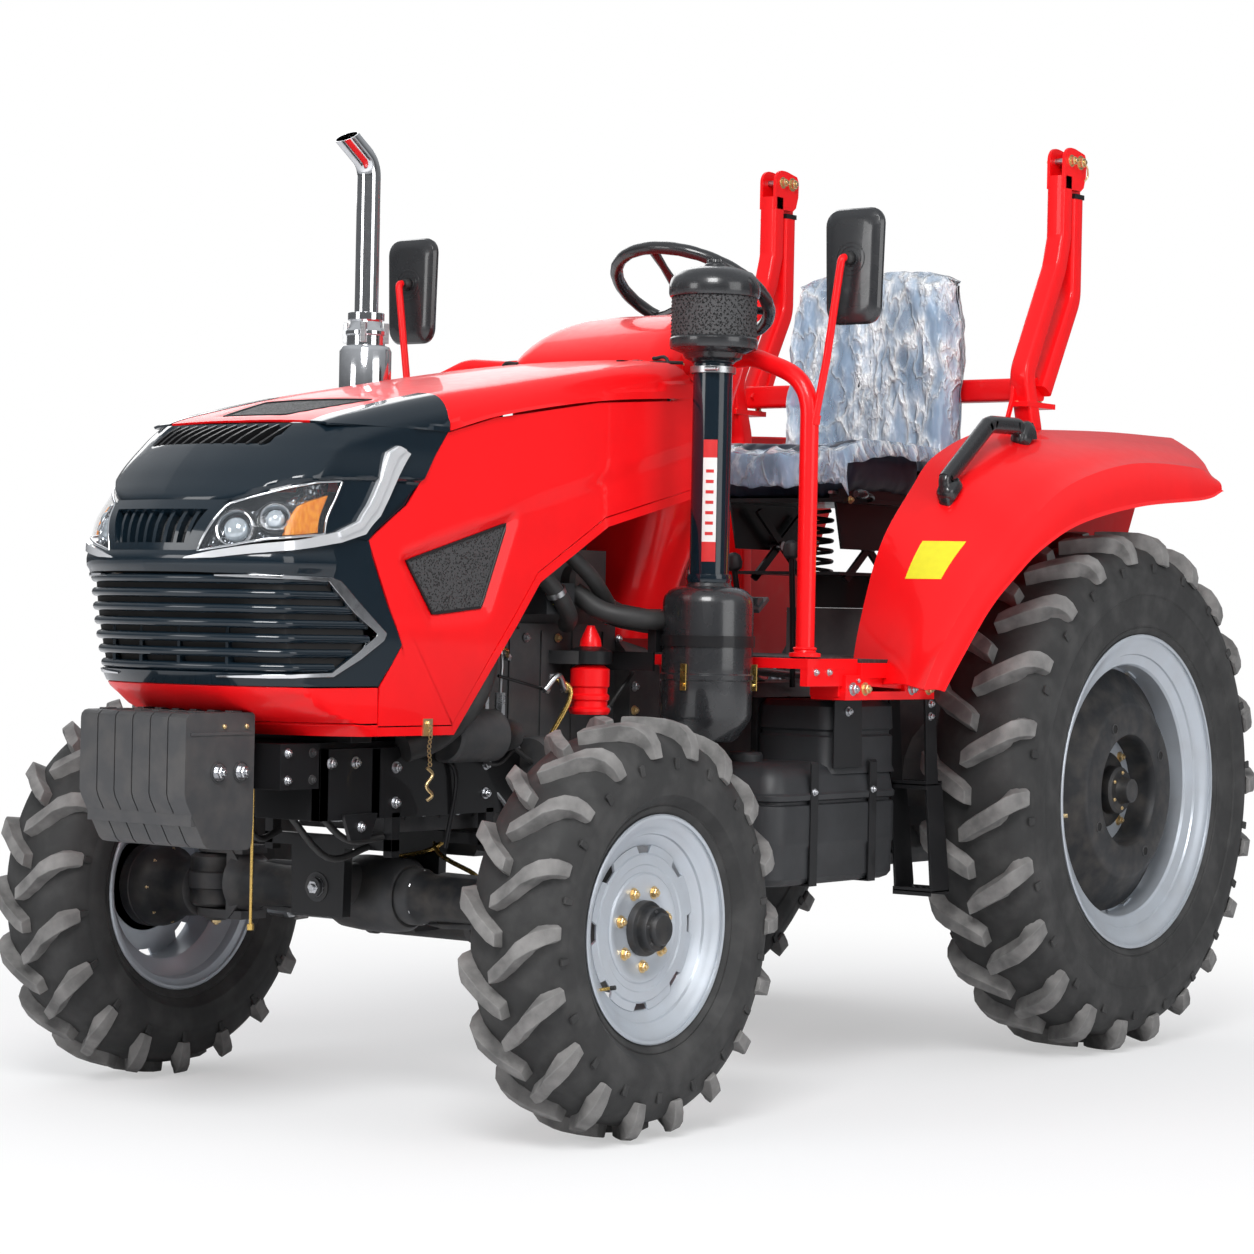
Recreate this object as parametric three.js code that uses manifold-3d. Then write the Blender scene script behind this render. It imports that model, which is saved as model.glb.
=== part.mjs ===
// A compact four-wheel-drive farm tractor with an open driving station, in millimetres.
// +Z is up, the tractor faces -Y, and its left side is +X. The origin is on the ground, midway
// between the front weights and the ends of the lower links.
import * as THREE from 'three';
import { mergeVertices } from 'three/addons/utils/BufferGeometryUtils.js';
import Module from 'manifold-3d';

const wasm = await Module();
wasm.setup();

// ---- driving dimensions ----
const WHEELBASE = 1880;
const REAR_AXLE_Y = 850;
const FRONT_AXLE_Y = REAR_AXLE_Y - WHEELBASE;
const NOSE_Y = FRONT_AXLE_Y - 370; // the front end of the frame, which the hood's nose is set out from
const GAP = 0.3; // between pieces that touch
const RUN = 6; // between pieces that move past each other

const FRONT_TYRE_R = 408;
const FRONT_TYRE_W = 222;
const FRONT_RIM_R = 222.5;
const FRONT_RIM_W = 165;
const FRONT_TRACK = 1270;
const REAR_TYRE_R = 618;
const REAR_TYRE_W = 276;
const REAR_RIM_R = 373.5;
const REAR_RIM_W = 240;
const REAR_TRACK = 1240;
const KINGPIN_X = 460;
const STEER_ARM = 150; // from the kingpin back to the steering rod's eye

const HOOD_HALF = 280;
const HOOD_REAR_Y = -328;
const HOOD_REAR_TOP = 1570;
const HOOD_SHEET = 5;
const HOOD_PIN_Y = -402;
const HOOD_PIN_Z = 1559;

const FLOOR_TOP = 930;
const FLOOR_HALF = 580;
const FLOOR_FRONT = -332;
const POST_X = 430;
const POST_W = 50;
const POST_D = 46;
const ROPS_PIN_Y = 1005;
const ROPS_PIN_Z = 2150;
const LINK_END_Y = 1735;

// ---- materials ----
const paint = (color, roughness, metalness) =>
  new THREE.MeshStandardMaterial({ color, roughness, metalness });
const RED = paint(0xd8140c, 0.3, 0.1);
const BLACK = paint(0x16181a, 0.45, 0.1);
const CAST = paint(0x1c1e20, 0.55, 0.3);
const PLASTIC = paint(0x1b1d1f, 0.6, 0);
const RUBBER = paint(0x222324, 0.85, 0);
const SILVER = paint(0xb9bec3, 0.4, 0.6);
const CHROME = paint(0xd9dde0, 0.12, 1);
const STEEL = paint(0x8b8f93, 0.35, 0.9);
const LENS = paint(0xdfe6ea, 0.1, 0);
const SEAT = paint(0x243447, 0.6, 0);

// ---- solids ----
const rad = THREE.MathUtils.degToRad;

// A closed geometry as a manifold-3d solid, turned outwards if it faces in.
function solid(geometry) {
  const plain = geometry.index ? geometry.toNonIndexed() : geometry.clone();
  const bare = new THREE.BufferGeometry().setAttribute('position', plain.getAttribute('position'));
  const merged = mergeVertices(bare, 1e-3);
  const tris = new Uint32Array(merged.index.array);
  const build = (triVerts) => {
    const mesh = new wasm.Mesh({ numProp: 3, vertProperties: merged.attributes.position.array, triVerts });
    return new wasm.Manifold(mesh);
  };
  const made = build(tris);
  if (made.volume() >= 0) return made;
  for (let i = 0; i < tris.length; i += 3) [tris[i + 1], tris[i + 2]] = [tris[i + 2], tris[i + 1]];
  return build(tris);
}

const join = (...parts) => parts.reduce((all, one) => all.add(one));
const cut = (body, ...tools) => tools.reduce((left, tool) => left.subtract(tool), body);

// A box from its lowest to its highest corner.
function box(x0, y0, z0, x1, y1, z1) {
  const g = new THREE.BoxGeometry(x1 - x0, y1 - y0, z1 - z0);
  g.translate((x0 + x1) / 2, (y0 + y1) / 2, (z0 + z1) / 2);
  return solid(g);
}

// A box that is symmetric about x = 0.
const midBox = (half, y0, z0, y1, z1) => box(-half, y0, z0, half, y1, z1);

// A round bar from point a to point b, which may taper.
function bar(a, b, r0, r1 = r0, sides = 12) {
  const from = new THREE.Vector3(...a);
  const to = new THREE.Vector3(...b);
  const along = to.clone().sub(from);
  const g = new THREE.CylinderGeometry(r1, r0, along.length(), sides);
  g.applyQuaternion(new THREE.Quaternion().setFromUnitVectors(new THREE.Vector3(0, 1, 0),
    along.clone().normalize()));
  g.translate(...from.add(to).multiplyScalar(0.5).toArray());
  return solid(g);
}

// A closed profile of [radius, height] points turned about an axis through a point.
function turned(profile, at, axis, sides = 20) {
  const g = new THREE.LatheGeometry(profile.map(([r, h]) => new THREE.Vector2(Math.max(r, 0), h)), sides);
  g.applyQuaternion(new THREE.Quaternion().setFromUnitVectors(new THREE.Vector3(0, 1, 0),
    new THREE.Vector3(...axis)));
  g.translate(...at);
  return solid(g);
}

// An outline drawn in one plane and carried along the third axis from low to high.
function prism(outline, plane, low, high) {
  const shape = new THREE.Shape(outline.map(([u, v]) => new THREE.Vector2(u, v)));
  const g = new THREE.ExtrudeGeometry(shape, { depth: high - low, bevelEnabled: false, curveSegments: 6 });
  const place = {
    yz: new THREE.Matrix4().set(0, 0, 1, low, 1, 0, 0, 0, 0, 1, 0, 0, 0, 0, 0, 1),
    xz: new THREE.Matrix4().set(1, 0, 0, 0, 0, 0, 1, low, 0, 1, 0, 0, 0, 0, 0, 1),
    xy: new THREE.Matrix4().set(1, 0, 0, 0, 0, 1, 0, 0, 0, 0, 1, low, 0, 0, 0, 1),
  }[plane];
  return solid(g.applyMatrix4(place));
}

// A solid through rings of as many points each. An end is closed from its first and last points inwards,
// so a ring is convex, or is a sheet whose one face comes first and whose other face comes back.
function loft(rings) {
  const n = rings[0].length;
  const index = [];
  for (let i = 0; i + 1 < rings.length; i++)
    for (let j = 0; j < n; j++) {
      const a = i * n + j;
      const b = i * n + ((j + 1) % n);
      index.push(a, b, a + n, b, b + n, a + n);
    }
  const end = (rings.length - 1) * n;
  for (let i = 0, k = n - 1; i + 1 < k; i++, k--) {
    index.push(i + 1, i, k, end + i, end + i + 1, end + k);
    if (i + 2 < k) index.push(i + 1, k, k - 1, end + i + 1, end + k - 1, end + k);
  }
  const g = new THREE.BufferGeometry();
  g.setAttribute('position', new THREE.BufferAttribute(new Float32Array(rings.flat(2)), 3));
  return solid(g.setIndex(index));
}

// A tube of a round or rectangular section along straight runs joined by round bends.
function pipe(points, section, bend, steps = 4) {
  const at = points.map((p) => new THREE.Vector3(...p));
  const path = new THREE.CurvePath();
  let from = at[0];
  for (let i = 1; i + 1 < at.length; i++) {
    const back = at[i - 1].clone().sub(at[i]).normalize();
    const on = at[i + 1].clone().sub(at[i]).normalize();
    const reach = Math.min(bend * Math.tan((Math.PI - back.angleTo(on)) / 2),
      at[i - 1].distanceTo(at[i]) * 0.48, at[i + 1].distanceTo(at[i]) * 0.48);
    const start = at[i].clone().addScaledVector(back, reach);
    const end = at[i].clone().addScaledVector(on, reach);
    path.add(new THREE.LineCurve3(from, start));
    path.add(new THREE.QuadraticBezierCurve3(start, at[i], end));
    from = end;
  }
  path.add(new THREE.LineCurve3(from, at.at(-1)));
  return sweep(path, section, steps);
}

// The section, a loop of [across, up] points, carried along a path with no twist.
function sweep(path, section, steps) {
  const spots = [];
  path.curves.forEach((curve, i) => {
    const count = curve.isLineCurve3 ? 1 : steps;
    for (let k = i === 0 ? 0 : 1; k <= count; k++)
      spots.push([curve.getPoint(k / count), curve.getTangent(k / count)]);
  });
  const rings = [];
  let across = null;
  for (const [point, tangent] of spots) {
    if (!across) {
      const guess = Math.abs(tangent.x) > 0.9 ? new THREE.Vector3(0, 1, 0) : new THREE.Vector3(1, 0, 0);
      across = guess.clone().addScaledVector(tangent, -guess.dot(tangent)).normalize();
    } else across = across.clone().addScaledVector(tangent, -across.dot(tangent)).normalize();
    const up = tangent.clone().cross(across);
    rings.push(section.map(([u, v]) => point.clone().addScaledVector(across, u).addScaledVector(up,
      v).toArray()));
  }
  return loft(rings);
}

const round = (r, sides = 12) =>
  Array.from({ length: sides }, (_, i) => {
    const a = (i / sides) * 2 * Math.PI;
    return [r * Math.cos(a), r * Math.sin(a)];
  });
const rect = (w, d) => [[-w / 2, -d / 2], [w / 2, -d / 2], [w / 2, d / 2], [-w / 2, d / 2]];

// The left-hand solid's mirror image on the right.
const mirrored = (body) => body.mirror([1, 0, 0]);

const tractor = new THREE.Group();
tractor.name = 'farm_tractor';

// A group of the model, set at a point and turned about X, for pieces drawn about their own middle.
function group(name, at = [0, 0, 0], turn = 0) {
  const made = new THREE.Group();
  made.name = name;
  made.position.set(...at);
  made.rotation.x = turn;
  tractor.add(made);
  return made;
}

// Adds a solid to a group as a named mesh.
function node(name, material, body, parent = tractor) {
  const m = body.getMesh();
  const position = new Float32Array(m.numVert * 3);
  for (let i = 0; i < m.numVert; i++)
    position.set(m.vertProperties.subarray(i * m.numProp, i * m.numProp + 3), i * 3);
  const g = new THREE.BufferGeometry().setAttribute('position', new THREE.BufferAttribute(position, 3));
  g.setIndex(new THREE.BufferAttribute(m.triVerts, 1));
  g.computeVertexNormals();
  const mesh = new THREE.Mesh(g, material);
  mesh.name = name;
  parent.add(mesh);
}

// Adds the left-hand solid and its mirror image.
function pair(name, material, left, parent = tractor) {
  node(`${name}_left`, material, left, parent);
  node(`${name}_right`, material, mirrored(left), parent);
}

// Adds a left and a right wheel, each a group at the middle of its hub.
function wheels(name, at, rimBody, tyreBody) {
  for (const [side, s] of [['left', 1], ['right', -1]]) {
    const wheel = group(`${name}_wheel_${side}`, [s * at[0], at[1], at[2]]);
    node(`${name}_rim_${side}`, SILVER, s > 0 ? rimBody : mirrored(rimBody), wheel);
    node(`${name}_tyre_${side}`, RUBBER, s > 0 ? tyreBody : mirrored(tyreBody), wheel);
  }
}

// ---- wheels ----
const FRONT_X = FRONT_TRACK / 2;
const REAR_X = REAR_TRACK / 2;
const FRONT_WELL_R = 165;
const REAR_WELL_R = 305;
const RIM_SHEET = 6;
const FRONT_DISC_OUT = 46; // the disc's outer face, from the wheel's middle plane
const REAR_DISC_OUT = 20;
const FRONT_HUB_R = 55;
const REAR_HUB_R = 78;
const HUB_SIDES = 24;
const SHAFT_R = 38;
const SHAFT_DEPTH = 30;

// The rim's outer surface from the inner edge to the outer one, as [radius, offset outwards].
function rimLine(flangeR, wellR, width) {
  const half = width / 2;
  const seat = flangeR - 19;
  return [
    [flangeR, -half], [seat, -half + 12], [wellR, -half + 50], [wellR, half - 34], [seat, half - 12],
    [flangeR, half],
  ];
}

function rim(flangeR, wellR, width, hubR, discOut, sides) {
  const line = rimLine(flangeR, wellR, width);
  const inner = line.map(([r, h]) => [r - RIM_SHEET, h]).reverse();
  const discIn = discOut - 8;
  const insideR = wellR - RIM_SHEET;
  const profile = [...line, ...inner.slice(0, 3), [insideR, discOut], [hubR, discOut], [hubR, discIn],
    [insideR, discIn], ...inner.slice(3)];
  return turned([...profile, profile[0]], [0, 0, 0], [1, 0, 0], sides);
}

// A solid ring of rubber that fills the rim, out to the tips of its lugs.
function tyre(flangeR, wellR, rimW, tyreR, tyreW, sides) {
  const line = rimLine(flangeR, wellR, rimW).slice(1, -1).map(([r, h]) => [r + GAP, h]);
  const half = tyreW / 2;
  const side = [[tyreR - 135, half], [tyreR - 75, half], [tyreR - 22, half - 14], [tyreR, half - 52]];
  const outer = [[flangeR + 12, rimW / 2 - 2], ...side];
  const profile = [...line, ...outer, ...outer.map(([r, h]) => [r, -h]).reverse()];
  return turned([...profile, profile[0]], [0, 0, 0], [1, 0, 0], sides);
}

const FRONT_SIDES = 20;
const REAR_SIDES = 24;
const frontHubCap = turned([[0, 30], [FRONT_HUB_R, 30], [FRONT_HUB_R, 60], [44, 66], [40, 92], [0, 98]],
  [0, 0, 0], [1, 0, 0], HUB_SIDES);
const frontWheel = join(rim(FRONT_RIM_R, FRONT_WELL_R, FRONT_RIM_W, FRONT_HUB_R - 8, FRONT_DISC_OUT,
  FRONT_SIDES),
  frontHubCap);
wheels('front', [FRONT_X, FRONT_AXLE_Y, FRONT_TYRE_R], frontWheel,
  tyre(FRONT_RIM_R, FRONT_WELL_R, FRONT_RIM_W, FRONT_TYRE_R, FRONT_TYRE_W, FRONT_SIDES));

// The rear wheel carries a cast weight: a cone with a flat ring face and an open middle.
const WEIGHT_FACE = REAR_RIM_W / 2 - 27;
const wheelWeight = turned([
  [292, REAR_DISC_OUT - 1], [292, REAR_DISC_OUT + 14], [205, WEIGHT_FACE], [136, WEIGHT_FACE],
  [128, WEIGHT_FACE - 8], [128, REAR_DISC_OUT - 1], [292, REAR_DISC_OUT - 1]], [0, 0, 0], [1, 0, 0],
    REAR_SIDES);
const rearHub = join(
  bar([-150 - SHAFT_DEPTH, 0, 0], [REAR_DISC_OUT - 4, 0, 0], SHAFT_R, SHAFT_R, 16),
  bar([-20, 0, 0], [REAR_DISC_OUT - 4, 0, 0], 70, REAR_HUB_R + 12, 16),
  bar([0, 0, 0], [REAR_DISC_OUT + 62, 0, 0], 56, 52), bar([0, 0, 0], [REAR_DISC_OUT + 84, 0, 0], 30));
const rearWheel = join(rim(REAR_RIM_R, REAR_WELL_R, REAR_RIM_W, REAR_HUB_R, REAR_DISC_OUT, REAR_SIDES),
  wheelWeight, rearHub);
wheels('rear', [REAR_X, REAR_AXLE_Y, REAR_TYRE_R], rearWheel,
  tyre(REAR_RIM_R, REAR_WELL_R, REAR_RIM_W, REAR_TYRE_R, REAR_TYRE_W, REAR_SIDES));

// ---- front axle and steering ----
const AXLE_Z = FRONT_TYRE_R + 22;
const KINGPIN_R = 22;
const PIVOT_X = -25;
const PIVOT_Z = AXLE_Z + 20;
const FORK_HALF = 78; // half the height of the axle's forked end
const frontHubZ = FRONT_TYRE_R;

// The knuckle turns about an upright kingpin between the fork's ears and carries the hub.
const knuckleBody = join(
  bar([KINGPIN_X, FRONT_AXLE_Y, AXLE_Z - FORK_HALF + 24], [KINGPIN_X, FRONT_AXLE_Y,
    AXLE_Z + FORK_HALF - 24], 56),
  bar([KINGPIN_X + 46, FRONT_AXLE_Y, frontHubZ], [FRONT_X + 2, FRONT_AXLE_Y, frontHubZ], 62),
  bar([FRONT_X, FRONT_AXLE_Y, frontHubZ], [FRONT_X + FRONT_DISC_OUT - 8 - RUN, FRONT_AXLE_Y, frontHubZ],
    90, 90, 16),
  box(KINGPIN_X - 22, FRONT_AXLE_Y + 30, AXLE_Z - 44, KINGPIN_X + 22, FRONT_AXLE_Y + STEER_ARM + 20,
    AXLE_Z - 24),
  bar([KINGPIN_X - 3, FRONT_AXLE_Y + STEER_ARM, AXLE_Z - 58], [KINGPIN_X - 3, FRONT_AXLE_Y + STEER_ARM,
    AXLE_Z - 40], 16));
const hubRecess = bar([FRONT_X + 22, FRONT_AXLE_Y, frontHubZ], [FRONT_X + 60, FRONT_AXLE_Y, frontHubZ],
  FRONT_HUB_R + 0.8, FRONT_HUB_R + 0.8, HUB_SIDES);
const knuckleBore = bar([KINGPIN_X, FRONT_AXLE_Y, AXLE_Z - 120], [KINGPIN_X, FRONT_AXLE_Y, AXLE_Z + 120],
  KINGPIN_R + 0.8, KINGPIN_R + 0.8, 16);
pair('knuckle', CAST, cut(knuckleBody, hubRecess, knuckleBore));

const axleEnd = join(
  box(KINGPIN_X - 110, FRONT_AXLE_Y - 45, AXLE_Z - FORK_HALF, KINGPIN_X - 68, FRONT_AXLE_Y + 45,
    AXLE_Z + FORK_HALF),
  ...[-1, 1].map((up) => {
    const z = AXLE_Z + up * (FORK_HALF - 9);
    return join(
      box(KINGPIN_X - 100, FRONT_AXLE_Y - 40, z - 9, KINGPIN_X, FRONT_AXLE_Y + 40, z + 9),
      bar([KINGPIN_X, FRONT_AXLE_Y, z - 9], [KINGPIN_X, FRONT_AXLE_Y, z + 9], 40));
  }),
  bar([KINGPIN_X, FRONT_AXLE_Y, AXLE_Z - FORK_HALF], [KINGPIN_X, FRONT_AXLE_Y, AXLE_Z + FORK_HALF],
    KINGPIN_R, KINGPIN_R, 16));
const ROD_Y = FRONT_AXLE_Y + STEER_ARM;
const ROD_Z = AXLE_Z - 70;
const CYLINDER_HALF = 150;
const ROD_R = 11;
const frontAxle = join(
  bar([-(KINGPIN_X - 90), FRONT_AXLE_Y, AXLE_Z], [KINGPIN_X - 90, FRONT_AXLE_Y, AXLE_Z], 46),
  bar([-120, FRONT_AXLE_Y, AXLE_Z], [70, FRONT_AXLE_Y, AXLE_Z], 58),
  bar([PIVOT_X, FRONT_AXLE_Y - 130, PIVOT_Z], [PIVOT_X, FRONT_AXLE_Y + 130, PIVOT_Z], 38),
  bar([PIVOT_X, FRONT_AXLE_Y - 160, PIVOT_Z], [PIVOT_X, FRONT_AXLE_Y + 160, PIVOT_Z], 25),
  box(-60, FRONT_AXLE_Y + 50, ROD_Z - 20, 60, ROD_Y - 25, AXLE_Z), box(-60, ROD_Y - 40, ROD_Z - 20, 60,
    ROD_Y, ROD_Z + 26),
  bar([-CYLINDER_HALF, ROD_Y, ROD_Z], [CYLINDER_HALF, ROD_Y, ROD_Z], 30),
  axleEnd, mirrored(axleEnd));
const rodBore = bar([-400, ROD_Y, ROD_Z], [400, ROD_Y, ROD_Z], ROD_R + 0.6);
node('front_axle', CAST, cut(frontAxle, rodBore));

// The steering rod slides through its cylinder. Its eyes lie under the knuckles' arms.
const eye = (x) => turned([[0, -9], [21, -9], [21, 9], [0, 9]], [x, ROD_Y, ROD_Z], [0, 0, 1], 12);
const ROD_END = KINGPIN_X - 3;
node('steering_rod', STEEL, join(bar([-ROD_END + 12, ROD_Y, ROD_Z], [ROD_END - 12, ROD_Y, ROD_Z], ROD_R),
  eye(ROD_END), eye(-ROD_END)));

// ---- frame, engine and drive line ----
const WEIGHT_HALF = 140;
const WEIGHT_FRONT = NOSE_Y - 335;
const WEIGHT_REAR = NOSE_Y - 150;
const RAIL_TOP = 740;
const RAIL_LOW = AXLE_Z + 170;
const RAIL_REAR = -520;
const CROSS_LOW = AXLE_Z + 102; // the underside of the crossmembers that carry the axle's pivot
const RAIL_IN = 150;
const RAIL_OUT = 172;
const frame = join(
  ...[-1, 1].map((s) =>
    box(s > 0 ? RAIL_IN : -RAIL_OUT, NOSE_Y, RAIL_LOW, s > 0 ? RAIL_OUT : -RAIL_IN, RAIL_REAR, RAIL_TOP)),
  midBox(RAIL_OUT, NOSE_Y, RAIL_LOW, NOSE_Y + 24, RAIL_TOP),
  midBox(RAIL_OUT, NOSE_Y + 150, RAIL_LOW, NOSE_Y + 174, RAIL_TOP),
  midBox(WEIGHT_HALF, WEIGHT_REAR, 668, NOSE_Y + 20, 748),
  midBox(150, NOSE_Y, RAIL_TOP - 10, NOSE_Y + 240, RAIL_TOP + 12),
  ...[FRONT_AXLE_Y - 158, FRONT_AXLE_Y + 134].map((y) => join(
    box(PIVOT_X - 70, y, PIVOT_Z - 58, PIVOT_X + 70, y + 24, CROSS_LOW + 18),
    midBox(RAIL_OUT, y, CROSS_LOW, y + 24, CROSS_LOW + 24),
    box(RAIL_IN, y, CROSS_LOW, RAIL_OUT, y + 24, RAIL_LOW + 10),
    box(-RAIL_OUT, y, CROSS_LOW, -RAIL_IN, y + 24, RAIL_LOW + 10))));
const pivotBore = bar([PIVOT_X, FRONT_AXLE_Y - 200, PIVOT_Z], [PIVOT_X, FRONT_AXLE_Y + 200, PIVOT_Z], 25.8);
node('front_frame', BLACK, cut(frame, pivotBore));

// Six cast plates hang side by side on the frame's nose.
const WEIGHT_COUNT = 6;
const weightOutline = [[WEIGHT_FRONT + 12, 812], [WEIGHT_FRONT, 800], [WEIGHT_FRONT, 655],
  [WEIGHT_FRONT + 62, 556],
  [WEIGHT_REAR - 12, 551], [WEIGHT_REAR - GAP, 600], [WEIGHT_REAR - GAP, 812]];
const plateWidth = (2 * WEIGHT_HALF) / WEIGHT_COUNT;
const weightPlates = Array.from({ length: WEIGHT_COUNT }, (_, i) => {
  const x = -WEIGHT_HALF + i * plateWidth;
  return prism(weightOutline, 'yz', x + (i ? 1.5 : 0), x + plateWidth - (i < WEIGHT_COUNT - 1 ? 1.5 : 0));
});
node('front_weights', CAST, join(midBox(WEIGHT_HALF - 10, WEIGHT_FRONT + 20, 600, WEIGHT_REAR - 20, 790),
  ...weightPlates));

const ENGINE_FRONT = -1130;
const ENGINE_REAR = -420;
const ENGINE_LOW = AXLE_Z + 130;
node('engine', CAST, join(
  midBox(140, ENGINE_FRONT, ENGINE_LOW, ENGINE_REAR, 990),
  midBox(125, ENGINE_FRONT + 20, 990, ENGINE_REAR - 20, 1150),
  midBox(100, ENGINE_FRONT + 40, 1150, ENGINE_REAR - 60, 1250),
  prism([[-95, ENGINE_LOW - 60], [95, ENGINE_LOW - 60], [125, ENGINE_LOW + 0.5], [-125, ENGINE_LOW + 0.5]],
    'xz',
    FRONT_AXLE_Y + 190, ENGINE_REAR - 60),
  midBox(RAIL_IN - GAP, -700, 620, -560, 720)));

node('radiator', BLACK, join(
  midBox(205, NOSE_Y + 50, RAIL_TOP + 12 + GAP, NOSE_Y + 110, 1240),
  midBox(190, NOSE_Y + 110, 790, NOSE_Y + 150, 1200)));

const gearbox = loft([
  [ENGINE_REAR + GAP, 175, 520, 960], [-300, 165, 530, 940], [-240, 125, 500, 860], [560 - GAP, 130, 470,
    860],
].map(([y, half, low, high]) => {
  const c = 40;
  return [[-half, y, low + c], [-half + c, y, low], [half - c, y, low], [half, y, low + c], [half, y,
    high - c],
    [half - c, y, high], [-half + c, y, high], [-half, y, high - c]];
}));
node('gearbox', CAST, gearbox);

// The rear axle casting: centre housing, trumpets, brake housings, lift cover and power take-off.
const LIFT_SHAFT_Y = 960;
const LIFT_SHAFT_Z = 985;
const LIFT_SHAFT_R = 24;
const LIFT_HALF = 130;
const trumpetEnd = REAR_X - 144;
const TRUMPET_START = 255;
const TRUMPET_R = [92, 74]; // at its start and at its end
const trumpetAt = (x) =>
  TRUMPET_R[0] + ((TRUMPET_R[1] - TRUMPET_R[0]) * (x - TRUMPET_START)) / (trumpetEnd - 6 - TRUMPET_START);
const axleLine = (a, b, r0, r1 = r0, sides = 16) =>
  join(bar([a, REAR_AXLE_Y, REAR_TYRE_R], [b, REAR_AXLE_Y, REAR_TYRE_R], r0, r1, sides),
    bar([-a, REAR_AXLE_Y, REAR_TYRE_R], [-b, REAR_AXLE_Y, REAR_TYRE_R], r0, r1, sides));
const rearAxle = join(
  midBox(165, 560, 455, 1010, 860),
  midBox(LIFT_HALF, 620, 850, 1030, 1040),
  axleLine(150, 262, 150, 150), axleLine(TRUMPET_START, trumpetEnd - 6, ...TRUMPET_R),
  axleLine(trumpetEnd - 14, trumpetEnd, 110),
  bar([0, 1000, 600], [0, 1045, 600], 62), bar([0, 1000, 600], [0, 1120, 600], 17.5, 17.5, 10),
  ...[-1, 1].map((s) => box(s > 0 ? 165 : -205, 900, 425, s > 0 ? 205 : -165, 1000, 500)),
  midBox(32, 1020, 900, 1075, 990));
const shaftBore = bar([-trumpetEnd - 5, REAR_AXLE_Y, REAR_TYRE_R], [trumpetEnd + 5, REAR_AXLE_Y, REAR_TYRE_R],
  SHAFT_R + 0.8, SHAFT_R + 0.8, 16);
const topLinkSlot = box(-19, 1028, 880, 19, 1100, 1010);
const liftBore = bar([-LIFT_HALF - 5, LIFT_SHAFT_Y, LIFT_SHAFT_Z], [LIFT_HALF + 5, LIFT_SHAFT_Y,
  LIFT_SHAFT_Z],
  LIFT_SHAFT_R + 0.8, LIFT_SHAFT_R + 0.8, 16);
const TOP_PIN_Y = 1055;
const TOP_PIN_Z = 950;
const topPin = bar([-30, TOP_PIN_Y, TOP_PIN_Z], [30, TOP_PIN_Y, TOP_PIN_Z], 9, 9, 12);
const LOWER_PIN_Y = 950;
const LOWER_PIN_Z = 462;
const lowerPins = [-1, 1].map((s) => bar([s * 200, LOWER_PIN_Y, LOWER_PIN_Z], [s * 248, LOWER_PIN_Y,
  LOWER_PIN_Z], 12, 12, 12));
node('rear_axle', CAST, join(
  cut(rearAxle, topLinkSlot, liftBore, cut(shaftBore, midBox(trumpetEnd - SHAFT_DEPTH - 8, 700, 500, 1000,
    700))),
  topPin, ...lowerPins));

// ---- hood: one shell, cut where its panels meet ----
const SHEET = HOOD_SHEET;
const hood = group('hood');

// Rings across the tractor: [distance behind the nose datum, narrowing of a side, height, shoulder radius].
const hoodRings = [
  ...[[-360, 18, 1190, 40], [-268, 18, 1235, 40], [-172, 18, 1322, 42], [-60, 18, 1372, 48], [29, 17, 1396,
    52],
    [260, 10, 1446, 56], [474, 5, 1482, 56], [633, 3, 1509, 52], [866, 1, 1545, 46]]
    .map(([back, narrowing, top, r]) => [NOSE_Y + back, HOOD_HALF - narrowing, top, r]),
  [HOOD_REAR_Y, HOOD_HALF, HOOD_REAR_TOP, 42],
];
// Level rings through the nose: [height, foremost point].
const noseRings = [
  [740, -40], [785, -70], [812, -140], [858, -250], [960, -295], [1095, -312], [1170, -302], [1225, -262],
  [1331, -172], [1420, -40], [1700, 400],
].map(([z, front]) => [z, NOSE_Y + front]);

function hoodBody(inset, rear, deep = inset) {
  const along = hoodRings.map(([y, half, top, r], i) => {
    const w = half - inset;
    const t = top - inset;
    const at = i === hoodRings.length - 1 ? y + rear : y;
    const shoulder = [0, 30, 60, 90].map((a) =>
      [w - r + r * Math.cos(rad(a)), at, t - r + r * Math.sin(rad(a))]);
    const half1 = [[w, at, 700 - inset], ...shoulder, [w * 0.4, at, t + 7]];
    return [...half1, ...half1.map(([x, yy, z]) => [-x, yy, z]).reverse()];
  });
  const level = noseRings.map(([z, f]) => {
    const front = f + deep;
    const side = [[330, 0], [330, front + 150], [262, front + 105], [200, front + 57], [100, front + 16]];
    return [...side, [0, front], ...side.map(([x, y]) => [-x, y]).reverse()].map(([x, y]) => [x, y,
      z + inset]);
  });
  return loft(along).intersect(loft(level));
}

// The panels' lower edge, and the rear edge, which runs back to the shoulders on both sides.
const SEAM_Y = HOOD_PIN_Y - 10;
const FAR = 500; // past the nose
const behindNose = (outline) => outline.map(([back, z]) => [NOSE_Y + back, z]);
const hoodLower = prism([[HOOD_REAR_Y, 1271], ...behindNose([[761, 1196], [595, 1122], [499, 1038], [469,
  987],
  [281, 767], [-FAR, 767], [-FAR, 1900]]), [HOOD_REAR_Y, 1900]], 'yz', -400, 400);
const hoodRear = prism([[-400, NOSE_Y - FAR], [400, NOSE_Y - FAR], [400, HOOD_REAR_Y], [HOOD_HALF - 12,
  HOOD_REAR_Y], [190, SEAM_Y],
  [-190, SEAM_Y], [12 - HOOD_HALF, HOOD_REAR_Y], [-400, HOOD_REAR_Y]], 'xy', 700, 1900);
const hoodOuter = hoodBody(0, 0);
const hoodShell = cut(hoodOuter, hoodBody(SHEET, 50)).intersect(hoodLower).intersect(hoodRear);

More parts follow.
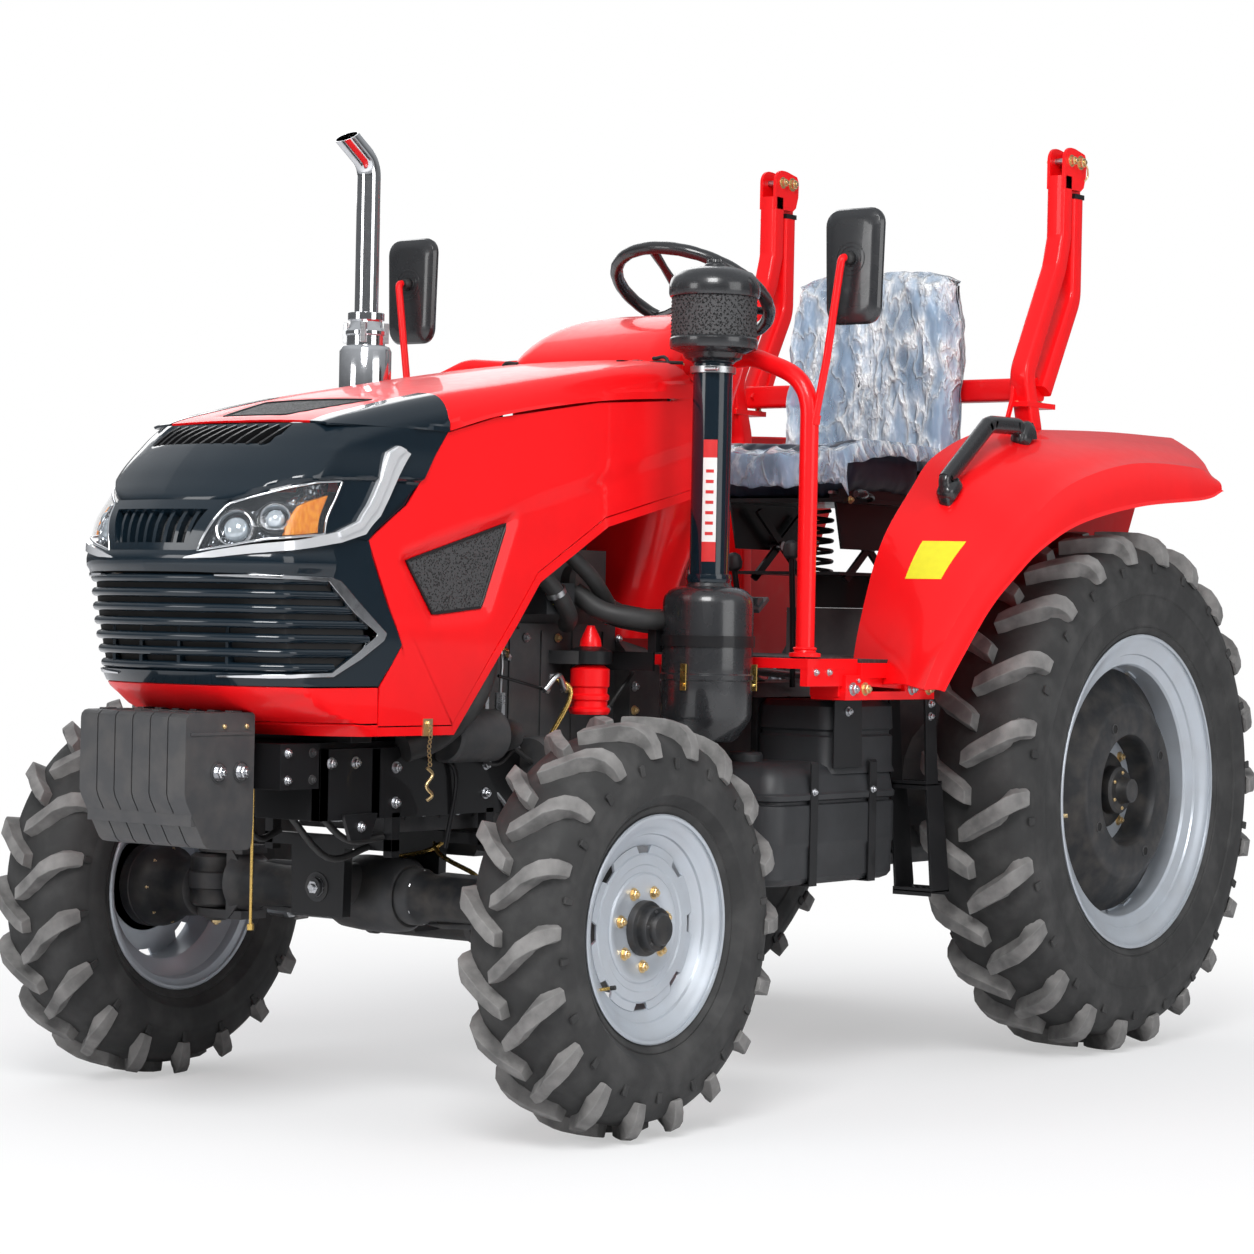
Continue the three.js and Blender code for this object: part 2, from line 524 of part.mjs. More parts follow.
// A region grown by the gap, so that the panel beside it stays clear.
const grown = (region) => join(region, ...[[0, 1, 0], [0, -1, 0], [0, 0, 1], [0, 0, -1], [1, 0, 0], [-1, 0,
  0]]
  .map((v) => region.translate(v.map((k) => k * GAP * 1.3))));

const CHIN_TOP = 862;
const CHIN_BACK = 62;
const tongue = midBox(185, NOSE_Y - 70, 1250, NOSE_Y + 300, 1700);
const noseRegion = cut(prism(behindNose([[247, 1700], [247, 1368], [134, 1217], [26, 1145], [125, 944],
  [CHIN_BACK, CHIN_TOP], [-FAR, CHIN_TOP], [-FAR, 1700]]), 'yz', -400, 400), tongue);
const chinRegion = midBox(400, NOSE_Y - FAR, 700, NOSE_Y + CHIN_BACK, CHIN_TOP);
const topRegion = join(prism([...behindNose([[247, 1366], [392, 1404], [718, 1455]]), [HOOD_REAR_Y + 28,
  1486],
  [HOOD_REAR_Y + 28, 1800], ...behindNose([[247, 1800]])], 'yz', -400, 400), tongue);

// Openings in the nose: two lamps that wrap the corners, and the grille, which runs to a point.
const lampRegion = prism([[113, 1112], [150, 1205], [240, 1240], [330, 1256], [330, 1156], [240, 1140]], 'xz',
  NOSE_Y - FAR, NOSE_Y - 35);
const grilleRegion = prism(behindNose([[-FAR, 888], [-80, 888], [60, 965], [-70, 1062], [-FAR, 1074]]),
  'yz', -400, 400);
const nose = cut(hoodShell.intersect(noseRegion), grown(lampRegion), grown(mirrored(lampRegion)),
  grown(grilleRegion));
const slots = [-80, -40, 0, 40, 80].map((x) => box(x - 13, NOSE_Y - FAR, 1128, x + 13, NOSE_Y - 100, 1196));
node('nose_frame', BLACK, cut(nose, ...slots), hood);
node('hood_chin', RED, cut(hoodShell.intersect(chinRegion), grown(noseRegion)), hood);

const deepBody = hoodBody(SHEET, 50, 30);
const lamp = cut(hoodOuter, deepBody).intersect(lampRegion);
pair('headlamp', LENS, lamp, hood);

const BARS = 6;
const barPitch = (1074 - 888) / BARS;
const grilleSlots = Array.from({ length: BARS }, (_, i) => {
  const z = 888 + (i + 0.5) * barPitch;
  return join(...[-119, 119].map((x) => box(x - 113, NOSE_Y - FAR, z - 8, x + 113, NOSE_Y - 90, z + 8)));
});
const grille = cut(hoodOuter, hoodBody(SHEET, 50, 22)).intersect(grilleRegion);
node('grille', BLACK, cut(grille, ...grilleSlots), hood);

// The top panel ends in two lugs that turn on the hinge pin.
const LUG_X = 160;
const lugs = [-1, 1].map((s) => cut(join(
  box(s * LUG_X - 8, HOOD_PIN_Y - 60, HOOD_PIN_Z - 9, s * LUG_X + 8, HOOD_PIN_Y, HOOD_PIN_Z + 5),
  bar([s * LUG_X - 8, HOOD_PIN_Y, HOOD_PIN_Z], [s * LUG_X + 8, HOOD_PIN_Y, HOOD_PIN_Z], 9, 9, 10)),
bar([s * LUG_X - 20, HOOD_PIN_Y, HOOD_PIN_Z], [s * LUG_X + 20, HOOD_PIN_Y, HOOD_PIN_Z], 5.6, 5.6, 8)));
node('hood_top', RED, join(cut(hoodShell.intersect(topRegion), grown(noseRegion)), ...lugs), hood);

// A side panel is pressed in around its air inlet.
const inlet = prism(behindNose([[135, 1110], [452, 1199], [373, 1016], [219, 1000]]), 'yz', 0, 400);
const sideSheet = cut(hoodShell, grown(noseRegion), grown(chinRegion), grown(topRegion),
  box(-400, NOSE_Y - FAR, 600, 0, 0, 1900));
const pressed = cut(sideSheet, cut(inlet, hoodBody(2.5, 50)));
pair('hood_side', RED, pressed, hood);

// ---- dash cowl and steering ----
const COWL_FRONT = HOOD_PIN_Y + 18;
const COWL_HALF = 232;
const COWL_FOOT = 960.3;
const cowlRings = [
  [COWL_FOOT, -400, -240, 150], [1240, COWL_FRONT, -170, 215], [1480, COWL_FRONT, -100, COWL_HALF],
  [1562, COWL_FRONT, -60, COWL_HALF], [1625, -330, -30, 216], [1665, -250, -5, 196], [1692, -110, 5, 150],
];
// The cowl's rear face and half width at a height.
function cowlAt(z) {
  const i = Math.max(1, cowlRings.findIndex(([top]) => top >= z));
  const [low, high] = [cowlRings[i - 1], cowlRings[i]];
  const t = Math.max(0, (z - low[0]) / (high[0] - low[0]));
  return { rear: low[2] + t * (high[2] - low[2]), half: low[3] + t * (high[3] - low[3]) };
}
const cowlSolid = loft(cowlRings.map(([z, front, rear, half]) => {
  const c = 28;
  return [[-half, front + c], [-half + c, front], [half - c, front], [half, front + c], [half, rear - c],
    [half - c, rear], [-half + c, rear], [-half, rear - c]].map(([x, y]) => [x, y, z]);
}));
const hingeCheeks = [-1, 1].flatMap((s) => [-13, 13].map((dx) => join(
  box(s * LUG_X + dx - 4, HOOD_PIN_Y, HOOD_PIN_Z - 9, s * LUG_X + dx + 4, COWL_FRONT + 30, HOOD_PIN_Z + 5),
  bar([s * LUG_X + dx - 4, HOOD_PIN_Y, HOOD_PIN_Z], [s * LUG_X + dx + 4, HOOD_PIN_Y, HOOD_PIN_Z], 8, 8,
    10))));
const hingePins = [-1, 1].map((s) =>
  bar([s * LUG_X - 17, HOOD_PIN_Y, HOOD_PIN_Z], [s * LUG_X + 17, HOOD_PIN_Y, HOOD_PIN_Z], 5, 5, 8));
const WHEEL_TILT = 28;
const STEER_HUB = [0, 20, 1760];
const shaftDir = [0, Math.sin(rad(WHEEL_TILT)), Math.cos(rad(WHEEL_TILT))];
const onShaft = (d) => STEER_HUB.map((v, i) => v + d * shaftDir[i]);
node('dash_cowl', RED, cut(join(cowlSolid, bar(onShaft(-150), onShaft(-62), 26, 24), ...hingeCheeks,
  ...hingePins),
  bar(onShaft(-140), onShaft(0), 14.6)));

const SPOKE = 175;
const wheelRim = turned(Array.from({ length: 7 }, (_, i) => {
  const a = (i % 6) * Math.PI / 3;
  return [184 + 16 * Math.cos(a), 16 * Math.sin(a)];
}), [0, 0, 0], [0, 1, 0], 20);
const spokes = [90, 210, 330].map((a) =>
  bar([0, -28, 0], [SPOKE * Math.cos(rad(a)), -2, SPOKE * Math.sin(rad(a))], 11, 9, 8));
const steeringWheel = join(wheelRim, ...spokes, bar([0, -48, 0], [0, -8, 0], 36, 30),
  bar([0, -132, 0], [0, -40, 0], 14));
node('steering_wheel', BLACK, steeringWheel, group('steering', STEER_HUB, rad(90 - WHEEL_TILT)));

// ---- floor, fenders, rails and mirrors ----
const FLOOR_UNDER = FLOOR_TOP - 25;
const cowlFoot = cowlAt(FLOOR_TOP);
node('floor', RED, cut(join(
  midBox(450, FLOOR_FRONT, FLOOR_UNDER, 240, FLOOR_TOP),
  midBox(FLOOR_HALF, FLOOR_FRONT, FLOOR_UNDER, -140, FLOOR_TOP),
  ...[-1, 1].map((s) => join(
    box(s > 0 ? FLOOR_HALF - 20 : -FLOOR_HALF, FLOOR_FRONT, 868, s > 0 ? FLOOR_HALF : 20 - FLOOR_HALF,
      -140, FLOOR_TOP),
    box(s > 0 ? 500 : -590, -200, 838, s > 0 ? 590 : -500, 160, 855),
    box(s > 0 ? 500 : -FLOOR_HALF, -200, 838, s > 0 ? FLOOR_HALF : -500, -150, FLOOR_UNDER))),
  midBox(FLOOR_HALF - 20, -160, 860 + GAP, -110, FLOOR_UNDER)),
midBox(cowlFoot.half + 22, FLOOR_FRONT - 10, 800, cowlFoot.rear + 15, FLOOR_TOP + 10)));

// Stations up and over the wheel, as [y, z] at the inner edge, the outer shoulder and the lip below it.
const fenderLine = [
  [[10, 861], [-110, 861], [-62, 861]], [[45, 1000], [-55, 935], [5, 930]], [[125, 1181], [75, 1062], [120,
    1040]],
  [[246, 1311], [208, 1152], [235, 1118]], [[351, 1396], [330, 1238], [345, 1180]],
  [[571, 1466], [510, 1330], [520, 1243]], [[851, 1483], [800, 1391], [800, 1293]],
  [[1175, 1496], [1120, 1397], [1120, 1322]], [[1500, 1500], [1215, 1376], [1222, 1348]],
];
const FENDER_IN = 461;
const FENDER_OUT = 750;
const FENDER_SHEET = 6;
const fenderTop = loft(fenderLine.map(([[yi, zi], [ys, zs], [yl, zl]], i) => {
  const lie = Math.min(1, 0.45 + i / 8); // the sheet stands at the front and lies flat on top
  const [dy, dz] = [FENDER_SHEET * (1.3 - lie), FENDER_SHEET * lie];
  const [xr, yr, zr] = [FENDER_IN + 130, yi * 0.55 + ys * 0.45, zi * 0.55 + zs * 0.45 + 12];
  return [[FENDER_IN, yi, zi], [xr, yr, zr], [FENDER_OUT - 12, ys, zs], [FENDER_OUT, yl, zl],
    [FENDER_OUT - 6, yl + 1, zl - 1], [FENDER_OUT - 18, ys + dy, zs - dz], [xr, yr + dy, zr - dz],
    [FENDER_IN, yi + dy, zi - dz]];
}));
const wallOutline = [...fenderLine.map(([[y, z]]) => [y + 3, z - 3]), [1500, 1470], [1340, 1380], [1120, 960],
  [1000, 830], [1000, 740], [700, 740], [600, 861]];
const fenderWall = prism(wallOutline, 'yz', FENDER_IN, FENDER_IN + FENDER_SHEET);
pair('fender', RED, join(fenderTop, fenderWall));

const HANDLE_X = 555;
const handlePath = [[255, 1288], [222, 1315], [440, 1480], [570, 1480], [604, 1450]].map(([y,
  z]) => [HANDLE_X, y, z]);
pair('grab_handle', PLASTIC, cut(pipe(handlePath, round(15, 6), 45, 2), grown(fenderTop)));

const RAIL_X = 550;
const RAIL_Y = -300;
const MIRROR_X = 622;
const MIRROR_Y = -250;
const rail = join(
  pipe([[RAIL_X, RAIL_Y, FLOOR_TOP + GAP], [RAIL_X, RAIL_Y, 1520], [400, RAIL_Y, 1575], [COWL_HALF - 20,
    RAIL_Y, 1560]],
    round(20, 10), 110, 2),
  bar([RAIL_X, RAIL_Y, FLOOR_TOP + GAP], [RAIL_X, RAIL_Y, FLOOR_TOP + 8], 34, 34, 12),
  pipe([[RAIL_X, RAIL_Y, 1430], [RAIL_X + 20, RAIL_Y + 6, 1450], [MIRROR_X, MIRROR_Y - 48, 1779],
    [MIRROR_X, MIRROR_Y - 15 - GAP, 1779]], round(9, 6), 30, 2));
pair('handrail', RED, cut(rail, grown(cowlSolid)));
pair('mirror', PLASTIC, join(
  box(MIRROR_X - 74, MIRROR_Y - 15, 1640, MIRROR_X + 74, MIRROR_Y + 13, 1888)));

// ---- tank, battery, steps ----
node('fuel_tank', PLASTIC, join(box(300, -390, 440, 548, 100, 700), box(330, -180, 690, 540, 100,
  838 - GAP), box(168, -330, 560, 310, -300, 640)));
node('battery_box', PLASTIC, join(box(-540, -330, 470, -310, 60, 700), box(-548, -338, 680, -302, 68, 712),
  box(-320, -330, 560, -168, -300, 640)));
const stepStrip = (x) => prism([[108, 838 - GAP], [150, 838 - GAP], [210, 405], [150, 405]], 'yz', x, x + 6);
pair('step', BLACK, join(stepStrip(500), stepStrip(594), box(500, 118, 645, 600, 182, 651), box(500, 145,
  405, 600, 225, 411)));

// ---- seat ----
const AXLE_TOP = 1040;
node('seat_base', BLACK, join(midBox(110, 630, AXLE_TOP + GAP, 745, 1300), midBox(190, 380, 1290, 745,
  1322)));
node('seat_cushion', SEAT, join(midBox(235, 330, 1322 + GAP, 745, 1430)));
node('seat_back', SEAT, prism([[745 + GAP, 1340], [830, 1340], [838, 1860], [770, 1860], [745 + GAP,
  1440]], 'yz', -240, 240));

// ---- air cleaner and exhaust ----
const CAN = [395, -440];
node('air_cleaner', PLASTIC, join(
  turned([[0, 745], [60, 745], [98, 810], [98, 1052], [80, 1072], [42, 1076], [42, 1545], [60, 1568], [94,
    1580], [94, 1740],
    [70, 1768], [0, 1768]], [CAN[0], CAN[1], 0], [0, 0, 1], 16),
  box(140 + GAP, -520, 880, 330, -430, 940)));
const STACK = [-350, -712];
node('exhaust', CHROME, join(
  bar([STACK[0], STACK[1], 1160], [STACK[0], STACK[1], 1590], 57, 57, 14),
  bar([STACK[0], STACK[1], 1590], [STACK[0], STACK[1], 1645], 42, 34),
  pipe([[STACK[0], STACK[1], 1640], [STACK[0], STACK[1], 1990], [STACK[0], STACK[1] - 75, 2040]], round(26,
    12), 50, 2),
  pipe([[STACK[0], STACK[1], 1170], [STACK[0], STACK[1], 1070], [-125 - GAP, STACK[1], 1070]], round(24,
    8), 60, 2)));

// ---- roll-over protection: two posts, and a hoop folded down behind them ----
const postPath = [[POST_X, REAR_AXLE_Y, 712], [POST_X, 828, 1482], [POST_X, 785, 1613], [POST_X, 930, 1882],
  [POST_X, 952, 1960], [POST_X, 952, ROPS_PIN_Z - 34]];
const EAR = 8;
const POST_FOOT = REAR_TYRE_R + trumpetAt(POST_X - POST_W / 2); // its plate rests on the axle housing
const ears = [POST_X - POST_W / 2, POST_X + POST_W / 2 - EAR].map((x) => join(
  box(x, 930, ROPS_PIN_Z - 70, x + EAR, ROPS_PIN_Y + 32, ROPS_PIN_Z),
  bar([x, ROPS_PIN_Y, ROPS_PIN_Z], [x + EAR, ROPS_PIN_Y, ROPS_PIN_Z], 32),
  bar([x, 962, ROPS_PIN_Z], [x + EAR, 962, ROPS_PIN_Z], 32),
  box(x, 962, ROPS_PIN_Z, x + EAR, ROPS_PIN_Y, ROPS_PIN_Z + 32)));
pair('rops_post', RED, join(
  pipe(postPath, rect(POST_W, POST_D), 60, 2),
  box(POST_X - POST_W / 2, 760, POST_FOOT + GAP, POST_X + POST_W / 2, 940, POST_FOOT + 18),
  box(POST_X - POST_W / 2, 775, 1536, POST_X + POST_W / 2, 905, 1548),
  box(POST_X + 20, 800, 1150, FENDER_IN - GAP, 870, 1300),
  ...ears,
  bar([POST_X - 34, ROPS_PIN_Y, ROPS_PIN_Z], [POST_X + 34, ROPS_PIN_Y, ROPS_PIN_Z], 10, 10, 12)));

const HOOP_BAR_Y = 872;
const HOOP_BAR_Z = 1583;
const lug = cut(join(
  bar([POST_X - 14, ROPS_PIN_Y, ROPS_PIN_Z], [POST_X + 14, ROPS_PIN_Y, ROPS_PIN_Z], 26),
  box(POST_X - 14, ROPS_PIN_Y - 23, ROPS_PIN_Z - 120, POST_X + 14, ROPS_PIN_Y + 23, ROPS_PIN_Z)),
bar([POST_X - 20, ROPS_PIN_Y, ROPS_PIN_Z], [POST_X + 20, ROPS_PIN_Y, ROPS_PIN_Z], 10.8, 10.8, 12));
const hoopHalf = join(lug, pipe([[POST_X, ROPS_PIN_Y, ROPS_PIN_Z - 80], [POST_X, ROPS_PIN_Y, 1815],
  [POST_X, HOOP_BAR_Y, HOOP_BAR_Z - 5]], rect(POST_W, 46), 80, 2));
node('rops_hoop', RED, join(hoopHalf, mirrored(hoopHalf),
  box(-POST_X, HOOP_BAR_Y - 24, HOOP_BAR_Z - 28, POST_X, HOOP_BAR_Y + 24, HOOP_BAR_Z + 28)));

// ---- hitch ----
const ARM_X = 300;
const ROD_X = ARM_X + 24;
const LINK_X = 224;
const LINK_END_X = 341;
const LINK_REAR_Y = LINK_END_Y - 27;
const LINK_REAR_Z = 480;
const ROD_EYE = 0.5; // how far along the lower link the lift rod is pinned
const rodEye = [LINK_X + (LINK_END_X - LINK_X) * ROD_EYE, LOWER_PIN_Y + (LINK_REAR_Y - LOWER_PIN_Y) * ROD_EYE,
  LOWER_PIN_Z + (LINK_REAR_Z - LOWER_PIN_Z) * ROD_EYE];
const lowerLink = cut(join(
  loft([[LINK_X, LOWER_PIN_Y, LOWER_PIN_Z], [LINK_END_X, LINK_REAR_Y - 20, LINK_REAR_Z]].map(([x, y, z]) =>
    [[x - 11, y, z - 30], [x + 11, y, z - 30], [x + 11, y, z + 30], [x - 11, y, z + 30]])),
  bar([LINK_X - 18, LOWER_PIN_Y, LOWER_PIN_Z], [LINK_X + 18, LOWER_PIN_Y, LOWER_PIN_Z], 27),
  bar([LINK_END_X - 22, LINK_REAR_Y, LINK_REAR_Z], [LINK_END_X + 22, LINK_REAR_Y, LINK_REAR_Z], 27),
  bar([rodEye[0], rodEye[1], rodEye[2] + 14], [ROD_X + 12, rodEye[1], rodEye[2] + 14], 9, 9, 12)),
bar([LINK_X - 30, LOWER_PIN_Y, LOWER_PIN_Z], [LINK_X + 30, LOWER_PIN_Y, LOWER_PIN_Z], 12.8, 12.8, 12),
bar([LINK_END_X - 40, LINK_REAR_Y, LINK_REAR_Z], [LINK_END_X + 40, LINK_REAR_Y, LINK_REAR_Z], 11, 11, 8));
pair('lower_link', CAST, lowerLink);

// The rock shaft turns in the lift cover and carries both lift arms.
const ARM = 235;
const ARM_END = [ARM_X, LIFT_SHAFT_Y + ARM, LIFT_SHAFT_Z + 10];
const armHalf = join(
  loft([[LIFT_SHAFT_Y, LIFT_SHAFT_Z, 36], [ARM_END[1], ARM_END[2], 22]].map(([y, z, h]) =>
    [[ARM_X - 10, y, z - h], [ARM_X + 10, y, z - h], [ARM_X + 10, y, z + h], [ARM_X - 10, y, z + h]])),
  bar([ARM_X - 10, LIFT_SHAFT_Y, LIFT_SHAFT_Z], [ARM_X + 10, LIFT_SHAFT_Y, LIFT_SHAFT_Z], 40),
  bar([ARM_X - 10, ARM_END[1], ARM_END[2]], [ARM_X + 10, ARM_END[1], ARM_END[2]], 22));
node('lift_arms', CAST, join(armHalf, mirrored(armHalf),
  bar([-ARM_X, LIFT_SHAFT_Y, LIFT_SHAFT_Z], [ARM_X, LIFT_SHAFT_Y, LIFT_SHAFT_Z], LIFT_SHAFT_R,
    LIFT_SHAFT_R, 16)));

const rodTop = [ROD_X, ARM_END[1], ARM_END[2]];
const rodLow = [ROD_X, rodEye[1], rodEye[2] + 14];
const rodEyeRing = ([x, y, z]) => bar([x - 8, y, z], [x + 8, y, z], 20, 20, 12);
const rodEyeBore = ([x, y, z]) => bar([x - 12, y, z], [x + 12, y, z], 9.8, 9.8, 12);
pair('lift_rod', STEEL, cut(join(bar(rodTop, rodLow, 12, 12, 12), rodEyeRing(rodTop), rodEyeRing(rodLow)),
  rodEyeBore(rodTop), rodEyeBore(rodLow)));

const topLinkEnd = [0, 1510, 1010];
node('top_link', STEEL, cut(join(bar([0, TOP_PIN_Y, TOP_PIN_Z], topLinkEnd, 15, 15, 8),
  bar([-14, TOP_PIN_Y, TOP_PIN_Z], [14, TOP_PIN_Y, TOP_PIN_Z], 24),
  bar([-20, ...topLinkEnd.slice(1)], [20, ...topLinkEnd.slice(1)], 26)),
bar([-20, TOP_PIN_Y, TOP_PIN_Z], [20, TOP_PIN_Y, TOP_PIN_Z], 9.8),
bar([-30, ...topLinkEnd.slice(1)], [30, ...topLinkEnd.slice(1)], 10, 10, 8)));

node('drawbar', CAST, cut(join(midBox(32, 640, 400, 1400, 428), midBox(60, 900, 428 - 1, 1000, 455 - GAP)),
  bar([0, 1355, 380], [0, 1355, 450], 13, 13, 10)));

export default tractor;
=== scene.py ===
import random
from math import acos, copysign, cos, exp, hypot, pi, radians, sin, sqrt, tan

import bmesh
import bpy
from mathutils import Matrix, Vector


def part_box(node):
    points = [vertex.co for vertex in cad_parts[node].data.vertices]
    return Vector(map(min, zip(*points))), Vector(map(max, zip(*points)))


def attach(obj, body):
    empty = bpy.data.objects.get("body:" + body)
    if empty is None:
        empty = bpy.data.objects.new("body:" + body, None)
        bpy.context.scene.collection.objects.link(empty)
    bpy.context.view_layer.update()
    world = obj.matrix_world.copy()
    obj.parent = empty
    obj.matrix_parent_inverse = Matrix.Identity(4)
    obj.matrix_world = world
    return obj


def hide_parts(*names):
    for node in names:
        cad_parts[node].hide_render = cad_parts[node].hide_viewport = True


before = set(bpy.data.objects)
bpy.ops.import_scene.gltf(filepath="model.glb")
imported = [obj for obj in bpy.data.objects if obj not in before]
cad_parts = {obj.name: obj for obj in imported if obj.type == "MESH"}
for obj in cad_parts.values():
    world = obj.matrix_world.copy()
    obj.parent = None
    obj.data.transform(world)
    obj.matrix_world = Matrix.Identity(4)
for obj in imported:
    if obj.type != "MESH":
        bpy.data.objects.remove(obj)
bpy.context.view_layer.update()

bl_info = {
    "name": "Farm tractor",
    "version": (1, 0, 0),
    "blender": (4, 5, 0),
    "location": "3D view > Sidebar > Farm tractor",
    "description": "Builds a compact farm tractor round its packed joints",
    "category": "Object",
}

MM = 0.001
LEFT, REAR, UP = (1, 0, 0), (0, 1, 0), (0, 0, 1)
SIDES = (("left", 1), ("right", -1))
# Ends each finish's name, because the frame has plain materials of its own under the slots' names.
FINISH_END = "_finish"


# ---- finishes ----

class Wire:
    """One output of a shader node, so that a finish is written as a sum."""

    def __init__(self, finish, socket):
        self.finish = finish
        self.socket = socket

    def _maths(self, operation, first, second):
        return self.finish.node("ShaderNodeMath", {"operation": operation}, {0: first, 1: second})

    def __add__(self, other): return self._maths("ADD", self, other)
    def __radd__(self, other): return self._maths("ADD", other, self)
    def __sub__(self, other): return self._maths("SUBTRACT", self, other)
    def __rsub__(self, other): return self._maths("SUBTRACT", other, self)
    def __mul__(self, other): return self._maths("MULTIPLY", self, other)
    def __rmul__(self, other): return self._maths("MULTIPLY", other, self)
    def __pow__(self, other): return self._maths("POWER", self, other)


class Finish:
    """A material with one Principled shader, set up by what its surface is like."""

    def __init__(self, name):
        self.material = bpy.data.materials.new(name + FINISH_END)
        self.material.use_nodes = True
        self.tree = self.material.node_tree
        self.tree.nodes.clear()
        self.shader = self.tree.nodes.new("ShaderNodeBsdfPrincipled")
        output = self.tree.nodes.new("ShaderNodeOutputMaterial")
        self.tree.links.new(self.shader.outputs[0], output.inputs[0])

    def feed(self, socket, value):
        if isinstance(value, Wire):
            self.tree.links.new(value.socket, socket)
        else:
            socket.default_value = value

    def node(self, kind, settings=None, sockets=None, out=0):
        made = self.tree.nodes.new(kind)
        for key, value in (settings or {}).items():
            if key == "stops":
                ramp = made.color_ramp
                ramp.elements[0].position, ramp.elements[1].position = value[0][0], value[1][0]
                for element, (_, grey) in zip(ramp.elements, value):
                    element.color = (grey, grey, grey, 1)
            else:
                setattr(made, key, value)
        for key, value in (sockets or {}).items():
            self.feed(made.inputs[key], value)
        return Wire(self, made.outputs[out])

    def place(self, stretch=(1, 1, 1)):
        spot = self.node("ShaderNodeTexCoord", out="Object")
        return self.node("ShaderNodeMapping", None, {"Vector": spot, "Scale": stretch})

    def noise(self, scale, detail=2.0, stretch=(1, 1, 1)):
        return self.node("ShaderNodeTexNoise", None,
                         {"Vector": self.place(stretch), "Scale": scale, "Detail": detail})

    def cells(self, scale, stretch=(1, 1, 1)):
        return self.node("ShaderNodeTexVoronoi", None, {"Vector": self.place(stretch), "Scale": scale})

    def between(self, value, low, high):
        return self.node("ShaderNodeValToRGB", {"stops": ((low, 0.0), (high, 1.0))}, {0: value})

    def edges(self, low=0.51, high=0.56):
        # Pointy edges: thin paint on castings; on the lug tips, partly painted highlight.
        worn = self.node("ShaderNodeNewGeometry", out="Pointiness")
        return self.between(worn, low, high)

    def ridge(self, scale, stretch, sharp):
        """Thin bright lines where a noise crosses its middle, like creases in film."""
        from_middle = self.node("ShaderNodeMath", {"operation": "ABSOLUTE"},
                                {0: self.noise(scale, 5.0, stretch) - 0.5})
        return (1 - 2 * from_middle) ** sharp

    def mix(self, factor, first, second):
        return self.node("ShaderNodeMix", {"data_type": "RGBA"},
                         {0: factor, 6: rgba(first), 7: rgba(second)}, out=2)

    def bump(self, height, strength=0.3, depth=0.001):
        self.feed(self.shader.inputs["Normal"], self.node(
            "ShaderNodeBump", None, {"Strength": strength, "Distance": depth, "Height": height}))

    def set(self, **values):
        for key, value in values.items():
            socket = self.shader.inputs[key.replace("_", " ").title().replace("Ior", "IOR")]
            self.feed(socket, rgba(value) if key.endswith("color") else value)
        return self


def rgba(colour):
    return colour if isinstance(colour, Wire) else (*tuple(colour)[:3], 1.0)


def shade(colour, share):
    return tuple(min(1.0, c * share) for c in tuple(colour)[:3])


FINISHES = {}


def surface(slot):
    """Lists a finish under its own name, with the record's material slot that it belongs to."""
    def add(maker):
        FINISHES[maker.__name__] = slot, maker
        return maker
    return add


def finish(name):
    made = bpy.data.materials.get(name + FINISH_END)
    if made:
        return made
    f = Finish(name)
    FINISHES[name][1](f, bpy.context.scene.tractor_colours)
    return f.material


def grained(f, grain, tones, gloss, bump, **sockets):
    """Colour that drifts between two tones, gloss that drifts with a noise, and a fine texture.

    grain is a noise's scale and detail. gloss is a roughness, how much a noise adds, and that noise.
    bump is a kind of texture, its strength and depth, and its own sizes.
    """
    roughness, share, *smear = gloss
    texture, strength, depth, *sizes = bump
    f.set(base_color=f.mix(f.noise(*grain), *tones),
          roughness=roughness + share * f.noise(*smear) if share else roughness, **sockets)
    f.bump(getattr(f, texture)(*sizes), strength, depth)


def painted(f, colour, roughness, coat):
    """Sprayed paint: a flowing clear coat, a faint orange peel and a little drift in colour."""
    grained(f, (7.0, 3.0), (shade(colour, 0.86), shade(colour, 1.1)), (roughness, 0.12, 38.0, 4.0),
            ("noise", 0.05, 0.0006, 420.0, 1.0), specular_ior_level=0.2, coat_weight=coat,
            coat_roughness=0.03)


@surface("red_paint")
def red_paint(f, c):
    painted(f, c.red_paint, 0.34, 0.3)


@surface("red_paint")
def red_dusty(f, c):
    # Red paint darkened to six tenths: painted shade for faces turned from the light, with a little real dust
    # mixed in.
    painted(f, shade(c.red_paint, 0.62), 0.34, 0.3)
    dust = f.between(f.noise(16.0, 5.0), 0.5, 0.8)
    f.set(base_color=f.mix(dust * 0.12, shade(c.red_paint, 0.6), c.dust))


@surface("gloss_black")
def gloss_black(f, c):
    # The colour's blue tint is painted reflection of the sky on the black paint.
    painted(f, c.gloss_black, 0.1, 0.6)


@surface("black_paint")
def satin_black(f, c):
    painted(f, c.satin_black, 0.34, 0.2)


@surface("black_casting")
def cast_black(f, c):
    """Painted castings: a sandy skin, and edges where the paint is thin."""
    grime = f.between(f.noise(21.0, 5.0), 0.42, 0.75)
    base = f.mix(grime * 0.3, c.casting, shade(c.dust, 0.5))
    f.set(base_color=f.mix(f.edges() * 0.35, base, (0.16, 0.16, 0.165)),
          roughness=0.42 + 0.2 * f.noise(60.0, 3.0), metallic=0.25)
    f.bump(f.noise(520.0, 3.0), 0.35, 0.0008)


@surface("black_plastic")
def black_plastic(f, c):
    worn = f.between(f.noise(12.0, 4.0), 0.4, 0.8)
    f.set(base_color=f.mix(worn * 0.5, c.plastic, shade(c.plastic, 1.9)),
          roughness=0.4 + 0.18 * f.noise(30.0, 3.0))
    f.bump(f.cells(900.0), 0.14, 0.0004)


@surface("black_plastic")
def smooth_plastic(f, c):
    grained(f, (9.0, 3.0), (shade(c.plastic, 0.7), shade(c.plastic, 1.2)), (0.2, 0.14, 24.0, 3.0),
            ("noise", 0.04, 0.0005, 300.0, 1.0), coat_weight=0.4)


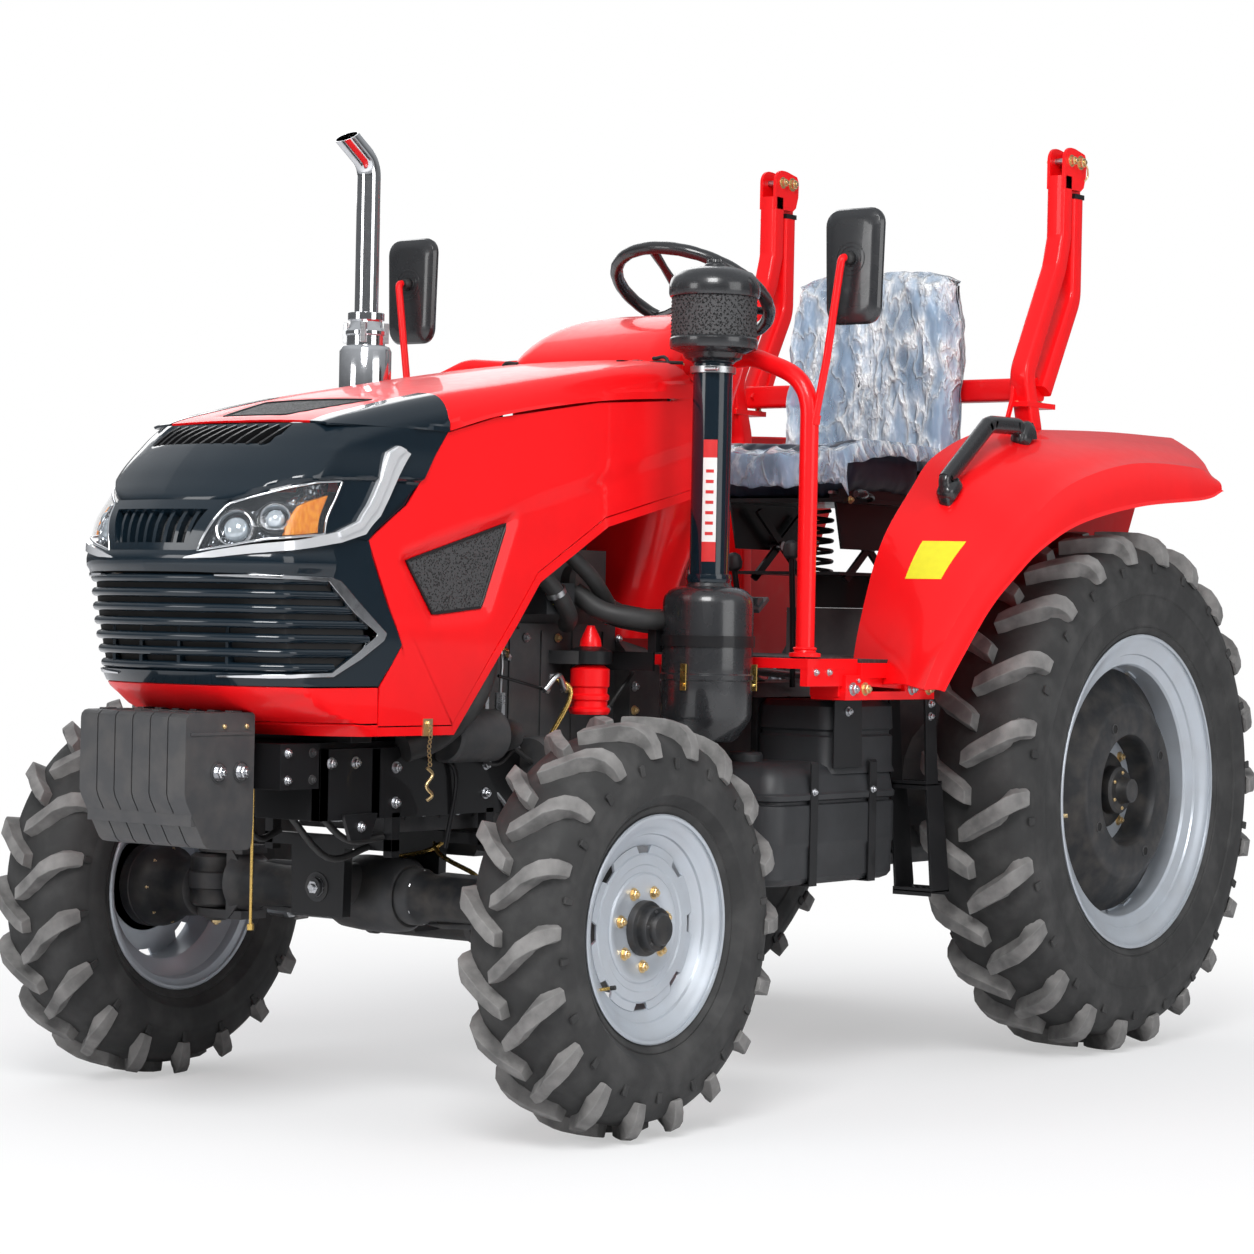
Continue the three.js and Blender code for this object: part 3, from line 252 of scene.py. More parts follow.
@surface("black_plastic")
def black_hose(f, c):
    grained(f, (30.0, 4.0), ((0.010, 0.010, 0.011), (0.035, 0.034, 0.033)), (0.45, 0.2, 50.0, 2.0),
            ("cells", 0.2, 0.0004, 700.0))


@surface("tyre")
def rubber(f, c):
    """Tyre rubber: dark walls with fine mould lines, and dust in the hollows."""
    dust = f.between(f.noise(14.0, 6.0), 0.45, 0.78)
    f.set(base_color=f.mix(dust * 0.13, c.rubber, c.rubber_dust),
          roughness=0.62 + 0.2 * f.noise(40.0, 4.0))
    f.bump(f.noise(240.0, 4.0), 0.3, 0.0008)


@surface("tyre")
def lug_rubber(f, c):
    """The lugs' faces, scuffed and dusty, palest on their tips."""
    dust = f.between(f.noise(24.0, 6.0), 0.36, 0.72)
    base = f.mix(dust * 0.7, shade(c.rubber, 1.5), c.rubber_dust)
    # The tips go paler than the dust: partly painted highlight.
    f.set(base_color=f.mix(f.edges(0.5, 0.56) * 0.4, base, shade(c.rubber_dust, 1.3)),
          roughness=0.72 + 0.2 * f.noise(70.0, 3.0))
    f.bump(f.noise(330.0, 5.0), 0.5, 0.001)


@surface("rim_silver")
def silver_paint(f, c):
    """Silver wheel paint with fine flakes under a satin coat."""
    blotch = f.between(f.noise(13.0, 4.0), 0.4, 0.8)
    base = f.mix(f.noise(2600.0, 1.0), shade(c.silver, 0.82), shade(c.silver, 1.12))
    f.set(base_color=f.mix(blotch * 0.18, base, c.dust), metallic=0.45,
          roughness=0.3 + 0.14 * f.noise(32.0, 3.0), coat_weight=0.25, coat_roughness=0.2)
    f.bump(f.noise(380.0, 2.0), 0.05, 0.0005)


def polished(f, colour, roughness, streak=(1, 1, 1)):
    """Bare metal, its tone and gloss wandering together along its streaks."""
    smear = f.noise(60.0, 4.0, streak)
    f.set(base_color=f.mix(smear, shade(colour, 0.8), colour), metallic=1.0,
          roughness=roughness * 0.6 + roughness * smear)
    f.bump(f.noise(900.0, 2.0, streak), 0.04, 0.0003)


@surface("chrome")
def chrome(f, c):
    polished(f, c.chrome, 0.09)


@surface("chrome")
def bright_trim(f, c):
    """Bright plated trim, softer than mirror chrome."""
    grained(f, (20.0, 2.0), (c.chrome, shade(c.chrome, 1.12)), (0.16, 0.08, 50.0, 2.0),
            ("noise", 0.08, 0.0006, 160.0, 2.0), metallic=0.5, coat_weight=0.4)


@surface("bright_steel")
def steel(f, c):
    polished(f, (0.5, 0.51, 0.52), 0.3, (1, 1, 6))


@surface("bright_steel")
def zinc(f, c):
    polished(f, (0.62, 0.63, 0.65), 0.26)


@surface("bright_steel")
def brass(f, c):
    polished(f, (0.78, 0.52, 0.16), 0.24)


@surface("bright_steel")
def gold_zinc(f, c):
    """Yellow passivated bolts, their hue wandering from straw to copper."""
    hue = f.noise(120.0, 3.0)
    f.set(base_color=f.mix(hue, c.gold, (0.62, 0.5, 0.32)), metallic=0.9, roughness=0.26 + 0.15 * hue)
    f.bump(f.noise(800.0, 2.0), 0.1, 0.0003)


@surface("black_plastic")
def mesh_black(f, c):
    """Pressed black mesh: rows of small dark holes with raised lands between."""
    hole = f.between(f.cells(210.0), 0.28, 0.46)
    f.set(base_color=f.mix(hole, (0.004, 0.004, 0.004), (0.05, 0.05, 0.052)),
          roughness=0.5 + 0.3 * f.noise(50.0, 2.0))
    f.bump(hole, 0.9, 0.0016)


@surface("black_paint")
def dark_inside(f, c):
    # Near black: painted shade in holes, recesses, the lamps' backs and the exhaust's bore, and a gauge's own
    # dark face.
    grained(f, (20.0, 4.0), ((0.004, 0.004, 0.004), (0.014, 0.013, 0.013)), (0.8, 0.1, 40.0, 2.0),
            ("noise", 0.2, 0.001, 140.0, 3.0))


@surface("clear_lens")
def clear_lens(f, c):
    """A clear moulded cover over the lamp, faintly ribbed."""
    grained(f, (15.0, 2.0), ((0.16, 0.18, 0.2), (0.24, 0.26, 0.28)), (0.04, 0),
            ("noise", 0.08, 0.0006, 45.0, 1.0, (3, 1, 0.2)), alpha=0.1)


@surface("chrome")
def reflector(f, c):
    facet = f.cells(62.0, (1.5, 1, 0.8))
    # The facets alternate pale and dark in colour: painted reflection.
    f.set(base_color=f.mix(facet, (0.58, 0.61, 0.64), (0.09, 0.10, 0.12)), metallic=0.85,
          roughness=0.12 + 0.1 * f.noise(80.0, 2.0))
    f.bump(facet, 1.0, 0.01)


@surface("clear_lens")
def amber(f, c):
    ribs = f.cells(130.0, (1.6, 1, 0.6))
    # The emission makes the unlit lens glow: painted light.
    f.set(base_color=f.mix(ribs, (1.0, 0.40, 0.02), (0.75, 0.17, 0.005)), roughness=0.14 + 0.1 * ribs,
          coat_weight=0.8, emission_color=(1.0, 0.33, 0.02), emission_strength=0.12)
    f.bump(ribs, 0.6, 0.002)


@surface("clear_lens")
def lamp_bulb(f, c):
    grained(f, (90.0, 2.0), ((0.42, 0.5, 0.56), (0.8, 0.86, 0.9)), (0.05, 0),
            ("noise", 0.05, 0.0005, 120.0, 1.0), metallic=0.5, coat_weight=1.0)


@surface("seat_cloth")
def seat_vinyl(f, c):
    """Dark seat vinyl: leather grain in small pebbles, and a soft sheen."""
    grained(f, (11.0, 3.0), (c.seat, shade(c.seat, 1.7)), (0.42, 0.16, 44.0, 3.0),
            ("cells", 0.4, 0.0006, 520.0))


@surface("clear_lens")
def clear_film(f, c):
    """Thin clear packing film: white-blue glints along its creases, and see-through between them."""
    glint = f.ridge(5.0, (1.6, 1.6, 0.7), 14.0) + f.ridge(12.0, (1.4, 1.4, 0.7), 16.0) * 0.6
    cloud = f.between(f.noise(7.0, 4.0, (1.6, 1.6, 0.5)), 0.38, 0.68)
    f.set(base_color=f.mix(glint, (0.40, 0.55, 0.74), (0.96, 0.98, 1.0)), roughness=0.1 + 0.1 * cloud,
          alpha=0.22 + 0.38 * cloud + 0.5 * glint, coat_weight=0.5)
    f.bump(glint + 0.6 * cloud, 1.0, 0.01)


@surface("chrome")
def mirror_glass(f, c):
    grained(f, (6.0, 1.0), ((0.78, 0.81, 0.83), (0.86, 0.89, 0.9)), (0.02, 0),
            ("noise", 0.01, 0.0004, 20.0, 1.0), metallic=1.0)


def printed(f, *tones):
    """A smooth printed label."""
    grained(f, (60.0, 3.0), tones, (0.34, 0.1, 90.0, 2.0), ("noise", 0.05, 0.0003, 500.0, 1.0))


@surface("black_plastic")
def yellow_label(f, c):
    printed(f, c.label_yellow, shade(c.label_yellow, 0.85))


@surface("black_plastic")
def label_red(f, c):
    printed(f, (0.62, 0.02, 0.02), (0.5, 0.015, 0.015))


@surface("black_plastic")
def label_white(f, c):
    printed(f, (0.75, 0.75, 0.73), (0.66, 0.65, 0.63))


@surface("black_plastic")
def floor_mat(f, c):
    """Ribbed rubber mat, dusty between its studs."""
    stud = f.between(f.cells(95.0), 0.3, 0.45)
    f.set(base_color=f.mix(stud, (0.05, 0.048, 0.046), (0.022, 0.022, 0.023)),
          roughness=0.6 + 0.2 * f.noise(30.0, 3.0))
    f.bump(stud, -0.8, 0.002)


@surface("black_paint")
def core_fins(f, c):
    """Radiator core: fine upright fins over flat tubes."""
    fin = f.node("ShaderNodeTexWave", {"bands_direction": "X"}, {"Vector": f.place(), "Scale": 160.0})
    f.set(base_color=f.mix(fin, (0.012, 0.012, 0.012), (0.09, 0.09, 0.092)), metallic=0.5,
          roughness=0.4 + 0.2 * f.noise(40.0, 2.0))
    f.bump(fin, 0.8, 0.002)


# ---- shapes, drawn in millimetres ----

def frame_at(direction):
    """Two directions square to this one, and to each other."""
    along = Vector(direction).normalized()
    guess = Vector(UP) if abs(along.z) < 0.9 else Vector(LEFT)
    across = guess.cross(along).normalized()
    return along, across, along.cross(across)


def circle(radius, sides=16):
    return [(radius * cos(2 * pi * i / sides), radius * sin(2 * pi * i / sides))
            for i in range(sides)]


def rectangle(width, height, corner=0.0, steps=3):
    """A rectangle about the origin, its corners rounded."""
    if corner <= 0:
        return [(-width / 2, -height / 2), (width / 2, -height / 2), (width / 2, height / 2),
                (-width / 2, height / 2)]
    loop = []
    for i, (sx, sy) in enumerate(((1, 1), (-1, 1), (-1, -1), (1, -1))):
        for k in range(steps + 1):
            a = pi / 2 * (i + k / steps)
            loop.append((sx * (width / 2 - corner) + corner * cos(a),
                         sy * (height / 2 - corner) + corner * sin(a)))
    return loop


def curve_through(points, steps=6):
    """A smooth line through the points."""
    spots = [Vector(p) for p in points]
    ends = [2 * spots[0] - spots[1]] + spots + [2 * spots[-1] - spots[-2]]
    line = []
    for a, b, c, d in zip(ends, ends[1:], ends[2:], ends[3:]):
        for k in range(steps):
            t = k / steps
            line.append(0.5 * ((2 * b) + (c - a) * t + (2 * a - 5 * b + 4 * c - d) * t * t
                               + (3 * b - a - 3 * c + d) * t ** 3))
    return line + [spots[-1]]


def bent(points, radius, steps=6):
    """Straight runs joined by round bends."""
    spots = [Vector(p) for p in points]
    line = [spots[0]]
    for before, at, after in zip(spots, spots[1:], spots[2:]):
        back, on = before - at, after - at
        half = (pi - back.angle(on)) / 2
        reach = min(radius * tan(half), back.length * 0.48, on.length * 0.48)
        start, end = at + back.normalized() * reach, at + on.normalized() * reach
        for k in range(steps + 1):
            t = k / steps
            line.append(start * (1 - t) ** 2 + at * 2 * t * (1 - t) + end * t * t)
    return line + [spots[-1]]


def blend_rows(rows, at):
    """The row of numbers at a place, between the rows of a list sorted by their first number."""
    if at <= rows[0][0]:
        return rows[0][1:]
    for i, (low, high) in enumerate(zip(rows, rows[1:])):
        if at <= high[0]:
            before, after = rows[max(i - 1, 0)], rows[min(i + 2, len(rows) - 1)]
            span = high[0] - low[0]
            t = (at - low[0]) / span
            out = []
            for k in range(1, len(low)):
                m0 = (high[k] - before[k]) / ((high[0] - before[0]) or 1) * span
                m1 = (after[k] - low[k]) / ((after[0] - low[0]) or 1) * span
                out.append((2 * t ** 3 - 3 * t * t + 1) * low[k] + (t ** 3 - 2 * t * t + t) * m0
                           + (3 * t * t - 2 * t ** 3) * high[k] + (t ** 3 - t * t) * m1)
            return out
    return rows[-1][1:]


class Shape:
    """Gathers closed solids into one mesh, each face with its finish."""

    def __init__(self, paint="red_paint"):
        self.points, self.faces, self.paints = [], [], []
        self.paint = paint

    def use(self, paint):
        self.paint = paint
        return self

    def add(self, points, faces):
        base = len(self.points)
        self.points += [Vector(p) for p in points]
        self.faces += [tuple(base + i for i in face) for face in faces]
        self.paints += [self.paint] * len(faces)
        return self

    def loft(self, rings, ring=False):
        n, m = len(rings[0]), len(rings)
        faces = [(i * n + j, i * n + (j + 1) % n, (i + 1) % m * n + (j + 1) % n, (i + 1) % m * n + j)
                 for i in range(m if ring else m - 1) for j in range(n)]
        if not ring:
            faces += [tuple(range(n - 1, -1, -1)), tuple(range((m - 1) * n, m * n))]
        return self.add([p for r in rings for p in r], faces)

    def sheet(self, rows, thick, push):
        """A closed sheet: rows of points on its outer face, and the same pushed in by its thickness."""
        n, m = len(rows[0]), len(rows)
        outer = [Vector(p) for r in rows for p in r]
        inner = [p + Vector(push(p)) * thick for p in outer]
        count = len(outer)
        faces = []
        for i in range(m - 1):
            for j in range(n - 1):
                a, b, c, d = i * n + j, i * n + j + 1, (i + 1) * n + j + 1, (i + 1) * n + j
                faces += [(a, b, c, d), (count + d, count + c, count + b, count + a)]
        rim = ([j for j in range(n)] + [i * n + n - 1 for i in range(1, m)]
               + [(m - 1) * n + j for j in range(n - 2, -1, -1)] + [i * n for i in range(m - 2, 0, -1)])
        for a, b in zip(rim, rim[1:] + rim[:1]):
            faces.append((b, a, count + a, count + b))
        return self.add(outer + inner, faces)

    def block(self, low, high):
        (x0, y0, z0), (x1, y1, z1) = low, high
        loop = [(x0, y0), (x1, y0), (x1, y1), (x0, y1)]
        return self.loft([[(x, y, z0) for x, y in loop], [(x, y, z1) for x, y in loop]])

    def prism(self, outline, plane, low, high):
        place = {"yz": lambda u, v, w: (w, u, v), "xz": lambda u, v, w: (u, w, v),
                 "xy": lambda u, v, w: (u, v, w)}[plane]
        return self.loft([[place(u, v, w) for u, v in outline] for w in (low, high)])

    def turned(self, profile, at, direction=LEFT, sides=32, closed=True):
        """A profile of (radius, height) points turned about an axis."""
        along, across, up = frame_at(direction)
        middle = Vector(at)
        rings = []
        for i in range(sides):
            a = 2 * pi * i / sides
            out = across * cos(a) + up * sin(a)
            rings.append([middle + out * r + along * h for r, h in profile])
        return self.loft(rings, ring=True) if closed else self.cup(rings)

    def cup(self, rings):
        """Rings round an axis whose profile starts and ends on it."""
        n, m = len(rings[0]), len(rings)
        points = [rings[0][0], rings[0][-1]] + [p for r in rings for p in r[1:-1]]
        k = n - 2
        faces = []
        for i in range(m):
            j = (i + 1) % m
            faces.append((0, 2 + j * k, 2 + i * k))
            faces.append((1, 2 + i * k + k - 1, 2 + j * k + k - 1))
            faces += [(2 + i * k + q, 2 + j * k + q, 2 + j * k + q + 1, 2 + i * k + q + 1)
                      for q in range(k - 1)]
        return self.add(points, faces)

    def knob(self, profile, at, direction=LEFT, sides=24):
        """A solid turned from a profile that starts and ends on the axis."""
        return self.turned([(0, profile[0][1])] + profile + [(0, profile[-1][1])], at, direction, sides,
                           closed=False)

    def bar(self, start, end, radius, end_radius=None, sides=20):
        line = Vector(end) - Vector(start)
        second = radius if end_radius is None else end_radius
        return self.knob([(radius, 0), (second, line.length)], start, line, sides)

    def pipe(self, line, section, ring=False):
        """A section carried along a line without a twist."""
        if not isinstance(section, (list, tuple)):
            section = circle(section, 12)
        spots = [Vector(p) for p in line]
        rings, across = [], None
        for i, spot in enumerate(spots):
            before = spots[i - 1] if i or ring else spot
            after = spots[(i + 1) % len(spots)] if i + 1 < len(spots) or ring else spot
            along = (after - before).normalized()
            if across is None:
                guess = Vector(LEFT) if abs(along.x) < 0.9 else Vector(REAR)
                across = guess
            across = (across - along * across.dot(along)).normalized()
            up = along.cross(across)
            rings.append([spot + across * u + up * v for u, v in section])
        return self.loft(rings, ring=ring)

    def bolt(self, at, direction, size=8.0, head=None, washer=True, paint=None):
        """A hexagon head on a washer, with the end of its thread."""
        kept = self.paint
        self.use(paint or kept)
        along = Vector(direction).normalized()
        spot = Vector(at)
        base = 0.0
        if washer:
            self.knob([(size * 1.35, -1.0), (size * 1.35, size * 0.22)], spot, along, 18)
            base = size * 0.22
        high = head or size * 0.75
        self.knob([(size, base - 1.0), (size, base + high * 0.8), (size * 0.86, base + high)], spot, along, 6)
        self.knob([(size * 0.5, base), (size * 0.5, base + high * 1.35), (size * 0.4, base + high * 1.5)],
                  spot, along, 12)
        return self.use(kept)

    def join(self, other, matrix=None):
        """Adds another shape, moved by a matrix; a mirroring one turns its faces round."""
        turned = matrix is not None and matrix.determinant() < 0
        base = len(self.points)
        self.points += [matrix @ p if matrix is not None else p.copy() for p in other.points]
        self.faces += [tuple(base + i for i in (reversed(f) if turned else f)) for f in other.faces]
        self.paints += other.paints
        return self

    def mirrored(self, side=-1):
        if side > 0:
            return self
        return Shape(self.paint).join(self, Matrix.Diagonal((-1, 1, 1, 1)))


def mesh_object(name, shape):
    """A shape as an object in metres, its faces turned outwards."""
    mesh = bpy.data.meshes.new(name)
    mesh.from_pydata([tuple(p * MM) for p in shape.points], [], shape.faces)
    shell = bmesh.new()
    shell.from_mesh(mesh)
    bmesh.ops.recalc_face_normals(shell, faces=shell.faces)
    shell.to_mesh(mesh)
    shell.free()
    obj = bpy.data.objects.new(name, mesh)
    bpy.context.scene.collection.objects.link(obj)
    return obj


def rounded(obj, width, segments, limit):
    """Rounds an object's edges that are sharper than an angle."""
    edge = obj.modifiers.new("Rounded edges", "BEVEL")
    edge.width = width * MM
    edge.segments = segments
    edge.limit_method = "ANGLE"
    edge.angle_limit = radians(limit)
    return edge


def piece(name, shape, body, replaces=(), bevel=0.0, smooth=35.0, steps=2):
    """Makes a mesh object of a shape, riding on a body of the frame."""
    obj = mesh_object(name, shape)
    mesh = obj.data
    used = list(dict.fromkeys(shape.paints))
    for paint in used:
        mesh.materials.append(finish(paint))
    for polygon, paint in zip(mesh.polygons, shape.paints):
        polygon.material_index = used.index(paint)
    mesh.polygons.foreach_set("use_smooth", [True] * len(mesh.polygons))
    if bevel:
        rounded(obj, bevel, steps, 32).harden_normals = True
    else:
        mesh.set_sharp_from_angle(angle=radians(smooth))
    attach(obj, body)
    if replaces:
        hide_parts(*([replaces] if isinstance(replaces, str) else replaces))
    return obj


def dress(node, paint, bevel=1.5):
    """Gives a CAD node its finish and rounds its edges."""
    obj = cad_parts[node]
    for item in obj.material_slots:
        item.material = finish(paint)
    if not obj.material_slots:
        obj.data.materials.append(finish(paint))
    rounded(obj, bevel, 2, 40)


def box_mm(node):
    """A CAD node's lowest and highest corner, in millimetres."""
    low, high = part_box(node)
    return Vector(low) / MM, Vector(high) / MM


def middle(node):
    low, high = box_mm(node)
    return (low + high) / 2


# ---- wheels ----

# Tyre radius and half width, then the rim's flange radius and half its seat width.
FRONT_TYRE = (408, 111, 222.5, 82.5)
REAR_TYRE = (618, 138, 373.5, 120)


def rolled(at, radius, offset, angle):
    """A point on a wheel: its angle runs from the top forwards, the way that the wheel rolls."""
    return Vector((at.x + offset, at.y - radius * sin(angle), at.z + radius * cos(angle)))


def lug_row(shape, at, path, count, phase, row):
    """A row of lugs.

    Each station of the path has an offset, a radius, a lag, a half width, a depth and a lean.
    """
    top = path[0][1]
    for i in range(count):
        start = 2 * pi * (i + phase) / count
        rings = []
        for offset, radius, lag, half, depth, lean in path:
            out, up = sin(lean), cos(lean)
            foot_offset, foot_radius = offset - out * depth, radius - up * depth
            ring = []
            for o, r, w in ((foot_offset, foot_radius, -half * 1.5), (offset, radius, -half),
                            (offset, radius, half), (foot_offset, foot_radius, half * 1.5)):
                ring.append(rolled(at, r, row * o, start - (lag - w) / top))
            rings.append(ring)
        shape.loft(rings)


def tyre(name, body, radius, half, flange, seat_half, sizes):
    """A traction tyre: a carcass with ringed walls, and two rows of lugs half a pitch apart."""
    at = middle(name)
    at.x = abs(at.x)
    depth, width = sizes.lug_depth / MM, sizes.lug_width / MM
    crown = radius - depth
    carcass = [
        (flange - 8, seat_half - 8), (flange + 3, seat_half - 3), (flange + 9, seat_half + 2),
        (flange + 15, seat_half + 5), (flange + 18, seat_half + 2), (flange + 21, seat_half + 6),
        (radius - 152, half - 9), (radius - 149, half - 5), (radius - 143, half - 4),
               (radius - 128, half - 1),
        (radius - 108, half - 1), (radius - 102, half - 4), (radius - 99, half - 4), (radius - 90, half - 6),
        (crown - 44, half - 13), (crown - 26, half - 22), (crown - 12, half - 38), (crown - 4, half - 62),
        (crown, half * 0.25),
    ]
    profile = carcass + [(r, -o) for r, o in reversed(carcass)]
    shape = Shape("rubber").turned(profile, at, LEFT, 96)
    w = width / 2
    path = [
        (-9, radius - 1, 0, w * 0.8, depth + 4, 0), (10, radius, 12, w, depth + 4, 0),
        (half * 0.32, radius, 32, w * 1.02, depth + 4, 0),
            (half - 54, radius - 1, 54, w * 1.1, depth + 5, 0.05),
        (half - 30, radius - 8, 70, w * 1.16, depth + 6, 0.35),
            (half - 13, radius - 24, 80, w * 1.14, depth + 6, 0.8),
        (half - 4, radius - 46, 86, w * 1.05, depth * 0.9, 1.2),
            (half - 1, radius - 74, 90, w * 0.9, 10, 1.45),
    ]
    shape.use("lug_rubber")
    for row, phase in ((1, 0.0), (-1, 0.5)):
        lug_row(shape, at, path, sizes.lugs, phase, row)
    shape.use("rubber")
    for i in range(sizes.lugs):
        a = 2 * pi * (i - 0.16) / sizes.lugs
        for row in (1, -1):
            near, far = radius - 98, radius - 76
            ring = [[rolled(at, r, row * (half - o), a + d) for r,
                     o in ((near, 6), (near, 1.5), (far, 1.5), (far, 8))]
                    for d in (-w * 0.55 / radius, w * 0.55 / radius)]
            shape.loft(ring)
    side = 1 if body.endswith("left") else -1
    return piece(name + "_tread", shape.mirrored(side), body, name, bevel=2.2)


def rim_shape(at, flange, well, half, seat_step):
    """A stepped wheel rim, both its flanges curled over."""
    seat = flange - 19
    line = [(flange - 3, -half - 1), (flange, -half + 2), (flange - 1, -half + 6), (seat + 3, -half + 11),
            (seat, -half + 18), (seat - 2, -half + 30), (well + 4, -half + 50), (well, -half + 56),
            (well, half - 42), (well + 4, half - 36), (seat - seat_step, half - 27),
            (seat - seat_step + 2, half - 22),
            (seat - 2, half - 15), (seat + 3, half - 10), (flange - 1, half - 5), (flange, half - 1),
            (flange - 3, half + 1)]
    back = [(r - 6, o + (1 if o < 0 else -1)) for r, o in reversed(line)]
    return Shape("silver_paint").turned(line + back, at, LEFT, 96)


def notched_disc(shape, at, radius, low, high, notches, deep, wide):
    """A disc with slots let into its edge."""
    loop = []
    steps = notches * 16
    for i in range(steps):
        a = 2 * pi * i / steps
        near = ((i + 8) % 16) - 8
        r = radius - (deep if abs(near) * 2 * pi / steps * radius < wide / 2 else 0)
        loop.append((a, r))
    return shape.loft([[rolled(at, r, o, a) for a, r in loop] for o in (low, high)])


def front_wheel(context, side_name, side):
    tyre_at = middle("front_tyre_" + side_name)
    at = Vector((abs(tyre_at.x), tyre_at.y, tyre_at.z))
    rim = rim_shape(at, FRONT_TYRE[2], 165, FRONT_TYRE[3], 16)
    notched_disc(rim, at, 161, 39, 45, 8, 17, 42)
    rim.turned([(44, 39), (104, 39), (108, 42), (108, 46), (104, 48.5), (92, 48.5), (88, 46.5), (60, 46.5),
                (44, 46.5)],
               at, LEFT, 72)
    rim.turned([(120, 44), (124, 47.5), (142, 47.5), (146, 44)], at, LEFT, 72)
    rim.use("cast_black")
    hub = [(54, 40), (54, 57), (52, 61), (45, 64), (43, 70), (43, 80), (41, 84), (33, 86), (31, 93), (28, 97),
           (10, 98)]
    rim.knob(hub, at, LEFT, 40)
    for i in range(6):
        a = pi / 3 * (i + 0.3)
        rim.bolt(rolled(at, 36, 84.5, a), LEFT, 4, 3, False)
    for i in range(7):
        rim.bolt(rolled(at, 74, 46, 2 * pi * (i + 0.5) / 7), LEFT, 9.5, 8, True, "gold_zinc")
    rim.use("brass").bar(rolled(at, 182, 56, 2.2), rolled(at, 172, 84, 2.2), 3.2)
    rim.use("black_hose").bar(rolled(at, 174, 78, 2.2), rolled(at, 171, 88, 2.2), 4.4)
    rim.use("cast_black").knob([(80, -8), (92, 2), (92, 26), (80, 39)], at, LEFT, 40)
    piece("front_rim_" + side_name + "_dressed", rim.mirrored(side), "front_wheel_" + side_name,
          "front_rim_" + side_name, bevel=1.2)


def rear_wheel(context, side_name, side):
    tyre_at = middle("rear_tyre_" + side_name)
    at = Vector((abs(tyre_at.x), tyre_at.y, tyre_at.z))
    rim = rim_shape(at, REAR_TYRE[2], 305, REAR_TYRE[3], 24)
    rim.turned([(318, 68), (330, 84), (334, 84), (334, 80), (322, 64), (318, 64)], at, LEFT, 96)
    notched_disc(rim, at, 300, 12, 19, 8, 20, 66)
    for i in range(8):
        a = 2 * pi * (i + 0.5) / 8
        block = [rolled(at, r, o, a + d) for d in (-0.07, 0.07) for r,
                 o in ((296, 6), (296, 32), (304, 32), (304, 6))]
        rim.loft([block[:4], block[4:]])
        rim.bolt(rolled(at, 296, 19, a), (-1, 0, 0), 9, 8, True, "gold_zinc")
    rim.use("cast_black")
    weight = [(262, 14), (288, 17), (291, 24), (288, 33), (276, 38), (214, 86), (206, 92), (198, 94),
              (142, 94),
              (134, 91), (130, 84), (128, 70), (128, 14)]
    rim.turned(weight, at, LEFT, 96)
    for i in range(4):
        a = pi / 2 * i + 0.5
        # Each hole in the weight is floored with painted shade.
        rim.use("dark_inside").knob([(9, 92), (9, 94.6)], at + rolled(Vector((0, 0, 0)), 168, 0, a), LEFT, 20)
        rim.use("cast_black").turned([(10, 92), (13, 92), (13, 96), (10, 96)],
                                     at + rolled(Vector((0, 0, 0)), 168, 0, a), LEFT, 20)
    rim.use("silver_paint").knob([(60, 10), (132, 10), (132, 22), (60, 22)], at, LEFT, 64)
    rim.use("cast_black")
    rim.knob([(90, 14), (90, 30), (84, 36), (58, 40), (56, 66), (50, 72), (34, 74), (30, 84), (28, 100),
              (20, 104)],
             at, LEFT, 48)
    for i in range(8):
        rim.bolt(rolled(at, 108, 22, 2 * pi * i / 8), LEFT, 9.5, 9, True, "gold_zinc")
    for i in range(6):
        rim.bolt(rolled(at, 42, 71, pi / 3 * i), LEFT, 5, 4, False, "gold_zinc")
    rim.use("gold_zinc").bar(rolled(at, 330, 78, 1.72), rolled(at, 318, 104, 1.72), 5)
    rim.knob([(9, 0), (9, 5)], rolled(at, 331, 76, 1.72), (0.75, 0, 0), 6)
    rim.use("steel").bar(rolled(at, 0, -179, 0), rolled(at, 0, -16, 0), 38)
    rim.use("cast_black").bar(rolled(at, 0, -18, 0), rolled(at, 0, 14, 0), 72, 92)
    piece("rear_rim_" + side_name + "_dressed", rim.mirrored(side), "rear_wheel_" + side_name,
          "rear_rim_" + side_name, bevel=1.4)


# ---- front axle, steering, frame and weights ----

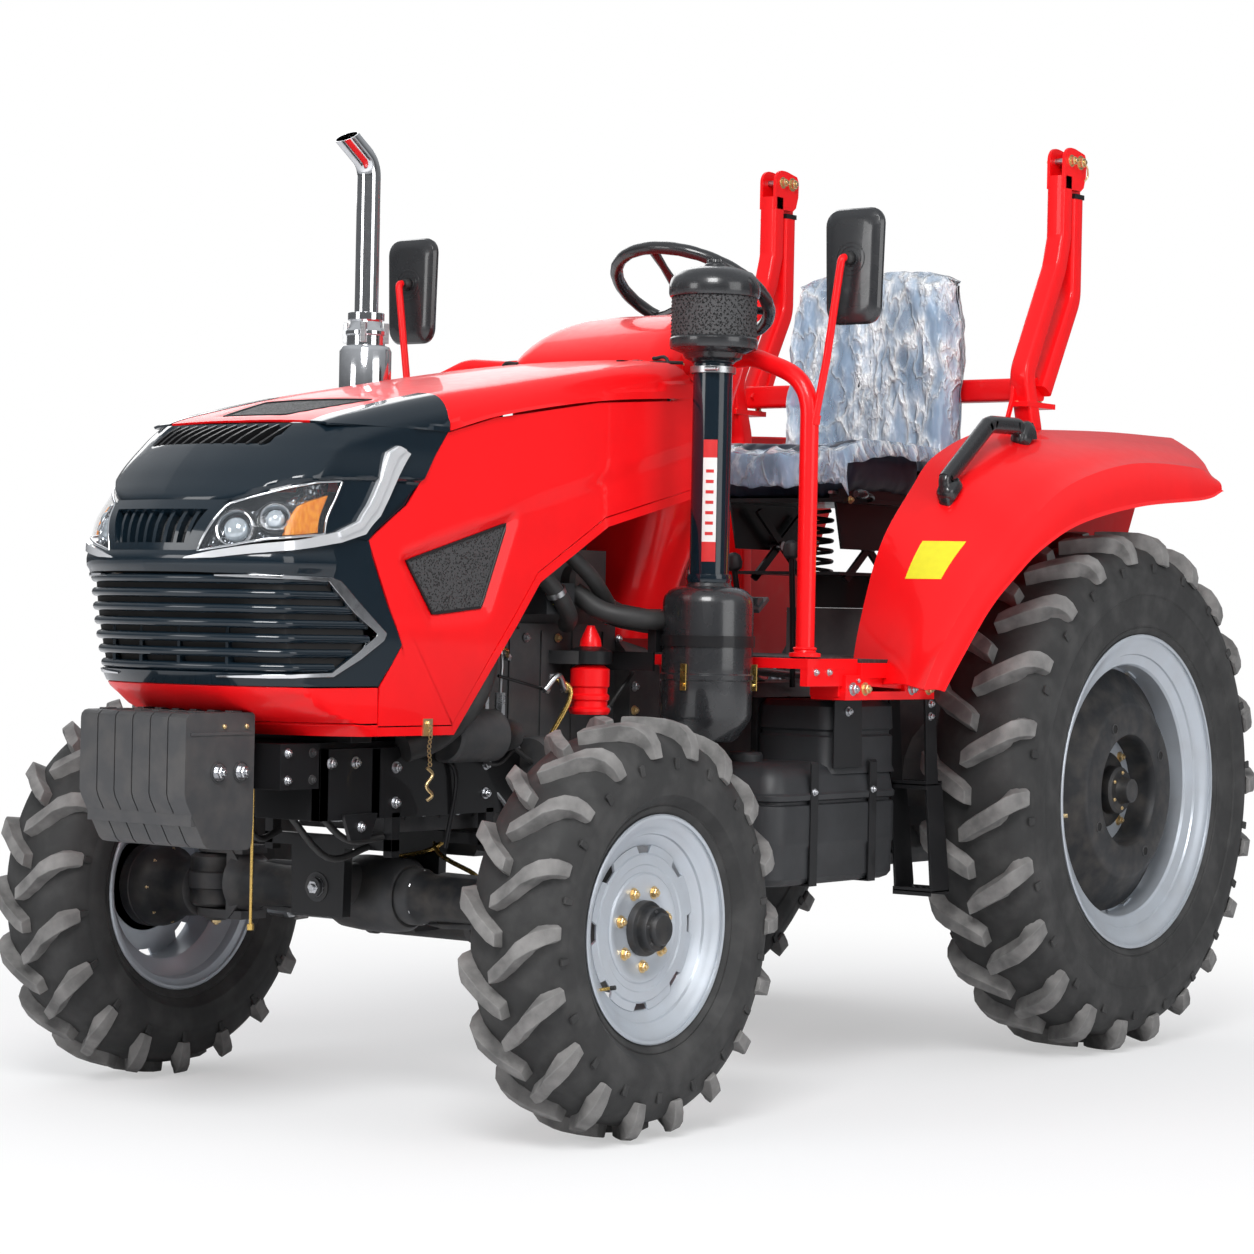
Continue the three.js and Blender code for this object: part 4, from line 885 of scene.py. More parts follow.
def front_axle(context):
    y, z = -1030, 430
    shape = Shape("cast_black")
    for s in (1, -1):
        arm = Shape("cast_black")
        arm.turned([(30, 60), (58, 60), (58, 120), (52, 130), (47, 160), (45, 250), (49, 330), (62, 352),
                    (66, 380), (30, 380)],
                   (0, y, z), LEFT, 40)
        arm.prism([(352, z - 40), (386, z - 78), (392, z - 78), (392, z + 78), (386, z + 78), (352, z + 40)],
                  "xz", y - 42, y + 42)
        for up in (-1, 1):
            low, high = sorted((z + up * 60, z + up * 78))
            arm.prism([(350, y - 38)] + [(460 + 40 * cos(a), y + 40 * sin(a))
                      for a in [pi * (k / 12 - 0.5) for k in range(13)]] + [(350, y + 38)], "xy", low, high)
            arm.knob([(26, 0), (26, 5), (20, 9)], (460, y, z + up * 78), (0, 0, up), 24)
            arm.bolt((460, y, z + up * 86), (0, 0, up), 11, 8, False, "gold_zinc")
        arm.bar((460, y, z - 78), (460, y, z + 78), 22)
        for k in range(6):
            a = pi / 3 * k
            arm.bolt((121, y + 50 * sin(a), z + 50 * cos(a)), LEFT, 6, 5, False, "zinc")
        arm.prism([(130, z + 40), (350, z + 38), (300, z + 52), (180, z + 54)], "xz", y - 5, y + 5)
        arm.prism([(130, z - 54), (350, z - 40), (300, z - 54), (180, z - 60)], "xz", y - 5, y + 5)
        shape.join(arm, Matrix.Diagonal((s, 1, 1, 1)))
    shape.knob([(64, -100), (74, -78), (78, -30), (78, 30), (74, 78), (64, 92)], (0, y, z), LEFT, 40)
    shape.knob([(30, -160), (30, -134), (44, -130), (44, 130), (30, 134), (30, 160)], (-25, y, z + 20), REAR,
               32)
    shape.bar((-25, y - 172, z + 20), (-25, y - 150, z + 20), 20)
    shape.bolt((-25, y - 160, z + 20), (0, -1, 0), 15, 10, True, "zinc")
    shape.prism([(-62, z - 78), (62, z - 78), (52, z - 46), (-52, z - 46)], "xz", -985, -858)
    shape.knob([(30, -150), (33, -148), (33, -132), (30, -130), (30, 130), (33, 132), (33, 148), (30, 150)],
               (0, -880, 360), LEFT, 32)
    shape.use("brass")
    for x, turn in ((118, 1), (-96, -1)):
        shape.bar((x, -880, 390), (x, -880, 404), 9, 9, 6)
        shape.pipe(curve_through([(x, -880, 400), (x + 6 * turn, -890, 440), (x + 52 * turn, -926, 452),
                                  (x + 72 * turn, -950, 476), (40, -900, 520), (30, -840, 610)]), 5)
    piece("front_axle_cast", shape, "chassis", "front_axle", bevel=2.5)
    for name, s in SIDES:
        k = Shape("cast_black")
        k.knob([(48, -56), (56, -50), (56, -20), (60, -16), (60, 16), (56, 20), (56, 50), (48, 56)],
               (460, y, z), UP, 32)
        k.knob([(50, 0), (60, 6), (64, 60), (74, 84), (84, 100), (90, 120), (90, 164)], (497, y, 408), LEFT,
               40)
        for i in range(8):
            a = pi / 4 * i
            k.bolt((596, y + 76 * sin(a), 408 + 76 * cos(a)), (-1, 0, 0), 6, 6, False, "gold_zinc")
        k.prism([(438, y + 20), (482, y + 20), (476, y + 150), (470, y + 168), (444, y + 168),
                 (438, y + 150)], "xy", z - 44, z - 24)
        k.use("steel").bar((457, y + 150, z - 58), (457, y + 150, z - 20), 10)
        k.bolt((457, y + 150, z - 24), UP, 12, 12, False, "zinc")
        piece("knuckle_" + name + "_cast", k.mirrored(s), "knuckle_" + name, "knuckle_" + name, bevel=2)
    rod = Shape("steel")
    rod.bar((-436, -880, 360), (436, -880, 360), 11)
    for s in (1, -1):
        rod.bar((s * 392, -880, 360), (s * 440, -880, 360), 15)
        rod.bar((s * 380, -880, 360), (s * 393, -880, 360), 18, 18, 6)
        rod.use("cast_black").knob([(12, -10), (19, -9), (21, -2), (20, 6), (13, 10)], (s * 457, -880, 360),
                                   UP, 28)
        rod.use("steel")
    piece("steering_rod_ground", rod, "steering_rod", "steering_rod", bevel=0.8)


def front_frame(context):
    y = -1400
    shape = Shape("satin_black")
    for s in (1, -1):
        rail = Shape("satin_black")
        rail.prism([(y, 600), (-520, 600), (-520, 740), (y, 740)], "yz", 150, 172)
        for yy, zz in ((-1370, 712), (-1300, 712), (-1180, 630), (-1180, 700), (-900, 700), (-900, 640),
                       (-760, 700), (-640, 700), (-560, 640)):
            rail.bolt((172, yy, zz), LEFT, 9, 8, True, "zinc" if yy % 40 else "cast_black")
        rail.prism([(-1340, 612), (-1240, 612), (-1262, 560), (-1318, 560)], "yz", 172, 181)
        rail.bolt((181, -1290, 586), LEFT, 8, 7, True, "zinc")
        for zz in (-1188, -896):
            rail.prism([(150, 520), (172, 520), (172, 610), (150, 610)], "xz", zz, zz + 24)
        rail.use("satin_black").prism([(-860, 740), (-700, 740), (-710, 752), (-850, 752)], "yz", 120, 178)
        shape.join(rail, Matrix.Diagonal((s, 1, 1, 1)))
    shape.block((-172, y, 600), (172, y + 24, 740)).block((-172, -1250, 602), (172, -1226, 738))
    shape.block((-150, y, 730), (150, -1160, 751.5))
    for yy in (-1188, -896):
        shape.prism([(-172, 556), (172, 556), (172, 532), (48, 532), (45, 392), (-95, 392), (-98, 532),
                     (-172, 532)],
                    "xz", yy, yy + 24)
    # The beam that crosses behind the weights, with bolts at both its ends.
    shape.prism([(-1512, 664), (-1512, 752), (-1404, 752), (-1404, 664)], "yz", -172, 172)
    for s in (1, -1):
        for zz in (682, 734):
            shape.bolt((s * 172, -1492, zz), (s, 0, 0), 7, 6, True, "zinc")
            shape.bolt((s * 172, -1424, zz), (s, 0, 0), 7, 6, True, "cast_black")
    shape.use("brass").bar((96, -1506, 400), (96, -1506, 664), 3.2)
    shape.bar((96, -1506, 392), (96, -1506, 404), 7)
    shape.use("black_hose")
    for start, end, sag in (((120, -1380, 640), (150, -1190, 560), 40),
                            ((60, -1380, 620), (110, -1180, 540), 60),
                            ((-90, -1370, 640), (-120, -1200, 560), 50)):
        a, b = Vector(start), Vector(end)
        shape.pipe(curve_through([a, (a + b) / 2 - Vector((0, 0, sag)), b]), 7)
    piece("front_frame_welded", shape, "chassis", "front_frame", bevel=2)


def front_weights(context):
    shape = Shape("cast_black")
    count = 6
    pitch = 280 / count
    outline = [(-1716, 812), (-1726, 810), (-1733, 804), (-1735, 796), (-1735, 660), (-1731, 648),
               (-1682, 566),
               (-1673, 559), (-1660, 556), (-1566, 551), (-1556, 556), (-1551, 600), (-1550.5, 806),
               (-1556, 812)]
    for i in range(count):
        low = -140 + i * pitch + (1.4 if i else 0)
        high = -140 + (i + 1) * pitch - (1.4 if i < count - 1 else 0)
        shape.prism(outline, "yz", low, high)
        x = (low + high) / 2
        shape.block((x - 9, -1700, 812), (x + 9, -1672, 815)).block((x - 9, -1600, 812), (x + 9, -1572, 815))
    shape.prism([(-1715, 600), (-1570, 600), (-1570, 790), (-1715, 790)], "yz", -138, 138)
    for s in (1, -1):
        for yy in (-1648, -1588):
            shape.knob([(20, -2), (20, 3)], (s * 140, yy, 700), (s, 0, 0), 24)
            shape.bolt((s * 142, yy, 700), (s, 0, 0), 12, 11, True, "zinc")
            shape.bolt((s * 140, yy + 14, 786), (s, 0, 0), 5, 4, False, "gold_zinc")
        shape.use("cast_black").prism([(-1722, 770), (-1560, 770), (-1560, 776), (-1722, 776)], "yz",
                                      *sorted((s * 139, s * 142)))
    piece("front_weights_cast", shape, "chassis", "front_weights", bevel=3)


# ---- engine, radiator, gearbox and rear axle ----

def engine(context):
    shape = Shape("cast_black")
    shape.prism([(-1130, 566), (-420, 566), (-420, 990), (-1130, 990)], "yz", -132, 132)
    shape.prism([(-1110, 980), (-440, 980), (-440, 1150), (-1110, 1150)], "yz", -118, 118)
    shape.use("satin_black").prism([(-96, 1140), (96, 1140), (90, 1236), (72, 1250), (-72, 1250),
                                    (-90, 1236)],
                                   "xz", -1080, -480)
    shape.use("cast_black").prism([(-92, 502), (92, 502), (122, 562), (-122, 562)], "xz", -836, -486)
    for s in (1, -1):
        for k in range(7):
            y = -1096 + k * 106
            shape.block((s * 131 - 5, y - 8, 590), (s * 131 + 5, y + 8, 975))
            shape.bolt((s * 136, y + 46, 960), (s, 0, 0), 7, 6, True, "gold_zinc" if k % 3 else "zinc")
            shape.bolt((s * 136, y + 46, 604), (s, 0, 0), 7, 6, True, "zinc")
        for k in range(4):
            y = -1040 + k * 160
            shape.knob([(34, 0), (38, 6), (38, 30), (30, 40)], (s * 112, y, 1080), (s, 0, 0), 24)
    shape.use("steel").turned([(34, 0), (118, 0), (118, 8), (108, 12), (108, 24), (118, 28), (118, 34),
                               (34, 34)],
                              (0, -1168, 700), REAR, 48)
    shape.use("black_hose")
    shape.turned([(119, 12), (126, 12), (126, 26), (119, 26)], (0, -1168, 700), REAR, 48)
    for blade in range(6):
        a = pi / 3 * blade
        out = Vector((cos(a), 0, sin(a)))
        side = Vector((-sin(a), 0, cos(a)))
        ring = []
        for r, w, tilt in ((40, 22, 10), (120, 44, 14), (178, 52, 10)):
            c = Vector((0, -1205, 980)) + out * r
            ring.append([c - side * w + Vector((0, -tilt, 0)), c + side * w + Vector((0, tilt, 0)),
                         c + side * w + Vector((0, tilt + 3, 0)), c - side * w + Vector((0, 3 - tilt, 0))])
        shape.use("black_plastic").loft(ring)
    shape.knob([(44, -16), (48, 0), (48, 30), (40, 90)], (0, -1205, 980), REAR, 28)
    # Injection pump, filters, starter and alternator on the left side.
    shape.use("cast_black")
    shape.knob([(48, 0), (54, 6), (54, 150), (40, 166), (30, 220)], (192, -1060, 760), REAR, 28)
    shape.knob([(62, 0), (66, 8), (66, 60), (58, 70)], (196, -790, 690), REAR, 28)
    for k in range(4):
        x, y = 168, -1010 + k * 52
        shape.use("zinc").bar((x, y, 800), (x, y, 846), 11, 11, 6)
        shape.use("steel").pipe(curve_through([(x, y, 840), (x + 4, y, 900), (160, y + 30, 990),
                                               (126, -1040 + k * 160, 1080)]), 3.4)
    shape.use("red_paint").knob([(40, 0), (44, 6), (44, 12), (38, 16), (38, 28), (42, 32), (42, 40), (38, 44),
                                 (38, 56), (42, 60), (42, 96), (30, 104)], (208, -604, 800), UP, 28)
    shape.use("satin_black").knob([(20, 0), (46, 3), (46, 30), (24, 40)], (208, -604, 904), UP, 28)
    shape.use("red_paint").knob([(24, 0), (22, 14), (8, 44)], (208, -604, 944), UP, 24)
    shape.use("cast_black").block((120, -650, 906), (212, -560, 934))
    shape.use("black_plastic").block((150, -760, 1010), (212, -668, 1076))
    shape.use("yellow_label").block((212, -740, 1030), (213, -700, 1056))
    shape.use("black_plastic").knob([(52, 0), (56, 5), (56, 86), (48, 96)], (-190, -900, 720), REAR, 28)
    shape.use("cast_black").knob([(40, 0), (44, 6), (44, 130), (34, 140)], (-186, -690, 700), UP, 28)
    shape.use("brass").bar((150, -700, 640), (150, -700, 700), 6)
    draw = random.Random(11)
    for k in range(22):
        x = draw.uniform(140, 205)
        y = draw.uniform(-1080, -470)
        z = draw.uniform(640, 1120)
        side = 1 if k % 4 else -1
        a = Vector((side * x, y, z))
        b = a + Vector((side * draw.uniform(-14, 10), draw.uniform(-200, 200), draw.uniform(-240, 120)))
        b.y = max(-1110, min(-440, b.y))
        b.x = side * min(abs(b.x), 200)
        c = (a + b) / 2 + Vector((side * draw.uniform(6, 34), draw.uniform(-30, 30), draw.uniform(-50, 50)))
        paint = ("black_hose", "steel", "black_hose", "brass", "satin_black")[k % 5]
        shape.use(paint).pipe(curve_through([a, c, b]), draw.uniform(2.5, 6.5))
        shape.use("zinc").knob([(8, -4), (8, 6)], a, (b - a), 6)
    # The big air hose sweeps down from under the side panel to the frame, and two smaller ones run above it.
    for s in (1, -1):
        shape.use("black_hose").pipe(curve_through([
            (s * 196, -1010, 1010), (s * 226, -985, 930), (s * 236, -1030, 840), (s * 220, -1110, 770),
            (s * 190, -1180, 742)]), circle(33, 20))
    shape.pipe(curve_through([(150, -900, 1140), (214, -840, 1120), (232, -760, 1060), (214, -690, 1010),
                              (170, -640, 990)]),
               circle(19, 14))
    shape.pipe(curve_through([(140, -800, 1170), (206, -740, 1160), (230, -650, 1100), (214, -560, 1040),
                              (180, -510, 1020)]),
               circle(17, 14))
    shape.use("steel").turned([(20, -6), (22, -6), (22, 6), (20, 6)], (231, -755, 1056), (0, 0.5, -0.7), 20)
    piece("engine_dressed", shape, "chassis", "engine", bevel=1.6, steps=1)


def radiator(context):
    shape = Shape("satin_black")
    shape.block((-205, -1350, 752.4), (205, -1290, 800)).block((-205, -1350, 1190), (205, -1290, 1240))
    shape.block((-205, -1350, 790), (-184, -1290, 1200)).block((184, -1350, 790), (205, -1290, 1200))
    shape.use("core_fins").block((-186, -1340, 796), (186, -1300, 1194))
    shape.use("satin_black")
    shape.turned([(184, 0), (196, 0), (196, 36), (184, 36)], (0, -1290, 990), REAR, 48)
    shape.block((-190, -1292, 790), (-150, -1284, 1200)).block((150, -1292, 790), (190, -1284, 1200))
    shape.use("brass").knob([(30, 0), (30, 12), (26, 16)], (60, -1320, 1236), UP, 24)
    for k in range(9):
        shape.use("red_paint" if k in (3, 4) else "satin_black").block(
            (-130, -1356, 830 + k * 40), (130, -1350, 838 + k * 40))
    piece("radiator_cored", shape, "chassis", "radiator", bevel=1.2)


def drive_line(context):
    dress("gearbox", "cast_black", 6)
    dress("rear_axle", "cast_black", 5)
    dress("drawbar", "cast_black", 3)
    extra = Shape("cast_black")
    for s in (1, -1):
        for k in range(8):
            extra.bolt((s * 176, -404, 545 + k * 52), (s, 0, 0), 8, 7, True, "gold_zinc" if k % 2 else "zinc")
        for k in range(5):
            extra.bolt((s * 132, -200 + k * 150, 560), (s, 0, 0), 8, 7, True, "zinc")
            extra.block((s * 128 - 5, -190 + k * 150, 600), (s * 128 + 5, -176 + k * 150, 830))
        for k in range(10):
            a = pi / 5 * k
            extra.bolt((s * 262, 850 + 126 * sin(a), 618 + 126 * cos(a)), (s, 0, 0), 9, 8, True, "gold_zinc")
            extra.bolt((s * 476, 850 + 96 * sin(a), 618 + 96 * cos(a)), (-s, 0, 0), 8, 16, False, "zinc")
        for k in range(6):
            a = pi / 3 * k
            rib = [(262, 92), (430, 74), (430, 80), (262, 118)]
            extra.use("cast_black").loft([[(s * x, 850 + r * sin(a + d), 618 + r * cos(a + d)) for x,
                                           r in rib]
                                          for d in (-0.05, 0.05)])
        for y, z in ((640, 860), (1000, 860), (640, 1030), (1010, 1030)):
            extra.bolt((s * 130, y, z), (s, 0, 0), 8, 7, True, "zinc")
    extra.use("steel").knob([(17, 0), (17, 100), (12, 110)], (0, 1030, 600), REAR, 18)
    for k in range(6):
        a = pi / 3 * k
        extra.bar((15 * cos(a), 1050, 600 + 15 * sin(a)), (15 * cos(a), 1122, 600 + 15 * sin(a)), 4)
    extra.use("satin_black").sheet([[(x, y, 692 - 0.004 * x * x) for x in (-84, -56, -28, 0, 28, 56, 84)]
                                    for y in (1012, 1060, 1108)], 3, lambda p: (0, 0, -1))
    extra.use("gold_zinc").pipe(curve_through([(60, 1030, 900), (84, 1060, 880), (88, 1070, 820),
                                               (70, 1040, 780)]), 6)
    extra.use("black_hose").pipe(curve_through([(-60, 1026, 960), (-96, 1070, 930), (-120, 1060, 860),
                                                (-140, 1016, 800)]), 8)
    for k, x in enumerate((-86, -44, 44, 86)):
        extra.use("zinc").knob([(15, 0), (15, 22), (11, 24), (11, 38)], (x, 1028, 1000), REAR, 6)
        extra.use("red_paint" if k % 2 else "black_hose").knob([(12, 34), (13, 36), (13, 48), (8, 52)],
                                                               (x, 1028, 1000), REAR, 20)
    for x, y0, y1 in ((70, 60, 520), (-70, 60, 520), (30, 40, 470)):
        extra.use("steel").pipe(curve_through([(x, y0, 900), (x, (y0 + y1) / 2, 886), (x, y1, 872)]), 6)
    for x, top in ((-90, 1180), (-40, 1130), (110, 1160)):
        extra.use("satin_black").pipe(curve_through([(x, 300, 850), (x, 296, 1000), (x * 1.1, 270, top)]), 7)
        extra.use("black_plastic").knob([(10, 0), (19, 8), (21, 22), (16, 38), (6, 44)],
                                        (x * 1.1, 270, top - 8), (0, -0.1, 1), 20)
    extra.use("black_hose").knob([(56, 0), (54, 8), (40, 16), (36, 30), (24, 36), (20, 52)], (-36, 300, 856),
                                 UP, 28)
    piece("drive_line_fittings", extra, "chassis", bevel=1, steps=1)


# ---- hood ----

# Across the tractor: place along it, half width, height at the middle, shoulder radius.
HOOD_RINGS = [(-1760, 262, 1190, 40), (-1668, 262, 1235, 40), (-1572, 262, 1322, 42), (-1460, 262, 1372, 48),
              (-1371, 263, 1396, 52), (-1140, 270, 1446, 56), (-926, 275, 1482, 56), (-767, 277, 1509, 52),
              (-534, 279, 1545, 46), (-328, 280, 1570, 42)]
# Level lines through the nose: height and foremost point, and how far the front falls back outwards.
NOSE_FRONT = [(740, -1440), (785, -1500), (812, -1590), (858, -1658), (960, -1695), (1095, -1712),
              (1170, -1702), (1225, -1662), (1331, -1572), (1420, -1440), (1700, -1000)]
NOSE_PLAN = [(0, 0), (100, 16), (200, 57), (262, 105), (330, 150)]
CORNER = 262
CROWN = 7


def roof(y, x):
    half, top, r = blend_rows(HOOD_RINGS, y)
    flat = half - r
    x = abs(x)
    if x <= flat:
        return top + CROWN * (1 - (x / flat) ** 2)
    return top - r + sqrt(max(0.0, r * r - (x - flat) ** 2))


def wall(y, z):
    half, top, r = blend_rows(HOOD_RINGS, y)
    if z <= top - r:
        return half
    return half - r + sqrt(max(0.0, r * r - (z - top + r) ** 2))


def roof_foremost(z, x):
    low, high = -1760.0, -328.0
    if roof(low, x) >= z:
        return low
    for _ in range(18):
        mid = (low + high) / 2
        low, high = (low, mid) if roof(mid, x) >= z else (mid, high)
    return high


FOREMOST = {}


def foremost(z, x):
    key = (round(z, 1), round(x, 1))
    if key not in FOREMOST:
        level = blend_rows(NOSE_FRONT, z)[0]
        FOREMOST[key] = max(level + blend_rows(NOSE_PLAN, min(abs(x), 330))[0], roof_foremost(z, x))
    return FOREMOST[key]


def nose_raw(q, z):
    """A place on the nose: q runs outwards from the middle, and on along the side."""
    if abs(q) <= CORNER:
        return Vector((q, foremost(z, q), z))
    y = foremost(z, CORNER) + abs(q) - CORNER
    return Vector((copysign(wall(y, z), q), y, z))


def nose(q, z):
    spot = Vector((0, 0, 0))
    for step, share in ((-27, 1), (-18, 2), (-9, 3), (0, 4), (9, 3), (18, 2), (27, 1)):
        spot += nose_raw(q + step, z) * (share / 16)
    spot.z = z
    return spot


def at_side(y, z):
    return (CORNER + y - foremost(z, CORNER), z)


def side_skin(y, z):
    return Vector((wall(y, z), y, z))


def top_skin(g, y):
    """A place on the hood's top: g runs from the middle, over the shoulder and down the side."""
    half, top, r = blend_rows(HOOD_RINGS, y)
    flat, arc = half - r, r * pi / 2
    a = abs(g)
    if a <= flat:
        spot = (a, y, top + CROWN * (1 - (a / flat) ** 2))
    elif a <= flat + arc:
        turn = (a - flat) / r
        spot = (flat + r * sin(turn), y, top - r + r * cos(turn))
    else:
        spot = (half, y, top - r - (a - flat - arc))
    return Vector((copysign(spot[0], g) if g else 0.0, spot[1], spot[2]))


def girth(y, z):
    """How far round from the middle the hood's skin comes down to a height."""
    half, top, r = blend_rows(HOOD_RINGS, y)
    if z <= top - r:
        return half - r + r * pi / 2 + (top - r - z)
    return half - r + r * acos(max(-1.0, min(1.0, (z - top + r) / r)))


def facing(skin, a, b, outward):
    step = 2.0
    if skin is nose:
        outward = (a * 0.006, -1, 0.1)
    n = (skin(a + step, b) - skin(a - step, b)).cross(skin(a, b + step) - skin(a, b - step))
    if n.length < 1e-6:
        return Vector(outward)
    n.normalize()
    return n if n.dot(Vector(outward)) > 0 else -n


def evenly(line, count):
    """Points spread along a line of (a, b) points; a line of as many keeps its own."""
    spots = [Vector((p[0], p[1], 0)) for p in line]
    if len(spots) == count:
        return [(p.x, p.y) for p in spots]
    lengths = [(b - a).length for a, b in zip(spots, spots[1:])]
    total = sum(lengths)
    out = []
    for i in range(count):
        left = total * i / (count - 1)
        for k, run in enumerate(lengths):
            if left <= run or k == len(lengths) - 1:
                spot = spots[k].lerp(spots[k + 1], min(1.0, left / run) if run else 0)
                break
            left -= run
        out.append((spot.x, spot.y))
    return out


def matched(line, steps):
    """Points set out between each two points of a line, so that two lines match point by point."""
    out = []
    for (a0, b0), (a1, b1) in zip(line, line[1:]):
        out += [(a0 + (a1 - a0) * k / steps, b0 + (b1 - b0) * k / steps) for k in range(steps)]
    return out + [line[-1]]


def patch(shape, skin, lower, upper, outward, rows=2, thick=5.0, lift=0.0, relief=None, columns=None):
    """A sheet that lies on a skin, between two lines drawn in the skin's own places."""
    if columns:
        lower, upper = evenly(lower, columns), evenly(upper, columns)
    grid = [[(a0 + (a1 - a0) * i / rows, b0 + (b1 - b0) * i / rows) for (a0, b0),
             (a1, b1) in zip(lower, upper)]
            for i in range(rows + 1)]
    return patch_rows(shape, skin, grid, outward, thick, relief, lift)


def patch_rows(shape, skin, rows, outward, thick, relief, lift=0.0):
    """A sheet that lies on a skin, through rows of the skin's own places."""
    grid, pushes = [], {}
    for line in rows:
        out = []
        for a, b in line:
            n = facing(skin, a, b, outward)
            spot = skin(a, b) + n * (lift + (relief(a, b) if relief else 0.0))
            pushes[tuple(spot)] = -n
            out.append(spot)
        grid.append(out)
    return shape.sheet(grid, thick, lambda p: pushes[tuple(p)])


def inside_depth(outline, a, b):
    """How far a place lies inside an outline drawn anticlockwise or clockwise; below 0 outside."""
    best, inside = 1e9, False
    for (x0, y0), (x1, y1) in zip(outline, outline[1:] + outline[:1]):
        run = ((x1 - x0) ** 2 + (y1 - y0) ** 2) or 1
        t = max(0.0, min(1.0, ((a - x0) * (x1 - x0) + (b - y0) * (y1 - y0)) / run))
        best = min(best, hypot(a - x0 - t * (x1 - x0), b - y0 - t * (y1 - y0)))
        if (y0 > b) != (y1 > b) and a < (x1 - x0) * (b - y0) / (y1 - y0) + x0:
            inside = not inside
    return best if inside else -best


def ease(value, low, high):
    t = max(0.0, min(1.0, (value - low) / (high - low)))
    return t * t * (3 - 2 * t)


SIDE_OUTLINE_LOW = [(-1338, 767), (-1250, 767), (-1160, 767), (-1119, 767), (-1010, 895), (-931, 987),
                    (-860, 1075), (-639, 1196), (-328, 1271)]
SIDE_OUTLINE_HIGH = [(-1338, 862), (-1275, 944), (-1325, 1045), (-1374, 1145), (-1266, 1217), (-1153, 1366),
                     (-1008, 1404), (-682, 1455), (-328, 1483)]
INLET = [(-1265, 1110), (-948, 1199), (-1027, 1016), (-1181, 1000)]


def side_relief(y, z):
    """The pocket round the air inlet, and the creases that run back from it and under it."""
    depth = inside_depth(INLET, y, z)
    pocket = -13.0 * ease(depth, -20, 6)
    crease_z = 1215 + 0.26 * (y + 950)
    above = 3.5 * ease(z - crease_z, -16, 26) * ease(y, -1010, -820)
    under = 3.0 * ease(990 - z, -14, 10) * ease(-1040 - y, -60, 60)
    return pocket + above + under - 3.0


def hood_side(context, name, s):
    gap = 1.6
    low = matched(SIDE_OUTLINE_LOW, 11)
    high = matched([(y + (gap if i < 6 else 0), z - (gap if i > 4 else 0))
                    for i, (y, z) in enumerate(SIDE_OUTLINE_HIGH)], 11)
    skirt = 20
    shape = Shape("red_paint")
    up = [(y - (8 if 3 <= i / 11 < 8 else 0), z + skirt) for i, (y, z) in enumerate(low)]
    patch(shape, side_skin, up, high, LEFT, rows=44, thick=4, relief=side_relief)
    lip_top = [(y, z - 2.5) for y, z in up]
    patch(shape, side_skin, low, lip_top, LEFT, rows=2, thick=4, lift=-1.5, relief=lambda y, z: 0.0)
    # The lower edge is turned in along the wheel arch.
    shape.sheet([[Vector((wall(y, z) - 2 - d, y, z + 1)) for y, z in low] for d in (0, 9, 18)], 3,
                lambda p: UP)
    shape.use("mesh_black")
    floor = [(y * 0.93 - 1103 * 0.07, z * 0.93 + 1086 * 0.07) for y, z in INLET]
    patch(shape, side_skin, [floor[3], floor[2]], [floor[0], floor[1]], LEFT, rows=14, thick=2, lift=-13.5,
          columns=20)
    shape.use("satin_black")
    ring = [floor[0], floor[1], floor[2], floor[3]]
    line = [side_skin(y, z) - Vector((13, 0, 0)) for y, z in evenly(ring + ring[:1], 49)[:-1]]
    shape.pipe(line, 3.0, ring=True)
    if s > 0:
        # A toggle catch hangs on the skirt, with a split pin on a short chain.
        x = 266
        shape.use("gold_zinc").block((x - 1, -1212, 766), (x + 4, -1184, 800))
        shape.bolt((x + 4, -1198, 790), LEFT, 6, 4, False)
        links = [Vector((x + 9, -1198 + 2 * sin(k), 782 - 9 * k)) for k in range(9)]
        for k, at in enumerate(links):
            shape.turned([(3.2, -0.9), (5, -0.9), (5, 0.9), (3.2, 0.9)], at, LEFT if k % 2 else REAR, 12)
        shape.pipe(curve_through([(x + 9, -1204, 704), (x + 11, -1190, 690), (x + 9, -1206, 668),
                                  (x + 11, -1190, 650),
                                  (x + 9, -1202, 640)]), 3.4)
    piece("hood_side_" + name + "_panel", shape.mirrored(s), "hood", "hood_side_" + name, bevel=0.8)


TOP_MESH = [(-86, -1428), (86, -1428), (150, -1236), (-150, -1236)]


def top_relief(g, y):
    well = -5.0 * ease(inside_depth(TOP_MESH, g, y), -9, 2)
    bulge = 3.0 * ease(205 - abs(g), -30, 30) * ease(y, -1180, -900)
    return well + bulge - 1.0


